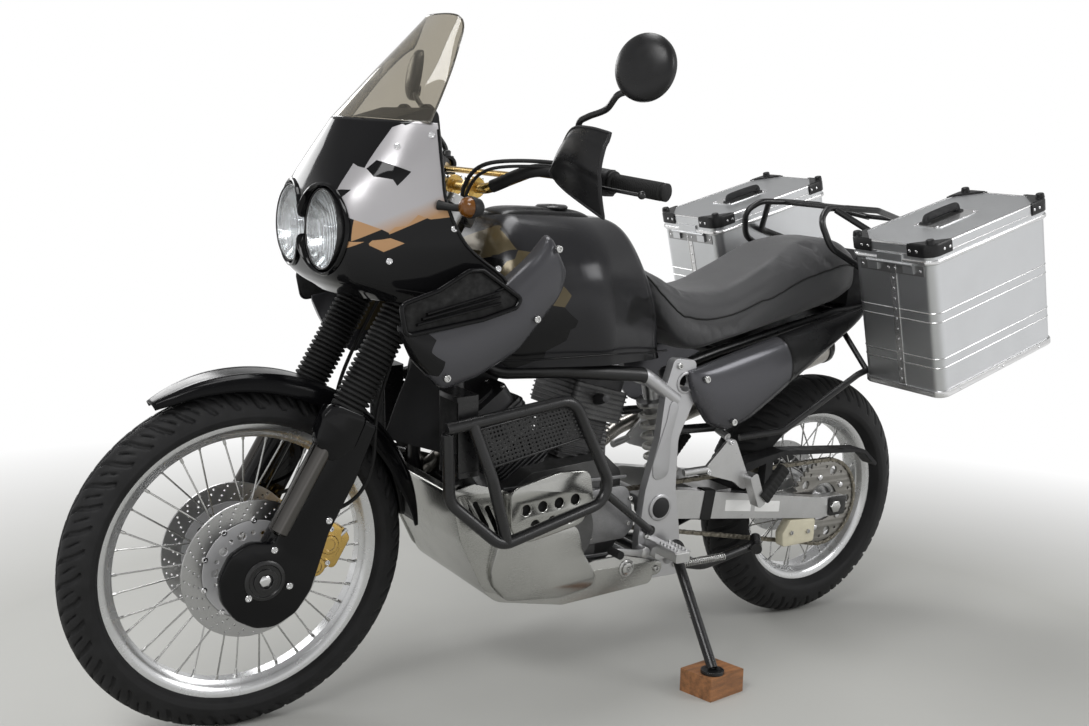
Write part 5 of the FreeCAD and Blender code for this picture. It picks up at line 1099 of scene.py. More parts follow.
def mudguard_shapes():
    """An arched sheet: at each angle round the wheel the half width and the skirt follow smooth curves
    that run out to a point ahead; the section is a flattened arc with rolled edges."""
    t = np.linspace(0, 1, 90)
    angle = np.radians(60.5 + t * 113.5)
    keys = [0, 0.05, 0.16, 0.34, 0.6, 0.85, 1.0]
    half = np.interp(t, keys, [22, 36, 50, 60, 64, 61, 46])
    skirt = np.interp(t, keys, [10, 16, 24, 34, 46, 38, 10])
    radius = np.interp(t, [0, 0.12, 0.5, 1], [377, 381, 383, 381])
    u = np.linspace(-1, 1, 41)
    bend = np.abs(u) ** 2.6
    y = half[:, None] * np.sin(np.abs(u) * math.pi / 2)[None] ** 0.9 * np.sign(u)[None]
    r = radius[:, None] - 4 * (u**2)[None] - skirt[:, None] * (bend**1.6)[None]
    ridge = 2.2 * np.exp(-((np.abs(u) - 0.42) ** 2) / 0.004)
    r = r + ridge[None] * ease(t / 0.2)[:, None]
    cx, _, cz = WHEELS["front"]["centre"]
    pts = np.stack([cx + r * np.cos(angle)[:, None], y, cz + r * np.sin(angle)[:, None]], -1)
    shell = (pts.reshape(-1, 3), grid_faces(len(t), len(u)))
    half_brace = [[0, 105, 352], [6, 80, 356], [4, 50, 352], [0, 0, 350]]
    brace_line = half_brace + [[x, -y, z] for x, y, z in half_brace[2::-1]]
    brace = carried(on_fork(smooth_line(brace_line, 40)), box_section(9, 34, 3), FORWARDS)
    plates = fork_plate([(-48, 300, 10), (30, 290, 10), (34, 350, 8), (-40, 358, 8)], 68, 73, 1.0)
    outline = [(-26, 356, 10), (40, 352, 16), (48, 326, 16), (38, 282, 14), (-6, 262, 14), (-30, 300, 20)]
    shroud = fork_plate(outline, 112, 142, 9.0, 8)
    bolts = both(screws(on_fork([[16, 73, 318], [-24, 73, 322]]), SIDEWAYS, 6, 3))
    return shell, merged([brace, both(plates), both(shroud)]), bolts


class MOTO_OT_wheels(bpy.types.Operator):
    """Makes the tyres, the spoked wheels, the brake discs, the sprocket and the chain"""

    bl_idname = "moto.wheels"
    bl_label = "Wheels and chain"

    def execute(self, context):
        groove = context.scene.moto_sizes.groove
        for end, w in WHEELS.items():
            body = end + "_wheel"
            make(end + "_tread", tyre_shape(w, groove), "tyre_rubber", body, [end + "_tyre"], 50)
            make(end + "_rim", rim_shape(w), "rim_silver", body, [end + "_wheel"])
            make(end + "_hub", hub_shape(w), "cast_aluminium", body)
            make(end + "_spokes", spokes_shape(w), "spoke_steel", body)
        w = WHEELS["front"]
        rotors = merged([rotor_shape(w, s, 138, 100, 28) for s in (66, -66)])
        make("front_rotors", rotors, "disc_steel", "front_wheel", ["front_discs"], 12)
        carriers = merged([carrier_shape(w, s, 98, 34, 10, 9.5, 5.0) for s in (66, -66)])
        make("front_carriers", carriers, "carrier_silver", "front_wheel", smooth=12)
        buttons = merged([wheel_fixings(w, s, 99, 10) for s in (66, -66)])
        make("front_buttons", buttons, "chrome", "front_wheel")
        w = WHEELS["rear"]
        make("rear_rotor", rotor_shape(w, -74, 128, 92, 24), "disc_steel", "rear_wheel",
            ["rear_disc"], 12)
        make("rear_carrier", carrier_shape(w, -74, 91, 41, 6, 8, 5), "black_metal", "rear_wheel",
            smooth=12)
        make("rear_teeth", sprocket_shape(w, CHAIN_SIDE), "sprocket_steel", "rear_wheel",
            ["rear_sprocket"])
        carrier = revolved([(40, 71.4), (90, 71.4), (94, 76), (92, 83), (60, 84), (44, 80), (40, 79)],
            w["centre"], SIDEWAYS, 60)
        make("sprocket_carrier", carrier, "cast_aluminium", "rear_wheel")
        a = turns(5)
        ring = w["centre"] + np.stack([72 * np.cos(a), np.full(5, 89.4), 72 * np.sin(a)], -1)
        make("sprocket_nuts", nuts(ring, SIDEWAYS, 8.5, 4), "chrome", "rear_wheel")
        make("drive_chain", chain_shape(), "chain_steel", "frame", ["chain"], 30)
        return {"FINISHED"}


class MOTO_OT_front_end(bpy.types.Operator):
    """Makes the fork's lower legs, covers, gaiters, calipers and the mudguard"""

    bl_idname = "moto.front_end"
    bl_label = "Fork and mudguard"

    def execute(self, context):
        tubes, legs, covers, bosses, bolts = leg_shapes()
        make("fork_tubes", tubes, "black_chrome", "steering")
        make("fork_lower_legs", legs, "gloss_black", "steering", ["fork_legs"])
        make("fork_covers", covers, "gloss_black", "steering", smooth=40)
        make("axle_clamps", bosses, "black_metal", "steering")
        make("axle_bolts", bolts, "chrome", "steering")
        axle = turned([(0, -118), (9.7, -118), (9.7, 118), (0, 118)], WHEELS["front"]["centre"], SIDEWAYS, 24)
        make("front_axle_bar", axle, "spoke_steel", "steering")
        body, bits = caliper_shapes()
        make("caliper_castings", body, "gold_metal", "steering", ["front_calipers"], 40)
        make("caliper_bolts", bits, "chrome", "steering")
        make("fork_bellows", gaiter_shape(), "black_rubber", "steering", ["fork_gaiters"], 60)
        shell, brace, bolts = mudguard_shapes()
        guard = make("mudguard_shell", shell, "guard_black", "steering", ["front_mudguard"], 60)
        modified(guard, "SOLIDIFY", thickness=SHEET, offset=-1)
        make("mudguard_brace", brace, "gloss_black", "steering")
        make("mudguard_bolts", bolts, "chrome", "steering")
        return {"FINISHED"}

# ---------------------------------------------------------------- fairing, lamps, screen and bars

# height, nose x and half width, shoulder x and half width, rear x and half width
FAIRING_LEVELS = np.array([
    (884, 1392, 70, 1350, 150, 1290, 196), (908, 1424, 110, 1368, 176, 1196, 236),
    (934, 1440, 130, 1374, 186, 1140, 250),
    (1000, 1452, 140, 1380, 192, 1226, 240), (1076, 1446, 130, 1376, 192, 1268, 228),
    (1140, 1428, 90, 1370, 184, 1274, 212),
    (1226, 1390, 46, 1340, 150, 1278, 190),
], float)
FAIRING_GRID = (90, 221)
LAMP_SIDE, LAMP_HIGH, LAMP_HOLE = 78.0, 1013.0, 83.0
DIAL = 42.0  # radius of a clock
GRIP_RIBS = 26


def fairing_grid():
    """Rows up the fairing of smooth outlines: Catmull-Rom through the levels, then round each one."""
    rows, cols = FAIRING_GRID
    level = smooth_line(FAIRING_LEVELS, rows)
    z, nx, nh, sx, sh, rx, rh = level.T
    bulge = 12 + 6 * np.sin(math.pi * (z - 884) / 342)
    ring = np.stack([rx, -rh, sx, -sh, nx, -nh, nx + bulge, 0 * nh, nx, nh, sx, sh, rx, rh], 0).reshape(7, 2,
        rows)
    flat = smooth_line(ring.reshape(7, -1), cols).reshape(cols, 2, rows)
    return np.stack([flat[:, 0], flat[:, 1], np.broadcast_to(z, (cols, rows))], -1).transpose(1, 0, 2)


def on_flank(grid, x, z):
    """The point of the left flank at x and z, and the way out of it."""
    row = int(np.argmin(np.abs(grid[:, 0, 2] - z)))
    half = grid[row, grid.shape[1] // 2:]
    ahead, y, behind = np.interp([-x + 8, -x, -x - 8], -half[:, 0], half[:, 1])
    return np.array([x, y, z]), unit([(ahead - behind) / 16, 1.0, 0.1])


def lamp_outline(radius):
    """The outline of two overlapping circles: one loop of (y, z) with a notch above and below."""
    notch = math.acos(-LAMP_SIDE / radius)
    a = np.linspace(notch, -notch, 60)
    right = np.stack([LAMP_SIDE + radius * np.cos(a), LAMP_HIGH + radius * np.sin(a)], -1)
    return np.concatenate([right, right[::-1] * [-1, 1]])


def front_x(grid, flat):
    """The fairing's x over points (y, z) of its nose."""
    rows = np.searchsorted(grid[:, 0, 2], flat[:, 1]).clip(0, len(grid) - 1)
    middle = grid.shape[1]
    front = slice(middle // 4, 3 * middle // 4 + 1)
    return np.array([np.interp(y, grid[r, front, 1], grid[r, front, 0]) for y, r in zip(flat[:, 0], rows)])


def fairing_shapes():
    """The shell with its lamp opening, the rolled lip and sleeve of the opening, a near-black plate behind the
    lamps as painted shade, and the rear edge roll.
    """
    grid = fairing_grid()
    rows, cols = grid.shape[:2]
    faces = grid_faces(rows, cols)
    centre = grid.reshape(-1, 3)[faces].mean(1)
    away = np.hypot(np.abs(centre[:, 1]) - LAMP_SIDE, centre[:, 2] - LAMP_HIGH)
    nose_from = 1380  # the lamp opening is cut only ahead of this x
    shell = (grid.reshape(-1, 3), faces[~((away < LAMP_HOLE) & (centre[:, 0] > nose_from))])
    loop = lamp_outline(LAMP_HOLE)
    x = front_x(grid, loop)
    x = (x + np.roll(x, 1) + np.roll(x, -1)) / 3
    rings = []
    for out, lift in ((6.0, -1.5), (4.5, 3.2), (1.0, 5.2), (-2.5, 3.0), (-3.4, -4.0), (-4.0, -52.0)):
        wide = lamp_outline(LAMP_HOLE + out)
        rings.append(np.stack([x + lift, wide[:, 0], wide[:, 1]], -1))
    lip = (np.concatenate(rings), grid_faces(len(rings), len(loop), False, True))
    # painted shade: a near-black plate fills the opening behind the lamp bowls
    back_x, count = 1398.0, len(loop)
    back = np.stack([np.full(count, back_x), loop[:, 0] * 1.02, loop[:, 1]], -1)
    fan = [[i, (i + 1) % count, count] for i in range(count)]
    plate = (np.concatenate([back, [[back_x, 0, LAMP_HIGH]]]), fan)
    edge = [carried(grid[::3, column], circle(3.6, 8), UPWARDS) for column in (0, cols - 1)]
    return grid, shell, lip, plate, merged(edge)


def lamp_shapes():
    """Reflector bowls r = 74 d^.5 at 56 d, their bulb caps, the domed fluted glasses and their rims."""
    bowls, caps, glasses, rims = [], [], [], []
    d = np.linspace(0, 1, 20)
    for side in (LAMP_SIDE, -LAMP_SIDE):
        centre = (1396.0, side, LAMP_HIGH)
        bowl = np.stack([74 * np.sqrt(d), 2 + 56 * d], -1)
        bowls.append(turned(np.concatenate([bowl, bowl[::-1] - [0, 2]]), centre, FORWARDS, 64))
        cap = [(0, 4), (9, 4), (11, 10), (11, 30), (15, 34), (14, 42), (8, 46), (0, 47)]
        caps.append(turned(cap, centre, FORWARDS, 28))
        r = np.linspace(0, 75.4, 24)
        dome = np.stack([r, 66 - 9 * (r / 76) ** 2], -1)
        glasses.append(turned(np.concatenate([dome, dome[::-1] - [0, 2.6]]), centre, FORWARDS, 72))
        rims.append(revolved([(75.5, 40), (77.4, 40), (77.4, 59), (76.4, 60), (75.4, 58)], centre, FORWARDS,
            72))
    return merged(bowls), merged(caps), merged(glasses), merged(rims)


def screen_shape():
    """A bowed sheet: the half width narrows up the screen, x falls back by depth |y / half|^2.2, and the
    top corners fall away by fall(s, t) = 62 t^3 |s|^4.5."""
    s = np.linspace(-1, 1, 61)
    t = np.linspace(0, 1, 60)
    half = smooth_line([[186], [168], [146], [120], [96]], len(t))[:, 0]
    front = np.interp(t, [0, 0.48, 1], [1391, 1298, 1195])
    depth = np.interp(t, [0, 0.48, 1], [98, 66, 30])
    y = half[:, None] * np.sin(s * math.pi / 2 * 0.92)[None] / math.sin(math.pi / 2 * 0.92)
    fall = 62 * (t[:, None] ** 3) * np.abs(s[None]) ** 4.5
    x = front[:, None] - depth[:, None] * (np.abs(y) / half[:, None]) ** 2.2 + 0.42 * fall
    pts = np.stack([x, y, 1224 + 219 * t[:, None] - fall], -1)
    rim = np.concatenate([pts[:, 0], pts[-1, 1:-1], pts[::-1, -1]])
    return (pts.reshape(-1, 3), grid_faces(len(t), len(s))), rim[::2]


def dial_shapes():
    """Two round clocks on the rider's face of the panel, with ticks and a needle each, and warning lamps."""
    way = unit([-86.0, 0, 10])
    up = np.array([0.115, 0, 0.993])
    middle = np.array([1226.0, 0, 1219.0])
    rims, dials, marks = [], [], []

    def heading(degrees):
        a = math.radians(degrees)
        return math.cos(a) * up - math.sin(a) * SIDEWAYS

    for y in (50.0, -50.0):
        centre = middle + y * SIDEWAYS
        rim = [(DIAL, -2), (DIAL + 3, -2), (DIAL + 3, 5), (DIAL, 6.5), (DIAL - 3, 2)]
        rims.append(revolved(rim, centre, way, 48))
        dials.append(turned([(0, 1.4), (DIAL - 1, 1.4), (DIAL - 1, 0.2), (0, 0.2)], centre, way, 40))
        for index, turn in enumerate(np.linspace(-130, 130, 27)):
            reach = 9.0 if index % 3 == 0 else 5.0
            line = centre + way * 1.7 + np.outer([DIAL - 5 - reach, DIAL - 5], heading(turn))
            marks.append(carried(line, box_section(1.3, 0.8, 0.2, 1), way))
        needle = centre + way * 2.6 + np.outer([-8, DIAL - 10], heading(-126))
        marks.append(carried(needle, circle(1.2, 6)))
    for height in (-16.0, 0.0, 16.0):
        marks.append(turned([(0, 0), (3.4, 0), (3.4, 2.2), (0, 3)], middle + way * 0.4 + up * height, way, 14))
    return merged(rims), merged(dials), merged(marks)


def indicator_shapes():
    """Four lamps: a rounded lens with a shallow dome, its black shell and a rubber stalk."""
    lenses, shells, stalks = [], [], []
    body = [(0, -22), (12, -22), (20, -16), (25, -2), (25.5, 4), (22, 5), (0, 5)]
    lens = [(0, 4), (23.5, 4), (23.5, 8), (21, 15), (14, 20), (0, 22)]
    waist = 1.15 - 0.35 * np.sin(np.linspace(0, math.pi, 14))
    for centre, root, way in (((1245, 277, 1077), (1286, 225, 1076), 1.0),
        ((-263, 146, 830), (-262, 70, 846), -1.0)):
        for side in (1, -1):
            centre, root = (np.array(p) * [1, side, 1] for p in (centre, root))
            for profile, store in ((body, shells), (lens, lenses)):
                pts, faces = turned(profile, centre, way * FORWARDS, 32)
                store.append(((pts - centre) * [1.0, 1.0, 0.82] + centre, faces))
            stalks.append(bent([root, (root + centre) / 2 - 3 * UPWARDS, centre], 14, circle(8.5, 12),
                taper=waist))
    return merged(lenses), merged(shells), merged(stalks)


def mirror_shapes():
    """Dished round heads with a rolled rim, the glass set in behind, and bent stalks."""
    heads, glasses, stalks = [], [], []
    for side in (1, -1):
        centre = np.array([1000.0, 450.0 * side, 1350.0])
        way = unit([20.0, 7.5 * side, 2.0])
        dome = [(61.5 * math.sin(a) ** 0.85, 6 + 20 * math.cos(a)) for a in np.linspace(0, math.pi / 2, 14)]
        heads.append(turned([*dome, (62, 0), (61, -5), (58.5, -6), (58.5, -2), (0, -2)], centre, way, 64))
        glasses.append(turned([(0, -3.6), (58, -3.2), (58, -1.8), (0, -1.8)], centre, way, 56))
        foot = bar_place(168, 4, 24) * [1, side, 1]
        bends = [(1022, 292, 1215), (1036, 304, 1246), (1032, 326, 1259), (1023, 370, 1274), (1024, 404, 1300)]
        points = [foot, foot + [6, 0, 18], *(np.array(bends) * [1, side, 1]), centre + [8, -26 * side, -42]]
        stalks.append(bent(points, 60, circle(6.2, 12), FORWARDS))
        knuckle = centre + way * 8 + [0, -24 * side, -38]
        stalks.append(turned([(0, -8), (12, -8), (13, 0), (10, 10), (0, 12)], knuckle, way, 24))
        stalks.append(turned([(0, -10), (11, -10), (11, 6), (8, 9), (0, 9)], foot, UPWARDS, 6))
    return merged(heads), merged(glasses), merged(stalks)


BAR_CENTRE = STEER_FOOT + 16 * AHEAD + 1244 * ALONG
BAR_END, BAR_IN = BAR_CENTRE + [-176, 452, 24], BAR_CENTRE + [-120, 290, 38]
BAR_WAY = unit(BAR_IN - BAR_END)


def bar_place(back, ahead, up):
    """A point beside the left bar: back from its end along it, ahead of it and above it."""
    return BAR_END + BAR_WAY * back + [ahead, 0, up]


def bar_shapes():
    """Ribbed grips, switch housings, levers with ball ends, bar ends, and the bar's black sleeve."""
    t = np.linspace(0, 1, GRIP_RIBS * 6 + 1)
    ribs = 16.4 + 1.4 * np.abs(np.sin(math.pi * t * GRIP_RIBS)) ** 0.6
    profile = [
        (0, -7), (13, -7), (17.5, -4), (17.5, 2), (15.5, 4), *zip(ribs, 6 + 106 * t),
        (18, 113), (22, 115), (23, 119), (22, 122), (12, 122),
    ]
    grip = turned(profile, BAR_END, BAR_WAY, 40)
    box = revolved([(12, 124), (20, 124), (23, 127), (24, 134), (24, 156), (22, 163), (12, 164)], BAR_END,
        BAR_WAY, 32)
    pod = rod([bar_place(126, 0, -8), bar_place(162, 0, -8)], box_section(44, 40, 9), UPWARDS)
    pin = rod([bar_place(150, 16, 18), bar_place(136, -20, 18)], circle(5, 10))
    line = [bar_place(*place) for place in ((152, 14, -4), (140, 40, -6), (90, 52, -8), (6, 50, -8))]
    lever = bent(line, 40, box_section(13, 8, 3), UPWARDS, np.linspace(1.15, 0.75, 40))
    half_round = [(8.0 * math.sin(a), -8.0 * math.cos(a)) for a in np.linspace(0, math.pi, 13)]
    ball = turned(half_round, bar_place(4, 50, -8), BAR_WAY, 20)
    perch = revolved([(12, 166), (19, 166), (20, 170), (20, 184), (18, 188), (12, 188)], BAR_END, BAR_WAY, 28)
    sleeve = bent(BAR_CENTRE + [[-6, 110, 6], [-48, 196, 44], [-96, 262, 41]], 24, circle(13.2, 16), UPWARDS)
    route = BAR_CENTRE + [[30, 150, 52], [44, 84, 4], [30, 60, -64]]
    cable = smooth_line([bar_place(176, 14, 6), bar_place(230, 34, 20), *route], 40)
    tubes = [carried(cable + shift, circle(r, 10), UPWARDS) for shift,
        r in (([0, 0, 0], 4.2), ([-6, 4, -10], 3.4))]
    clamp = [(12, -13), (21, -13), (22, -11), (22, 11), (21, 13), (12, 13)]
    block = revolved(clamp, BAR_CENTRE + [0, 45, 0], SIDEWAYS, 32)
    bolts = screws(BAR_CENTRE + [[14, 38, 15], [14, 52, 15], [-14, 38, 15], [-14, 52, 15]], UPWARDS, 4.4, 5)
    shapes = (grip, merged([box, pod, perch, pin]), merged([lever, ball]), sleeve, merged(tubes), block, bolts)
    return [both(shape) for shape in shapes]


def guard_shapes():
    """Hand guards: a bowed shield from sections across the bar, with a rolled rim all round."""
    # side, lower edge, upper edge and x
    stations = [
        (260, 1134, 1164, 1056), (276, 1126, 1208, 1056), (302, 1114, 1236, 1054), (352, 1096, 1238, 1052),
        (404, 1074, 1230, 1042),
    ]
    rows = smooth_line(stations, 40)
    u = np.linspace(0, 1, 31)
    y, low, high, x = (rows[:, i:i + 1] for i in range(4))
    z = low + (high - low) * u
    bow = 15 * np.sin(math.pi * u)[None] * np.ones_like(y)
    step = 3.0 * ease((u - 0.44) / 0.06)[None] * ease((0.9 - u) / 0.06)[None]
    pts = np.stack([x - 8 + bow + step, y + 0 * z, z], -1)
    rim = np.concatenate([pts[:, 0], pts[-1, 1:-1], pts[::-1, -1], pts[0, -2:0:-1]])
    line = [bar_place(144, 20, 14), bar_place(144, 38, 30), bar_place(144, 49, 31), (1050, 330, 1180)]
    arm = bent(line, 24, box_section(18, 8, 3), SIDEWAYS)
    shield = (pts.reshape(-1, 3), grid_faces(len(rows), len(u)))
    return both(shield), both(merged([rolled(rim, 3.4, 8, FORWARDS), arm]))


class MOTO_OT_fairing(bpy.types.Operator):
    """Makes the fairing, the headlights, the screen, the clocks and the indicators"""

    bl_idname = "moto.fairing"
    bl_label = "Fairing and lamps"

    def execute(self, context):
        grid, shell, lip, plate, edge = fairing_shapes()
        skin = make("fairing_shell", shell, "fairing_black", "frame", ["fairing"], 50)
        modified(skin, "SOLIDIFY", thickness=SHEET, offset=-1)
        make("lamp_surround", lip, "gloss_black", "frame", smooth=50)
        make("lamp_back_painted_shade", plate, "dark_hole", "frame")
        make("fairing_edge", edge, "gloss_black", "frame", smooth=60)
        bowls, caps, glasses, rims = lamp_shapes()
        make("lamp_bowls", bowls, "lamp_mirror", "frame", ["headlights"], 60)
        make("lamp_caps", caps, "chrome", "frame", smooth=50)
        make("lamp_glasses", glasses, "fluted_glass", "frame", smooth=60)
        make("lamp_rims", rims, "black_metal", "frame")
        spots = [on_flank(grid, x, z) for x,
            z in ((1254, 1033), (1366, 966), (1160, 960), (1352, 1177), (1290, 1203), (1210, 935))]
        heads = both(merged([screws([place + way * 0.5], way, 6.4, 2.6) for place, way in spots]))
        make("fairing_screws", heads, "chrome", "frame")
        sheet, rim = screen_shape()
        screen = make("screen_sheet", sheet, "smoked_screen", "frame", ["windscreen"], 60)
        modified(screen, "SOLIDIFY", thickness=SHEET, offset=0)
        make("screen_edge", carried(rim, circle(2.2, 8), (1.0, 0, 0.3)), "screen_rim", "frame",
            smooth=60)
        rims, dials, marks = dial_shapes()
        make("clock_rims", rims, "black_plastic", "frame")
        make("clock_faces", dials, "dial_face", "frame")
        make("clock_marks", marks, "cream_plastic", "frame")
        lenses, shells, stalks = indicator_shapes()
        make("indicator_lenses", lenses, "amber_lens", "frame", ["lamps"], 50)
        make("indicator_shells", shells, "black_plastic", "frame", smooth=50)
        make("indicator_stalks", stalks, "black_rubber", "frame", smooth=60)
        return {"FINISHED"}


class MOTO_OT_bars(bpy.types.Operator):
    """Makes the grips, switches, levers, hand guards and mirrors"""

    bl_idname = "moto.bars"
    bl_label = "Bars and mirrors"

    def execute(self, context):
        grips, boxes, levers, sleeves, tubes, blocks, bolts = bar_shapes()
        make("grips", grips, "black_rubber", "steering", ["hand_controls"], 50)
        make("switch_boxes", boxes, "black_plastic", "steering")
        make("levers", levers, "black_metal", "steering", smooth=50)
        make("bar_sleeves", sleeves, "black_rubber", "steering", smooth=60)
        make("bar_cables", tubes, "black_rubber", "steering", smooth=60)
        make("bar_blocks", blocks, "gold_metal", "steering")
        make("bar_bolts", bolts, "chrome", "steering")
        shield, roll = guard_shapes()
        guard = make("guard_shields", shield, "satin_plastic", "steering", ["hand_guards"], 60)
        modified(guard, "SOLIDIFY", thickness=SHEET, offset=0)
        make("guard_rims", roll, "black_plastic", "steering", smooth=60)
        heads, glasses, stalks = mirror_shapes()
        make("mirror_heads", heads, "satin_plastic", "steering", ["mirrors"], 50)
        make("mirror_glasses", glasses, "mirror_glass", "steering")
        make("mirror_stalks", stalks, "black_metal", "steering", smooth=50)
        return {"FINISHED"}

# ---------------------------------------------------------------- tank, panels and seat


def bulged(xs, low, high, inner, rise, cols=72, rows=30):
    """A domed side panel between two edge lines over x, with a flat back: the side is
    inner + rise ((1 - u^6) (1 - v^6))^.5 (1 - v^2 / 4)."""
    x = np.linspace(xs[0], xs[1], cols)
    lo, hi = np.interp(x, *np.array(low, float).T), np.interp(x, *np.array(high, float).T)
    for _ in range(3):  # rounds the corners of the edge lines
        lo[1:-1] = (lo[:-2] + 2 * lo[1:-1] + lo[2:]) / 4
        hi[1:-1] = (hi[:-2] + 2 * hi[1:-1] + hi[2:]) / 4
    v = np.linspace(-1, 1, rows)
    u = np.linspace(-1, 1, cols)
    z = (lo + hi)[:, None] / 2 + (hi - lo)[:, None] / 2 * v[None]
    dome = np.sqrt(np.clip((1 - u[:, None] ** 6) * (1 - v[None] ** 6), 0,
        1)) * (0.75 + 0.25 * (1 - v[None] ** 2))
    front = np.stack([x[:, None] + 0 * z, inner + rise * dome, z], -1)
    back = front.copy()
    back[..., 1] = inner - 3.0
    n = cols * rows
    faces = grid_faces(cols, rows)
    rim = np.concatenate([
        np.arange(rows), np.arange(2, cols + 1) * rows - 1, np.arange(n - 2, n - rows - 1, -1),
        np.arange(cols - 2, 0, -1) * rows,
    ])
    ahead = np.roll(rim, -1)
    walls = np.stack([rim, ahead, ahead + n, rim + n], -1)
    points = np.concatenate([front.reshape(-1, 3), back.reshape(-1, 3)])
    return both((points, np.concatenate([faces, faces[:, ::-1] + n, walls])))


def duct_shapes():
    """The air scoop between fairing and side panel: a rolled frame, a near-black back plate as painted shade in
    the recess, and slanted slats.
    """
    loop = [
        (1366, 892, 14), (1290, 918, 40), (1226, 956, 20), (1196, 958, 12), (1104, 902, 16), (1116, 884, 12),
        (1190, 862, 30), (1352, 834, 14),
    ]
    flat = rounded(loop, 8)
    line = np.column_stack([flat[:, 0], np.full(len(flat), 251.0), flat[:, 1]])
    # painted shade: a near-black plate at the back of the scoop's recess
    back = side_plate(loop, 244.5, 248.0, bevel=0.5)
    slats = []
    for share in (0.3, 0.56, 0.8):
        a = np.array([1344 - 40 * share, 252, 842 + 40 * share])
        b = np.array([1150 + 10 * share, 252, 880 + 44 * share])
        slats.append(rod([a, (a + b) / 2, b], box_section(5, 14, 2), (0, 1.0, 0.35)))
    return both(rolled(line, 5.0, 10, SIDEWAYS)), both(back), both(merged(slats))


def cap_shapes():
    """The tank's hump, 21 ((1 - u^4) (1 - v^4))^.5 high with a shallow groove along each side, and the
    filler lid."""
    u, v = np.meshgrid(np.linspace(-1, 1, 60), np.linspace(-1, 1, 40), indexing="ij")
    height = 21 * np.sqrt(np.clip((1 - u**4) * (1 - v**4), 0, 1))
    groove = 4.0 * np.exp(-(((np.abs(v) - 0.62) / 0.1) ** 2)) * ease((0.75 - np.abs(u)) / 0.2)
    x = 922 + 124 * u - 10 * v**2 * u
    y = (58 - 2.4 * (u + 1)) * v
    z = 1049 + height - groove - 3 * v**2
    shape = np.stack([x, y, z], -1)
    lid = turned([(0, 0), (34, 0), (36, 3), (36, 6), (32, 9), (12, 10), (11, 7), (0, 7)], (880, 0, 1066),
        (0.05, 0, 1), 40)
    return (shape.reshape(-1, 3), grid_faces(60, 40)), lid


def tank_seams():
    """The seam along the tank's foot, as a thin rolled edge on each side."""
    line = [[1100, 151, 760], [1000, 176, 764], [820, 182, 770], [700, 158, 766], [616, 122, 762]]
    return both(bent(line, 60, circle(2.4, 8), SIDEWAYS))


# x, underside, crown and half width
SEAT_STATIONS = [
    (-22, 872, 1016, 96), (60, 858, 1030, 124), (200, 826, 1004, 142), (320, 800, 946, 150),
    (440, 772, 896, 150), (540, 750, 892, 128),
    (612, 820, 930, 96), (652, 920, 968, 62),
]
SEAT_ROWS, SEAT_ROUND = 80, 64
SEAT_CAP = 9.0  # how far the swelling may move a point, in mm
VOXEL = 0.006
SWELL_FRAMES = 20


def seat_form(shrink):
    """Rounded sections along the seat: half |cos|^.42 wide, |sin|^.62 tall above and |sin|^.35 below, so
    that the underside is flat, with both ends drawn in."""
    x, low, high, half = smooth_line(SEAT_STATIONS, SEAT_ROWS).T
    a = np.linspace(0, 2 * math.pi, SEAT_ROUND + 1)[:-1]
    c, s = np.cos(a), np.sin(a)
    out = np.sign(c) * np.abs(c) ** 0.42
    up = np.where(s > 0, np.abs(s) ** 0.62, -np.abs(s) ** 0.35)
    ends = np.minimum(np.linspace(0.62, 3.2, SEAT_ROWS), np.linspace(3.2, 0.5, SEAT_ROWS))
    ends = np.minimum(1, ends) ** 0.5
    middle = (low + high) / 2
    tall = (high - low) / 2 - shrink
    y = (half - shrink)[:, None] * out[None] * (1 - 0.06 * np.clip(up, 0, 1))[None] * (0.75 + 0.25 * ends)[:,
        None]
    z = middle[:, None] + tall[:, None] * up[None] * ends[:, None]
    pts = np.stack([np.broadcast_to(x[:, None], y.shape), y, z], -1)
    faces = [list(f) for f in grid_faces(SEAT_ROWS, SEAT_ROUND, False, True)]
    faces += [list(range(SEAT_ROUND))[::-1], [(SEAT_ROWS - 1) * SEAT_ROUND + i for i in range(SEAT_ROUND)]]
    return pts.reshape(-1, 3), faces


def puffed(piece, cap):
    """Swells a cushion: voxel remesh, then cloth under pressure that is pinned along its underside,
    each move held under a cap."""
    scene = bpy.context.scene
    modified(piece, "REMESH", mode="VOXEL", voxel_size=VOXEL)
    fresh = bpy.data.meshes.new_from_object(evaluated(piece))
    piece.modifiers.clear()
    piece.data = fresh
    rest = numbers_of(fresh.vertices, "co")
    down = np.nonzero(numbers_of(fresh.vertices, "normal")[:, 2] < -0.6)[0]
    piece.vertex_groups.new(name="base").add(down.tolist(), 1.0, "REPLACE")
    cloth = piece.modifiers.new("Swell", "CLOTH")
    s = cloth.settings
    s.quality, s.mass = 4, 0.3
    s.tension_stiffness = s.compression_stiffness = 18
    s.use_pressure, s.uniform_pressure_force = True, 4.0
    s.effector_weights.gravity = 0
    s.vertex_group_mass = "base"
    cloth.point_cache.frame_start, cloth.point_cache.frame_end = 1, SWELL_FRAMES
    for step in range(1, SWELL_FRAMES + 1):
        scene.frame_set(step)
    move = numbers_of(evaluated(piece).data.vertices, "co") - rest
    size = np.linalg.norm(move, axis=1, keepdims=True)
    move *= np.minimum(1, cap / MM / np.maximum(size, 1e-9))
    piece.modifiers.clear()
    scene.frame_set(1)
    piece.vertex_groups.clear()
    fresh.vertices.foreach_set("co", (rest + move).ravel())
    fresh.update()


def flat_slab(flat, low, high):
    """A slab as three rows (across, up, through) and its faces."""
    points, faces = slab(flat, low, high)
    return points.T, faces


def seam_on(piece, points, lift):
    """Moves points to the nearest place on a piece, then out along its normal."""
    out = []
    for point in placed(points):
        _, hit, normal, _ = piece.closest_point_on_mesh(Vector(point))
        out.append(np.array(hit + normal * (lift / MM)))
    return np.array(out)


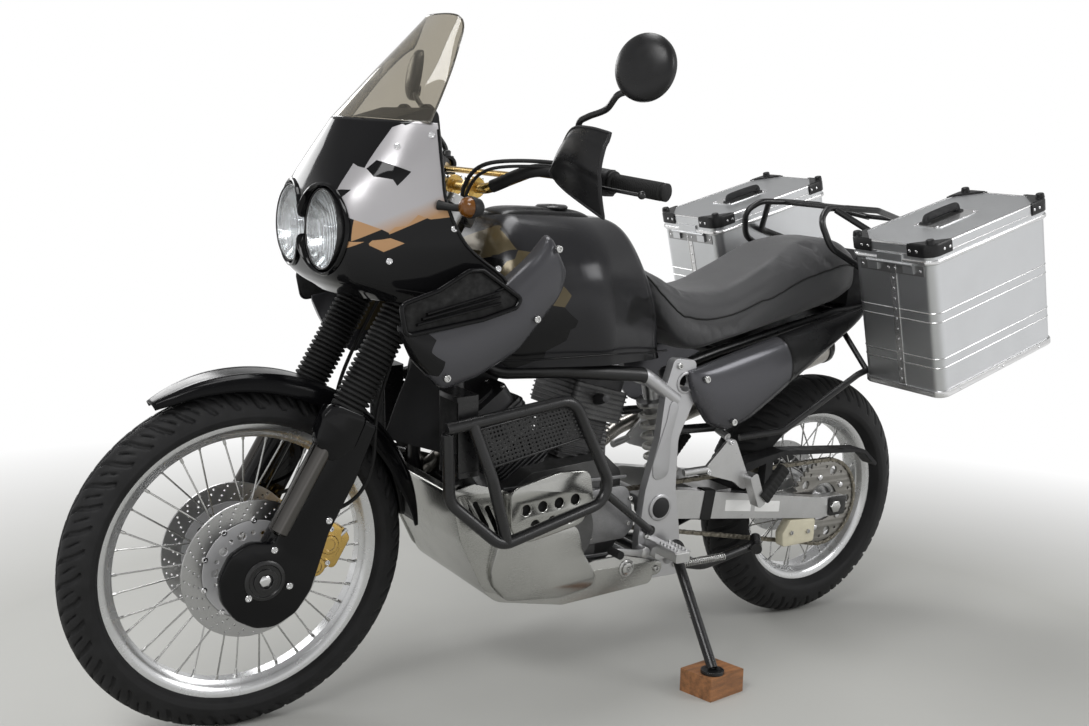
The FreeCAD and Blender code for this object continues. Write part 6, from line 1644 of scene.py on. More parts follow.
class MOTO_OT_body(bpy.types.Operator):
    """Makes the tank's cap and seams, the side panels, the scoops, the side covers and the seat"""

    bl_idname = "moto.body"
    bl_label = "Tank, panels and seat"

    def execute(self, context):
        panel = bulged(
            (978, 1348),
            [(978, 936), (1000, 890), (1090, 786), (1180, 738), (1250, 718), (1318, 780), (1348, 838)],
            [(978, 952), (1026, 1032), (1070, 980), (1130, 930), (1200, 886), (1270, 862), (1348, 846)], 209,
            36,
        )
        make("side_panel_skins", panel, "panel_grey", "frame", ["side_panels"], 40)
        frames, back, slats = duct_shapes()
        make("scoop_frames", frames, "gloss_black", "frame", smooth=60)
        make("scoop_backs_painted_shade", back, "dark_hole", "frame")
        make("scoop_slats", slats, "gloss_black", "frame")
        cover = bulged(
            (8, 570),
            [(8, 850), (60, 812), (300, 642), (380, 590), (440, 568), (500, 588), (552, 650), (570, 700)],
            [(8, 866), (208, 818), (420, 762), (570, 718)], 154, 32, 90, 34,
        )
        make("side_cover_skins", cover, "side_paint", "frame", ["side_covers"], 40)
        heads = both(screws([[444, 187, 596], [536, 182, 702]], (0, 1.0, 0.1), 8.5, 4))
        more = both(screws([[1018, 243, 1000], [1256, 245, 748], [1060, 246, 860]], SIDEWAYS, 7.5, 4))
        make("cover_screws", merged([heads, more]), "spoke_steel", "frame")
        hump, lid = cap_shapes()
        cap = make("tank_hump", hump, "satin_plastic", "frame", ["tank_cap"], 60)
        modified(cap, "SOLIDIFY", thickness=0.004, offset=-1)
        make("filler_lid", lid, "black_metal", "frame")
        make("tank_seam", tank_seams(), "gloss_black", "frame", smooth=60)
        seat = make("seat_cushion", seat_form(6.0), "seat_vinyl", "frame",
            ["seat"], 60)
        puffed(seat, SEAT_CAP)
        seat.data.shade_smooth()
        modified(seat, "SUBSURF", levels=1, render_levels=1)
        bpy.context.view_layer.update()
        x, low, high, half = smooth_line(SEAT_STATIONS, 120)[3:116].T
        welts = []
        for side in (1, -1):
            line = np.stack([x, side * half * 1.05, low + (high - low) * 0.62], -1)
            welts.append(carried(seam_on(seat, line, 0.6), circle(2.2, 8) / MM, UPWARDS))
        make("seat_welts", merged(welts), "black_rubber", "frame", smooth=60, leaned=True)
        (across, up, through), faces = flat_slab(box_section(118, 62, 10), -4, 4)
        lens = (np.column_stack([-262 + through, across, 936 + up]), faces)
        bead = box_section(2, 2, 0.5, 1)
        ribs = [rod([[-267, y, 908], [-267, y, 964]], bead, FORWARDS) for y in np.arange(-50, 51, 10.0)]
        make("tail_lens", merged([lens, *ribs]), "red_lens", "frame")
        housing = side_plate([(-222, 900, 6), (-258, 904, 8), (-262, 968, 8), (-222, 970, 6)], -61, 61)
        make("tail_housing", housing, "black_plastic", "frame")
        (across, up, through), faces = flat_slab(box_section(200, 150, 8), 0, 2.0)
        plate = np.column_stack([-352 + up * 0.40 - through * 3, across, 720 + up * 0.915])
        make("blank_plate", (plate, faces), "cream_plastic", "frame")
        return {"FINISHED"}

# ---------------------------------------------------------------- engine, frame fittings and rear

BANKS = ((930.0, 478.0, 38.0),
    (800.0, 500.0, -14.0))  # x, z and forward tilt in degrees of each cylinder's foot
PIVOT = (617.0, 0.0, 396.0)
MESH_CORNERS = ((1166, 638), (952, 676), (908, 604), (1138, 556))


def on_bank(bank, points):
    """Points of a cylinder bank (back to front, side, up the bore) to machine millimetres."""
    x, z, tilt = bank
    c, s = math.cos(math.radians(tilt)), math.sin(math.radians(tilt))
    back, side, up = np.asarray(points, float).T
    return np.stack([x + back * c + up * s, side, z - back * s + up * c], -1)


def bank_shapes():
    """Cooling fins round each barrel, the head's deck, its cover with a raised rib and cap bolts."""
    fins, covers, bolts = [], [], []
    slabs = [(box_section(134, 142, 14), height, 3.2, fins) for height in np.arange(10, 100, 9.5)]
    slabs += [(box_section(160, 176, 16), height, 3.4, fins) for height in np.arange(112, 170, 11.0)]
    slabs += [(box_section(138, 154, 22), 178, 38, covers), (box_section(96, 110, 18), 215, 7, covers)]
    spots = [[x, y, 216] for x in (-58, 58) for y in (-66, 0, 66)]
    plug = [(0, 0), (13, 0), (13, 18), (10, 30), (8, 46), (0, 48)]
    for bank in BANKS:
        for flat, low, thick, store in slabs:
            points, faces = slab(flat, low, low + thick)
            store.append((on_bank(bank, points), faces))
        foot, top, lead = on_bank(bank, [[0, 0, 0], [0, 0, 1], [10, 84, 150]])
        bolts.append(screws(on_bank(bank, spots), top - foot, 6.5, 5))
        covers.append(turned(plug, lead, unit([0.2, 1.0, 0.25]), 20))
    return merged(fins), merged(covers), merged(bolts)


def ring_at(centre, radius, start):
    """Eight places round a point of the machine's side, from a starting angle in degrees."""
    a = np.radians(np.arange(8) * 45 + start)
    return np.array(centre, float) + radius * np.stack([np.cos(a), np.zeros(8), np.sin(a)], -1)


def cover_shapes():
    """Round side covers with stepped rims, their screws, the water pump, and ribs on the crankcase."""
    left = [(83, 120), (86, 124), (86, 132), (80, 150), (70, 163), (50, 169), (34, 170), (32, 173), (0, 173)]
    left = turned(left, (905, 0, 374), SIDEWAYS, 64)
    pump = turned([(38, 120), (41, 124), (41, 140), (34, 154), (20, 159), (0, 159)], (980, 0, 352), SIDEWAYS,
        40)
    right = [(96, 118), (99, 122), (99, 140), (92, 170), (78, 184), (56, 187), (54, 190), (0, 191)]
    right = turned(right, (850, 0, 386), -SIDEWAYS, 64)
    ribs = [side_plate([(700, z - 3, 2), (1030, z - 3, 2), (1030, z + 3, 2), (700, z + 3, 2)], 117, 121,
        bevel=0.8) for z in (288, 470)]
    sprocket = side_plate([(672, 352, 26), (700, 326, 20), (806, 322, 16), (812, 446, 24), (700, 450, 30)], 122,
        130, bevel=2.5)
    spots = [[690, 130, 360], [690, 130, 420], [796, 130, 338], [798, 130, 430], [1012, 154, 352],
        [962, 154, 380]]
    out = screws([*ring_at((905, 152, 374), 78, 20), *spots], SIDEWAYS, 5.5, 4)
    far = screws(ring_at((850, -172, 386), 90, 20), -SIDEWAYS, 5.5, 4)
    return merged([left, pump, right, sprocket, *ribs]), merged([out, far])


def capsule(start, end, half):
    """A closed slot outline between two points."""
    start, end = np.asarray(start, float), np.asarray(end, float)
    turn = math.atan2(*(end - start)[::-1])
    a = np.linspace(-math.pi / 2, math.pi / 2, 8)
    near = start + half * np.stack([np.cos(a + turn + math.pi), np.sin(a + turn + math.pi)], -1)
    far = end + half * np.stack([np.cos(a + turn), np.sin(a + turn)], -1)
    return np.concatenate([far, near])


def mesh_sheet(corners, y, across, up):
    """A perforated sheet on four corners: each cell is a ring of faces from its square edge to a round hole."""
    a, b, c, d = np.array(corners, float)
    turn = np.arange(8) * math.pi / 4 + math.pi / 4
    square = np.sign(np.round(np.stack([np.cos(turn), np.sin(turn)], -1), 6)) * 0.5
    loop = np.concatenate([square, 0.31 * np.stack([np.cos(turn), np.sin(turn)], -1)])
    i, j = np.meshgrid(np.arange(across) + 0.5, np.arange(up) + 0.5, indexing="ij")
    uv = (np.stack([i, j], -1)[..., None, :] + loop) / [across, up]
    u, v = uv[..., :1], uv[..., 1:]
    flat = (d * (1 - u) + c * u) * (1 - v) + (a * (1 - u) + b * u) * v
    points = np.stack([flat[..., 0], np.full(flat.shape[:-1], y), flat[..., 1]], -1).reshape(-1, 3)
    k = np.arange(8)
    cell = np.stack([k, (k + 1) % 8, (k + 1) % 8 + 8, k + 8], -1)
    faces = (np.arange(across * up)[:, None, None] * 16 + cell).reshape(-1, 4)
    return points, faces


def guard_plate_shapes():
    """The sump guard's polished cheek with three slots, the cover with four and three round holes with a
    near-black lining behind them as painted shade, and the perforated sheet in the top of the crash bar."""
    slots = (((1154, 474), (1122, 420)), ((1124, 460), (1092, 406)), ((1094, 448), (1062, 390)))
    cheek = [
        (1182, 490, 10), (1154, 384, 60), (1088, 262, 50), (1030, 250, 20), (1000, 372, 24), (1040, 476, 20),
        (1130, 502, 20),
    ]
    cheek = side_plate(cheek, 157, 161, [capsule(a, b, 6.5) for a, b in slots], 0.9)
    belly = [
        (1052, 402, 30), (1080, 292, 60), (1030, 244, 30), (900, 232, 30), (800, 246, 20), (848, 316, 50),
        (872, 384, 30), (960, 392, 30),
    ]
    belly = side_plate(belly, 150, 177, bevel=9.0)
    row = [(1010 - 42 * i, 440 + 4 * i) for i in range(4)] + [(984 - 44 * i, 404 + 4 * i) for i in range(3)]
    pod = [
        (1050, 486, 26), (1040, 394, 30), (996, 370, 24), (862, 396, 30), (838, 452, 26), (852, 512, 26),
        (930, 514, 30),
    ]
    pod = side_plate(pod, 174, 184, [round_loop(x, z, 14.5, 24) for x, z in row], 3.0)
    # painted shade: a near-black lining behind the cover's round holes
    lining = [
        (1040, 478, 22), (1032, 398, 26), (994, 378, 20), (868, 402, 24), (848, 452, 20), (860, 504, 20),
        (930, 506, 24),
    ]
    lining = side_plate(lining, 171.5, 174.5)
    tie = side_plate([(1046, 476, 10), (1040, 398, 10), (1014, 396, 10), (1016, 476, 10)], 158, 176)
    mesh = mesh_sheet(MESH_CORNERS, 229.0, 26, 9)
    rim = rod([[x, 229.7, z] for x, z in (*MESH_CORNERS, MESH_CORNERS[0])], circle(3.0, 8), SIDEWAYS)
    return [both(shape) for shape in (merged([cheek, tie, belly]), pod, lining, mesh, rim)]


def frame_shapes():
    """On the cast plates: a raised panel, the pivot's cap, the lower casting with its plug and bolts."""
    panel = [
        (588, 640, 14), (604, 566, 40), (602, 470, 40), (644, 462, 24), (650, 500, 30), (620, 600, 50),
        (612, 650, 14),
    ]
    panel = side_plate(panel, 151, 153.4, bevel=1.1)
    collar = revolved([(29, 150), (32, 151), (32, 154), (29, 156), (25, 156), (25, 151)], PIVOT, SIDEWAYS, 40)
    ring = revolved([(20, 150.5), (26, 150.5), (26, 153), (24, 154), (20.4, 154)], (574, 0, 690), SIDEWAYS, 36)
    cap = turned([(24.5, 150), (24.5, 156), (20, 159), (0, 160)], PIVOT, SIDEWAYS, 36)
    low = [
        (866, 240, 14), (862, 274, 20), (800, 290, 20), (716, 292, 20), (600, 262, 16), (604, 236, 16),
        (700, 232, 10),
    ]
    low = side_plate(low, 150, 158, bevel=2.6)
    plug = [(21, 156), (21, 160), (17, 162), (14, 160), (14, 165), (10, 166), (6, 166), (6, 160), (0, 160)]
    plug = turned(plug, (706, 0, 262), SIDEWAYS, 32)
    spots = [[840, 158, 262], [618, 158, 250], [596, 151, 730], [556, 151, 250], [648, 151, 248],
        [650, 151, 330]]
    bolts = screws(spots, SIDEWAYS, 7.5, 6)
    return both(merged([panel, collar, ring])), both(cap), both(low), both(merged([plug, bolts]))


def peg_shapes():
    """Passenger peg brackets' bolts and rubber, ribbed rider pegs, the gear lever and brake pedal."""
    bolts = screws([[484, 160, 472], [420, 160, 540]], SIDEWAYS, 7, 5)
    t = np.linspace(0, 1, 8 * 8 + 1)
    line = np.array([322.0, 186, 396]) + t[:, None] * np.array([-62.0, 0, 74.0])
    ribs = 1.02 + 0.07 * np.abs(np.sin(math.pi * 8 * t))
    rubber_peg = carried(line, box_section(30, 22, 6), SIDEWAYS, ribs)
    places = [(x, y) for x in (622, 646) for y in np.arange(202, 266, 12.0)]
    teeth = [rod([[x, y, 326], [x, y, 333]], box_section(7, 7, 1), FORWARDS, [1.0, 0.5]) for x, y in places]
    plate = rod([[634, 196, 325], [634, 266, 325]], box_section(46, 6, 2), UPWARDS)
    lever = bent([[668, 168, 300], [700, 182, 306], [752, 190, 318], [776, 192, 322]], 24,
        box_section(15, 8, 3), SIDEWAYS)
    hub = [(0, 152), (13, 152), (13, 176), (10, 178), (0, 178)]
    boss = turned(hub, (668, 0, 300), SIDEWAYS, 24)
    tip = rod([[776.0, 184, 322], [776, 222, 322]], circle(9.5, 16), UPWARDS)
    pedal = bent([[668, -168, 296], [704, -186, 290], [760, -196, 296], [788, -196, 304]], 24,
        box_section(17, 8, 3), SIDEWAYS)
    pad = rod([[784.0, -178, 308], [784, -224, 308]], box_section(30, 10, 3), UPWARDS)
    boss_far = turned(hub, (668, 0, 296), -SIDEWAYS, 24)
    return both(bolts), both(rubber_peg), both(merged([*teeth, plate])), merged([lever, boss, pedal,
        boss_far]), merged([tip, pad])


def helix(start, end, radius, turns, steps):
    """A coil's line round a straight axis."""
    start, end = np.asarray(start, float), np.asarray(end, float)
    t = np.linspace(0, 1, steps)
    u, v = frame_across(end - start)
    a = 2 * math.pi * turns * t
    return start + (end - start) * t[:, None] + radius * (np.cos(a)[:, None] * u + np.sin(a)[:, None] * v)


def rear_shapes():
    """Swingarm end plates, axle nuts and strap, the chain guide, the damper's coil and the silencer's cap."""
    ends = both(side_plate([(-42, 304, 8), (16, 302, 8), (20, 352, 8), (-42, 352, 8)], 126.2, 130,
        [round_loop(0, 328, 10, 20)], 0.8))
    axle_nuts = both(nuts([[0, 132, 328.0]], SIDEWAYS, 17, 6))
    adjust = both(rod([[-62.0, 112, 327], [-44, 112, 328]], circle(5, 10)))
    strap = rod([[428.0, 112, 374], [462, 112, 378]], box_section(31, 76, 4), UPWARDS)
    guide = side_plate([(62, 240, 8), (168, 236, 8), (173, 268, 10), (152, 301, 8), (64, 298, 8)], 98, 126,
        bevel=3)
    guide_bolts = screws([[86, 127, 268], [146, 127, 270]], SIDEWAYS, 6, 4)
    labels = []
    for cx, cz in ((343.0, 364.0), (243.0, 352.0)):
        corners = [(cx + 43, cz + 19, 2), (cx - 43, cz + 9, 2), (cx - 43, cz - 19, 2), (cx + 43, cz - 9, 2)]
        labels.append(side_plate(corners, 125.6, 126.5, bevel=0.2))
    coil = carried(helix((490, 0, 418), (541, 0, 616), 36, 7.5, 300), circle(5.6, 8), helper=(0.3, 1.0, 0.1))
    damper = [
        (0, 0), (18, 0), (20, 8), (20, 56), (42, 58), (43, 64), (30, 68), (12, 70), (12, 190), (30, 262),
        (42, 268),
        (42, 276), (24, 280), (24, 316), (0, 317),
    ]
    damper = turned(damper, (473.6, 0, 352), unit([78.4, 0, 308.0]), 36)
    mouth, out = (-200, -166, 704), unit([-520.0, 0, 148])
    cap = [(51.5, -16), (52.5, -14), (52.5, 0), (48, 8), (36, 12), (20, 12), (19, 8), (19, -24)]
    cap = turned(cap, mouth, out, 48)
    bands = [revolved([(50, d), (52.4, d), (52.4, d + 18), (50, d + 18)], mouth, out, 48) for d in (-180, -430)]
    return merged(labels), ends, axle_nuts, adjust, strap, guide, guide_bolts, coil, damper, cap, merged(bands)


def radiator_shapes():
    """Radiator cores as a folded sheet of fins, with end tanks, hoses down to the engine, and the inner
    mudguard between them."""
    a = math.radians(4)
    z = np.linspace(8, 158, 151)
    fold = np.where(np.arange(151) % 2 == 0, 46.4, 48.2)
    rows = np.stack([1148 + fold * math.cos(a) + z * math.sin(a), np.zeros(151),
        536 - fold * math.sin(a) + z * math.cos(a)], -1)
    core = np.stack([rows + [0, 131, 0], rows + [0, 201, 0]], 1)
    fins = (core.reshape(-1, 3), grid_faces(151, 2))
    foot, up = np.array([1171, 166, 534.4]), np.array([math.sin(a), 0, math.cos(a)])
    tanks = [
        carried(foot + np.outer(ends, up), box_section(82, 50, 6), FORWARDS) for ends in ((-1, 10), (156, 167))
    ]
    hose = [[1160, 140, 548], [1130, 138, 500], [1070, 132, 440], [1010, 128, 392], [984, 128, 366]]
    hose = bent(hose, 40, circle(13, 16), SIDEWAYS)
    line = [[1158, 0, 540], [1137, 0, 606], [1112, 0, 670], [1086, 0, 735], [1062, 0, 772]]
    shield = bent(line, 30, box_section(4, 216, 1.5), (1.0, 0, 0.4))
    return both(fins), both(merged(tanks)), both(hose), shield


class MOTO_OT_engine(bpy.types.Operator):
    """Makes the engine's fins and covers, the guards, the frame fittings and the pegs"""

    bl_idname = "moto.engine"
    bl_label = "Engine and frame"

    def execute(self, context):
        fins, covers, bolts = bank_shapes()
        make("cylinder_fins", fins, "engine_black", "frame")
        make("head_covers", covers, "engine_black", "frame")
        make("head_bolts", bolts, "spoke_steel", "frame")
        rounds, bolts = cover_shapes()
        make("engine_covers", rounds, "cover_metal", "frame")
        make("engine_bolts", bolts, "spoke_steel", "frame")
        cheek, pod, lining, mesh, rim = guard_plate_shapes()
        make("guard_cheeks", cheek, "skid_aluminium", "frame")
        make("guard_covers", pod, "skid_aluminium", "frame", smooth=50)
        make("guard_linings_painted_shade", lining, "dark_hole", "frame")
        sheet = make("crash_mesh", mesh, "black_metal", "frame", smooth=0)
        modified(sheet, "SOLIDIFY", thickness=0.0012, offset=0)
        make("crash_mesh_rims", rim, "black_metal", "frame", smooth=60)
        panel, cap, low, bolts = frame_shapes()
        make("frame_panels", panel, "plate_silver", "frame")
        make("pivot_caps", cap, "black_plastic", "frame", smooth=50)
        make("rail_castings", low, "skid_aluminium", "frame")
        make("frame_bolts", bolts, "spoke_steel", "frame")
        bolts, rubbers, teeth, levers, tips = peg_shapes()
        make("peg_bolts", bolts, "chrome", "frame")
        make("peg_rubbers", rubbers, "black_rubber", "frame", smooth=50)
        make("peg_teeth", teeth, "cast_aluminium", "frame")
        make("foot_levers", levers, "cast_aluminium", "frame", smooth=50)
        make("lever_tips", tips, "black_rubber", "frame", smooth=50)
        fins, tanks, hoses, shield = radiator_shapes()
        make("inner_mudguard", shield, "black_plastic", "frame")
        # the cores are near-black: black fins, with painted shade for the deep passages between them
        make("radiator_fins", fins, "dark_hole", "frame", smooth=0)
        make("radiator_tanks", tanks, "black_metal", "frame")
        make("radiator_hoses", hoses, "black_rubber", "frame", smooth=60)
        return {"FINISHED"}


class MOTO_OT_rear(bpy.types.Operator):
    """Makes the swingarm's fittings, the damper, the silencer's trim and the stands' springs"""

    bl_idname = "moto.rear"
    bl_label = "Rear end"

    def execute(self, context):
        labels, ends, axle_nuts, adjust, strap, guide, guide_bolts, coil, damper, cap, bands = rear_shapes()
        make("arm_labels", labels, "label_white", "frame")
        make("arm_ends", ends, "black_metal", "frame")
        make("axle_nuts", axle_nuts, "spoke_steel", "frame")
        make("chain_adjusters", adjust, "spoke_steel", "frame", smooth=60)
        make("arm_strap", strap, "black_rubber", "frame")
        make("chain_guide", guide, "cream_plastic", "frame")
        make("chain_guide_bolts", guide_bolts, "spoke_steel", "frame")
        make("damper_coil", coil, "spring_paint", "frame", ["shock_absorber"], 60)
        make("damper_body", damper, "cast_aluminium", "frame")
        make("silencer_cap", cap, "black_metal", "frame")
        make("silencer_bands", bands, "spoke_steel", "frame")
        spring = carried(helix((590, 206, 274), (606, 292, 176), 7.5, 20, 420), circle(1.5, 6),
            helper=(0.9, 0.3, 0.1))
        make("side_spring", spring, "spoke_steel", "side_stand", smooth=60)
        spring = carried(helix((536, 128, 236), (380, 134, 240), 8.0, 24, 500), circle(1.6, 6),
            helper=(0.1, 0.9, 0.4))
        make("centre_spring", spring, "spoke_steel", "centre_stand", smooth=60)
        return {"FINISHED"}

# ---------------------------------------------------------------- panniers and rack

PANNIER = {"length": 417.0, "width": 233.0, "corner": 24.0, "seam": 319.0, "top": 365.0,
    "base": (72.0, 242.0, 696.0), "pitch": 17.5}
CORNER_STEPS = 8


def on_pannier(side, shape):
    """Carries a shape drawn on a pannier (back to front, outwards, up) to its place on either side."""
    points, faces = shape
    p = np.asarray(points, float)
    a = math.radians(PANNIER["pitch"])
    c, s = math.cos(a), math.sin(a)
    bx, by, bz = PANNIER["base"]
    back, out, up = p.T
    return np.stack([bx + back * c + up * s, side * (by + out), bz - back * s + up * c], -1), faces


def plan(grow):
    """The box's plan with rounded corners, grown by a margin."""
    length, width = PANNIER["length"], PANNIER["width"]
    flat = box_section(length + 2 * grow, width + 2 * grow, PANNIER["corner"] + grow, CORNER_STEPS)
    return flat + [-length / 2, width / 2]


def hoop(section):
    """A band round the box from rows of (margin, height)."""
    rings = [np.column_stack([plan(grow), np.full(len(plan(grow)), z)]) for grow, z in section]
    return np.concatenate(rings), grid_faces(len(rings), len(rings[0]), True, True)


def slab(flat, low, high, inset=0.0):
    """An upright prism on a flat outline."""
    flat = np.asarray(flat, float)
    n = len(flat)
    middle = flat.mean(0)
    upper = middle + (flat - middle) * (1 - inset)
    points = np.concatenate([np.column_stack([flat, np.full(n, low)]),
        np.column_stack([upper, np.full(n, high)])])
    sides = [[i, (i + 1) % n, n + (i + 1) % n, n + i] for i in range(n)]
    return points, [list(range(n))[::-1], list(range(n, 2 * n))] + sides


def corner_ways(index):
    """The two directions out of a corner, along the plan's x and y turned by quarter turns."""
    turn = math.radians(90 * index)
    way = np.array([math.cos(turn), math.sin(turn)])
    return way, np.array([-way[1], way[0]])


def corner_line(index, grow, reach):
    """One corner's arc with a straight run on each side."""
    points = CORNER_STEPS + 1
    arc = plan(grow)[index * points:(index + 1) * points]
    way, side = corner_ways(index)
    return np.concatenate([[arc[0] - side * reach], arc, [arc[-1] - way * reach]])


def corner_guard(index, top):
    """A black corner: a skirt round the edge, a cut-off plate on the lid and a stacking stub."""
    section = ((3.1, top - 26), (6.0, top - 26), (6.3, top - 2), (4.4, top + 2.8), (1.0, top + 2.8),
        (1.0, top - 2))
    rings = [np.column_stack([corner_line(index, g, 40), np.full(CORNER_STEPS + 3, z)]) for g, z in section]
    n = len(rings[0])
    faces = [list(f) for f in grid_faces(len(rings), n, True, False)]
    faces += [[k * n for k in range(len(rings))], [k * n + n - 1 for k in range(len(rings))][::-1]]
    skirt = (np.concatenate(rings), faces)
    plate = slab(corner_line(index, 3.0, 36), top - 0.5, top + 4.2, 0.04)
    middle = corner_line(index, 3.0, 30).mean(0)
    stub = turned([(0, 0), (11, 0), (9.5, 9), (8, 10.5), (0, 10.5)], (*middle, top + 3), UPWARDS, 20)
    way, side = (np.array([*d, 0]) for d in corner_ways(index))
    line = corner_line(index, 6.1, 40)
    heads = []
    for foot, back, out in ((line[0], side, way), (line[-1], way, side)):
        heads.append(rivets(np.array([*foot, top - 13.0]) + np.outer([8.0, 27.0], back), out, 3.6, 1.5))
    return merged([skirt, plate, stub]), merged(heads)


def box_shapes():
    """What is on a pannier's box: base flange, pressed lines, the riveted seam, its top strap and latches."""
    seam, width, length = PANNIER["seam"], PANNIER["width"], PANNIER["length"]
    bands = [hoop(((-0.5, -2.0), (3.0, -2.0), (4.6, 0.0), (4.6, 10.0), (3.4, 13.0), (0.6, 14.0), (-0.5, 14.0)))]
    for share in (0.22, 0.29, 0.57, 0.64):
        z = seam * share
        bands.append(hoop(((-0.3, z - 2.0), (0.5, z - 1.4), (1.15, z), (0.5, z + 1.4), (-0.3, z + 2.0))))
    strip = slab([(-0.2, 110), (0.9, 110), (0.9, 127), (-0.2, 127)], 14.0, seam - 4)
    edge = slab([(-0.2, 126), (1.5, 126), (1.5, 129), (-0.2, 129)], 14.0, seam - 4)
    # a darker aluminium strip just below the lid
    strap = slab([(-0.2, 24), (1.4, 24), (1.4, width - 24), (-0.2, width - 24)], seam - 27, seam - 3)
    heads = [rivets([[1, 118, z] for z in np.linspace(26, seam - 40, 11)], FORWARDS, 3.0, 1.4)]
    heads.append(rivets([[1.5, y, seam - 15] for y in (32, 108, 127, width - 34)], FORWARDS, 3.6, 1.6))
    foot = [[x, width + 4.8, 5] for x in (-length + 60, -length / 2 - 8, -length / 2 + 8, -60)]
    heads.append(rivets(foot, SIDEWAYS, 2.8, 1.3))
    latches = []
    for y in (60.0, width - 60):
        latches.append(slab([(-length - 2, y - 14), (-length + 0.5, y - 14), (-length + 0.5, y + 14),
            (-length - 2, y + 14)], seam - 62, seam - 12))
        latch = [[-length - 5, y, seam - 56], [-length - 6, y, seam - 26], [-length - 5.2, y, seam + 6]]
        latches.append(rod(latch, box_section(18, 4, 1.4), SIDEWAYS))
    return {"trim": merged(bands), "seam": merged([strip, edge]), "strap": strap, "rivets": merged(heads),
        "latches": merged(latches)}


def lid_shapes():
    """What is on a lid: the rim, a fold line, black corners, the handle on its plate over a near-black pocket
    of painted shade, and rivets.
    """
    seam, top, width, length = PANNIER["seam"], PANNIER["top"], PANNIER["width"], PANNIER["length"]
    rim = hoop(((2.6, seam + 2), (5.0, seam + 2), (6.6, seam + 4), (6.6, seam + 9), (5.2, seam + 11.5),
        (2.6, seam + 12)))
    fold = hoop(((2.8, seam + 22), (3.7, seam + 23), (3.7, seam + 24), (2.8, seam + 25)))
    lip = hoop(((2.9, top - 3.4), (3.8, top - 2.4), (3.0, top + 0.5), (-1.0, top + 1.1), (-3.0, top + 0.2),
        (0.0, top - 1.0)))
    guards, heads = zip(*(corner_guard(index, top) for index in range(4)))
    middle = np.array([-length / 2 + 10, width / 2])
    plate = slab(box_section(150, 74, 8) + middle, top, top + 1.8)
    # painted shade: a near-black pocket under the handle, where its recess would be
    painted_shade_pocket = slab(box_section(122, 34, 8) + middle + [0, -14], top + 1.7, top + 2.3)
    line = [[-56, 0, 3], [-54, 0, 12], [-46, 0, 15], [0, 0, 16], [46, 0, 15], [54, 0, 12], [56, 0, 3]]
    line = np.array(line) + [*(middle + [0, -14]), top]
    grip = bent(line, 40, box_section(20, 9, 3.5), SIDEWAYS)
    feet = [slab(box_section(16, 28, 3) + middle + [x, -14], top + 1.8, top + 5.5, 0.1) for x in (-58, 58)]
    spots = [[middle[0] + x, middle[1] + y, top + 2.0] for x in (-66, 66) for y in (-28, 28)]
    studs = rivets(spots, UPWARDS, 3.2, 1.4)
    return {
        "rim": merged([rim, fold, lip]), "guards": merged(guards), "heads": merged([*heads, studs]),
        "plate": merged([plate]), "painted_shade_pocket": painted_shade_pocket, "grip": merged([grip, *feet]),
    }


class MOTO_OT_panniers(bpy.types.Operator):
    """Makes the trim, rivets, corners, handles and latches of the two panniers"""

    bl_idname = "moto.panniers"
    bl_label = "Panniers"

    def execute(self, context):
        box, lid = box_shapes(), lid_shapes()
        sheet, plastic = "sheet_aluminium", "black_plastic"
        for word, side in (("left", 1), ("right", -1)):
            for name, finish in (
                ("trim", "bright_aluminium"), ("seam", "bright_aluminium"), ("strap", "dull_aluminium"),
                ("rivets", "chrome"), ("latches", "spoke_steel"),
            ):
                make(f"box_{name}_{word}", on_pannier(side, box[name]), finish, "frame")
            for name, finish, slot in (
                ("rim", "bright_aluminium", sheet), ("guards", "satin_plastic", plastic),
                ("heads", "chrome", sheet),
                ("plate", "bright_aluminium", sheet), ("painted_shade_pocket", "dark_hole", plastic),
                ("grip", plastic, plastic),
            ):
                make(f"lid_{name}_{word}", on_pannier(side, lid[name]), finish, "lid_" + word)
        return {"FINISHED"}

# ---------------------------------------------------------------- stage

# name, place, target, width, height and power of each lamp
LAMPS = (
    ("key", (3.2, 2.0, 3.6), (0.2, 0.1, 0.6), 2.4, 1.2, 95.0),
    ("side", (-2.6, 3.4, 2.6), (-0.3, 0.0, 0.6), 2.2, 1.4, 60.0),
    ("top", (0.2, -0.4, 4.2), (0.0, 0.0, 0.6), 3.2, 1.0, 70.0),
    ("far", (1.0, -4.0, 2.4), (0.0, 0.0, 0.7), 2.4, 1.2, 45.0),
)
# height in the room and its grey there, as glossy surfaces see it
ROOM_GREYS = ((0.0, 0.75), (0.18, 0.8), (0.42, 0.42), (1.0, 0.3))
CAMERA_PLACE = (1.5986, 2.1764, 1.00783)
CAMERA_ANGLES = (-123.824, -6.213, 1.738)  # yaw, pitch and roll in degrees
CAMERA_SENSOR, CAMERA_LENS = 36.0, 39.203


def build_floor(colour):
    """A pale round floor that fades to white."""
    n = Nodes("stage_floor")
    away = n.add("ShaderNodeVectorMath", {0: n.coords()}, operation="LENGTH").outputs["Value"]
    fade = n.between(away, 1.5, 3.4)
    cloud = n.noise(1.6, 8.0)
    base = n.mix(cloud, mid(colour, 0.93), mid(colour, 1.05))
    n.done(Base_Color=base, Roughness=0.6)
    glow = n.add("ShaderNodeEmission", {"Color": (1, 1, 1, 1), "Strength": 1.0})
    blend = n.add("ShaderNodeMixShader", {0: fade, 1: n.shader.outputs[0], 2: glow.outputs[0]})
    n.tree.links.new(blend.outputs[0], n.tree.nodes["Material Output"].inputs["Surface"])
    bpy.ops.mesh.primitive_circle_add(vertices=96, radius=14.0, fill_type="NGON", location=(0, 0, 0))
    floor = bpy.context.active_object
    floor.name = "floor"
    floor.data.materials.append(n.material)


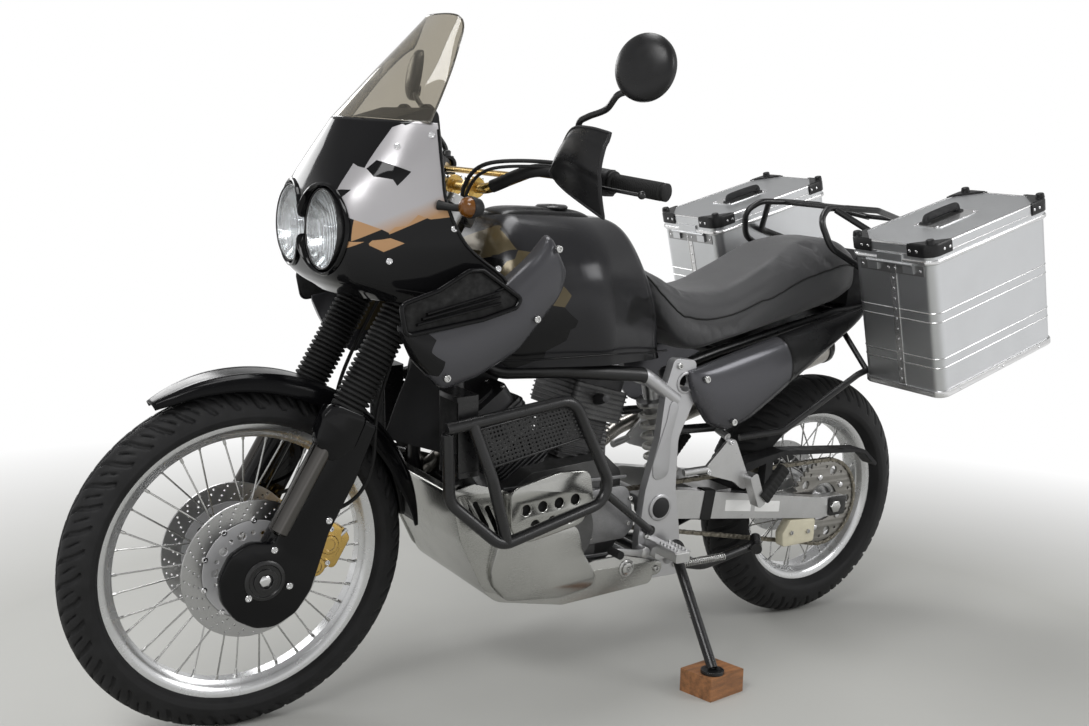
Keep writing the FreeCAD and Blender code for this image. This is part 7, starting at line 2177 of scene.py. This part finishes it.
def build_room(level):
    """A room that the camera sees as white, glossy surfaces see graded by height and all others see
    at one level."""
    world = bpy.data.worlds.new("room")
    bpy.context.scene.world = world
    world.use_nodes = True
    n = Wiring(world.node_tree)
    path = n.add("ShaderNodeLightPath").outputs
    seen = n.math("MAXIMUM", path["Is Camera Ray"], path["Is Transmission Ray"])
    where = n.add("ShaderNodeTexCoord").outputs["Generated"]
    height = n.add("ShaderNodeSeparateXYZ", {0: where}).outputs[2]
    graded = n.ramp(height, [(at, (grey,) * 3) for at, grey in ROOM_GREYS])
    shown = n.mix(seen, n.mix(path["Is Glossy Ray"], (level,) * 3, graded), (1, 1, 1))
    n.put(n.tree.nodes["Background"].inputs["Color"], shown)


def build_lamps(level):
    """Four soft lamps."""
    for name, place, target, wide, high, power in LAMPS:
        data = bpy.data.lights.new(name, "AREA")
        data.shape = "RECTANGLE"
        data.size, data.size_y, data.energy = wide, high, power * level
        lamp = bpy.data.objects.new(name, data)
        lamp.location = place
        lamp.rotation_euler = (Vector(target) - Vector(place)).to_track_quat("-Z", "Y").to_euler()
        bpy.context.scene.collection.objects.link(lamp)


def build_camera():
    """The camera that took the photograph."""
    yaw, pitch, roll = (math.radians(a) for a in CAMERA_ANGLES)
    ahead = Vector((math.cos(pitch) * math.cos(yaw), math.cos(pitch) * math.sin(yaw), math.sin(pitch)))
    right = ahead.cross(Vector((0, 0, 1))).normalized()
    up = right.cross(ahead)
    across = math.cos(roll) * right + math.sin(roll) * up
    over = -math.sin(roll) * right + math.cos(roll) * up
    data = bpy.data.cameras.new("camera")
    data.sensor_width, data.lens = CAMERA_SENSOR, CAMERA_LENS
    camera = bpy.data.objects.new("camera", data)
    turn = Matrix((across, over, -ahead)).transposed().to_4x4()
    camera.matrix_world = Matrix.Translation(CAMERA_PLACE) @ turn
    bpy.context.scene.collection.objects.link(camera)
    bpy.context.scene.camera = camera

# ---------------------------------------------------------------- add-on


def colour_property(name, default, words):
    """A colour in the panel."""
    return bpy.props.FloatVectorProperty(
        name=name, description=words, default=default, subtype="COLOR", size=3, min=0, max=1,
    )


def level_property(name, default, top, words, low=0):
    """A number in the panel."""
    return bpy.props.FloatProperty(name=name, description=words, default=default, min=low, max=top)


class MotoTones(bpy.types.PropertyGroup):
    """The machine's colours."""

    frame: colour_property("Frame", (0.5, 0.5, 0.51), "Paint of the frame plates")
    plastic: colour_property("Plastic", (0.016, 0.016, 0.017), "Moulded black plastic")
    aluminium: colour_property("Aluminium", (0.62, 0.63, 0.64), "Pannier sheet")
    seat: colour_property("Seat", (0.036, 0.036, 0.038), "Seat vinyl")
    gold: colour_property("Gold", (0.6, 0.4, 0.12), "Handlebar and calipers")
    patch_light: colour_property("Light patch", (0.42, 0.41, 0.42), "Silver patches")
    patch_warm: colour_property("Warm patch", (0.42, 0.25, 0.13), "Copper patches")
    patch_olive: colour_property("Olive patch", (0.13, 0.105, 0.06), "Olive patches")
    panel: colour_property("Panel", (0.055, 0.055, 0.06), "Dark grey paint")


class MotoSizes(bpy.types.PropertyGroup):
    """Sizes and levels that a user may change."""

    floor: colour_property("Floor", (0.42, 0.42, 0.40), "Floor")
    room_light: level_property("Room light", 0.5, 2, "Level of the room")
    lamp_level: level_property("Lamp level", 1.0, 4, "Level of the lamps")
    groove: level_property("Groove depth", 5.0, 9, "Depth of the tread's grooves, in mm", 1)


class MOTO_OT_finishes(bpy.types.Operator):
    """Makes the finishes and gives them to the CAD nodes"""

    bl_idname = "moto.finishes"
    bl_label = "Finishes"

    def execute(self, context):
        make_finishes(context.scene.moto_tones)
        finish_nodes()
        return {"FINISHED"}


class MOTO_OT_stage(bpy.types.Operator):
    """Makes the floor, the lamps, the room and the camera"""

    bl_idname = "moto.stage"
    bl_label = "Stage"

    def execute(self, context):
        sizes = context.scene.moto_sizes
        build_floor(tuple(sizes.floor))
        build_room(sizes.room_light)
        build_lamps(sizes.lamp_level)
        build_camera()
        context.scene.view_settings.view_transform = "Standard"
        return {"FINISHED"}


BUILDERS = (
    MOTO_OT_stage, MOTO_OT_finishes, MOTO_OT_cords, MOTO_OT_wheels, MOTO_OT_front_end, MOTO_OT_fairing,
    MOTO_OT_bars,
    MOTO_OT_body, MOTO_OT_engine, MOTO_OT_rear, MOTO_OT_panniers,
)


class MOTO_PT_panel(bpy.types.Panel):
    """Colours, sizes and the builders"""

    bl_label = "Motorcycle"
    bl_idname = "MOTO_PT_panel"
    bl_space_type = "VIEW_3D"
    bl_region_type = "UI"
    bl_category = "Motorcycle"

    def draw(self, context):
        for group in (context.scene.moto_tones, context.scene.moto_sizes):
            for name in group.__annotations__:
                self.layout.prop(group, name)
        for builder in BUILDERS:
            self.layout.operator(builder.bl_idname)


CLASSES = (MotoTones, MotoSizes, *BUILDERS, MOTO_PT_panel)


def register():
    for cls in CLASSES:
        bpy.utils.register_class(cls)
    bpy.types.Scene.moto_tones = bpy.props.PointerProperty(type=MotoTones)
    bpy.types.Scene.moto_sizes = bpy.props.PointerProperty(type=MotoSizes)


def unregister():
    del bpy.types.Scene.moto_sizes
    del bpy.types.Scene.moto_tones
    for cls in reversed(CLASSES):
        bpy.utils.unregister_class(cls)


def main():
    """Registers the add-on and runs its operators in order."""
    register()
    for builder in BUILDERS:
        group, name = builder.bl_idname.split(".")
        getattr(getattr(bpy.ops, group), name)()


if __name__ == "__main__":
    main()
